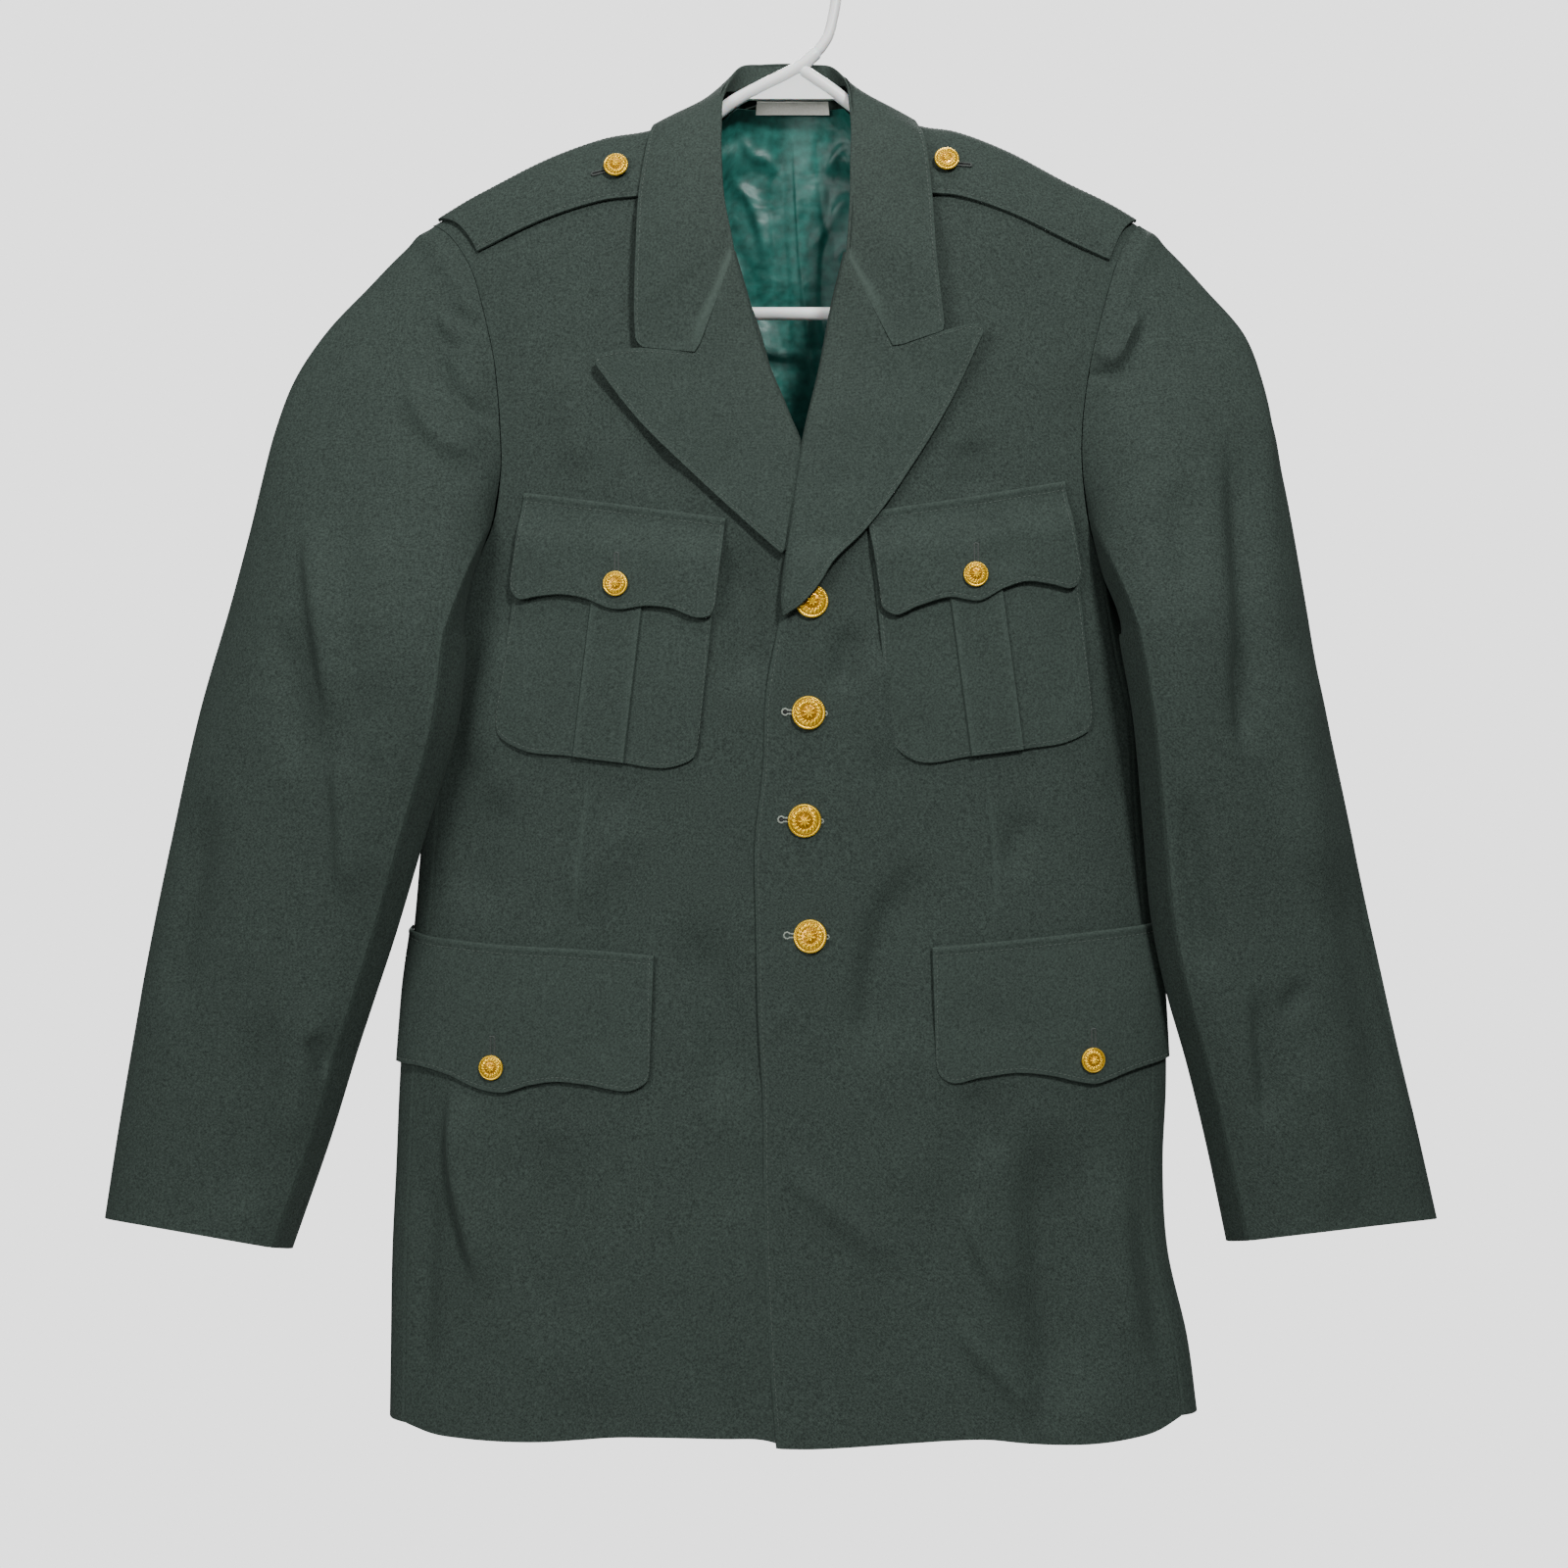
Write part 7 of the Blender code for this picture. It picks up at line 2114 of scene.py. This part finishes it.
class TunicColours(bpy.types.PropertyGroup):
    """Colours as sRGB hex values."""
    wool_dark: colour_property("Wool, dark fibres", "The darker fibres of the wool", "#18201c")
    wool_light: colour_property("Wool, light fibres", "The lighter fibres of the wool", "#3e4a44")
    # painted highlight: this lighter wool is mixed in along edges, seams and ridges
    wool_pressed: colour_property("Wool, pressed", "Wool where it is pressed or thick", "#4a5851")
    satin: colour_property("Satin", "The lining", "#236b61")
    satin_dark: colour_property("Satin, dark", "The lining's darker threads", "#104a42")
    # also mixed into the satin's colour as a painted sheen
    satin_sheen: colour_property("Satin sheen", "The lining's bloom", "#5f9c92")
    gilt: colour_property("Gilt", "Raised parts of the buttons", "#ffd22c")
    # painted shade: the darker gilt mixed into the buttons' hollows
    gilt_dark: colour_property("Gilt, hollows", "Hollows of the buttons", "#9c5c0a")
    tape: colour_property("Tape", "The strip under the neck", "#fbfaf3")
    tape_dark: colour_property("Tape, dark", "The strip's darker yarns", "#f0eee2")
    plastic: colour_property("Plastic", "The hanger", "#fdfefc")
    plastic_dark: colour_property("Plastic, dark", "The hanger's thicker parts", "#f7f9f6")
    stitch: colour_property("Edge stitching", "Thread of the edge stitching", "#46534b")
    buttonhole: colour_property("Front buttonholes", "Thread of the front buttonholes", "#8d978b")
    dark_buttonhole: colour_property("Flap buttonholes", "Thread of flap buttonholes", "#2f3833")
    # painted shadow: the near-black sheet inside each buttonhole's slit
    slit_shadow: colour_property("Slits", "Inside of the buttonholes", "#0c0f0d")
    floor: colour_property("Floor", "The studio floor", "#dcdcda")
    room: colour_property("Room", "The pale room around the coat", "#d4d4d4")


class TUNIC_OT_body(bpy.types.Operator):
    """Make the fronts, the side bodies and the backs."""
    bl_idname = "tunic.body"
    bl_label = "Body"

    def execute(self, context):
        make_body()
        return {"FINISHED"}


class TUNIC_OT_sleeves(bpy.types.Operator):
    """Make the two-piece sleeves with the creases of their heads."""
    bl_idname = "tunic.sleeves"
    bl_label = "Sleeves"

    def execute(self, context):
        make_sleeves()
        return {"FINISHED"}


class TUNIC_OT_collar(bpy.types.Operator):
    """Make the collar: stand, roll and fall."""
    bl_idname = "tunic.collar"
    bl_label = "Collar"

    def execute(self, context):
        make_collar()
        return {"FINISHED"}


class TUNIC_OT_lapels(bpy.types.Operator):
    """Make the turned-back lapels."""
    bl_idname = "tunic.lapels"
    bl_label = "Lapels"

    def execute(self, context):
        make_lapels()
        return {"FINISHED"}


class TUNIC_OT_straps(bpy.types.Operator):
    """Make the shoulder straps."""
    bl_idname = "tunic.straps"
    bl_label = "Shoulder straps"

    def execute(self, context):
        make_straps()
        return {"FINISHED"}


class TUNIC_OT_pockets(bpy.types.Operator):
    """Make the patch pockets with their box pleats."""
    bl_idname = "tunic.pockets"
    bl_label = "Breast pockets"

    def execute(self, context):
        make_pockets()
        return {"FINISHED"}


class TUNIC_OT_flaps(bpy.types.Operator):
    """Make the breast and lower flaps."""
    bl_idname = "tunic.flaps"
    bl_label = "Flaps"

    def execute(self, context):
        make_flaps()
        return {"FINISHED"}


class TUNIC_OT_buttons(bpy.types.Operator):
    """Make the gilt buttons."""
    bl_idname = "tunic.buttons"
    bl_label = "Buttons"

    def execute(self, context):
        make_buttons()
        return {"FINISHED"}


class TUNIC_OT_buttonholes(bpy.types.Operator):
    """Work the buttonholes."""
    bl_idname = "tunic.buttonholes"
    bl_label = "Buttonholes"

    def execute(self, context):
        make_buttonholes()
        return {"FINISHED"}


class TUNIC_OT_lining(bpy.types.Operator):
    """Hang the satin lining and its tape."""
    bl_idname = "tunic.lining"
    bl_label = "Lining"

    def execute(self, context):
        make_lining()
        return {"FINISHED"}


class TUNIC_OT_hanger(bpy.types.Operator):
    """Make the moulded hanger."""
    bl_idname = "tunic.hanger"
    bl_label = "Hanger"

    def execute(self, context):
        make_hanger()
        return {"FINISHED"}


class TUNIC_OT_stage(bpy.types.Operator):
    """Set the floor, the lights and the camera."""
    bl_idname = "tunic.stage"
    bl_label = "Stage"

    def execute(self, context):
        make_stage()
        return {"FINISHED"}


PIECE_OPERATORS = (TUNIC_OT_body, TUNIC_OT_sleeves, TUNIC_OT_collar, TUNIC_OT_lapels,
                   TUNIC_OT_straps, TUNIC_OT_pockets, TUNIC_OT_flaps, TUNIC_OT_buttons,
                   TUNIC_OT_buttonholes, TUNIC_OT_lining, TUNIC_OT_hanger, TUNIC_OT_stage)


class TUNIC_PT_pieces(bpy.types.Panel):
    """The coat's pieces, sizes and colours."""
    bl_idname = "TUNIC_PT_pieces"
    bl_label = "Military dress tunic"
    bl_space_type = "VIEW_3D"
    bl_region_type = "UI"
    bl_category = "Tunic"

    def draw(self, context):
        for operator in PIECE_OPERATORS:
            self.layout.operator(operator.bl_idname)
        for group in (context.scene.tunic_sizes, context.scene.tunic_colours):
            box = self.layout.box()
            for key in group.__annotations__:
                box.prop(group, key)


CLASSES = (TunicSizes, TunicColours) + PIECE_OPERATORS + (TUNIC_PT_pieces,)


def register():
    for made in CLASSES:
        bpy.utils.register_class(made)
    bpy.types.Scene.tunic_sizes = bpy.props.PointerProperty(type=TunicSizes)
    bpy.types.Scene.tunic_colours = bpy.props.PointerProperty(type=TunicColours)


def unregister():
    del bpy.types.Scene.tunic_colours
    del bpy.types.Scene.tunic_sizes
    for made in reversed(CLASSES):
        bpy.utils.unregister_class(made)


def main():
    """Makes every piece and the stage."""
    register()
    for operator in PIECE_OPERATORS:
        word = operator.bl_idname.split(".")[1]
        getattr(bpy.ops.tunic, word)()


if __name__ == "__main__":
    main()
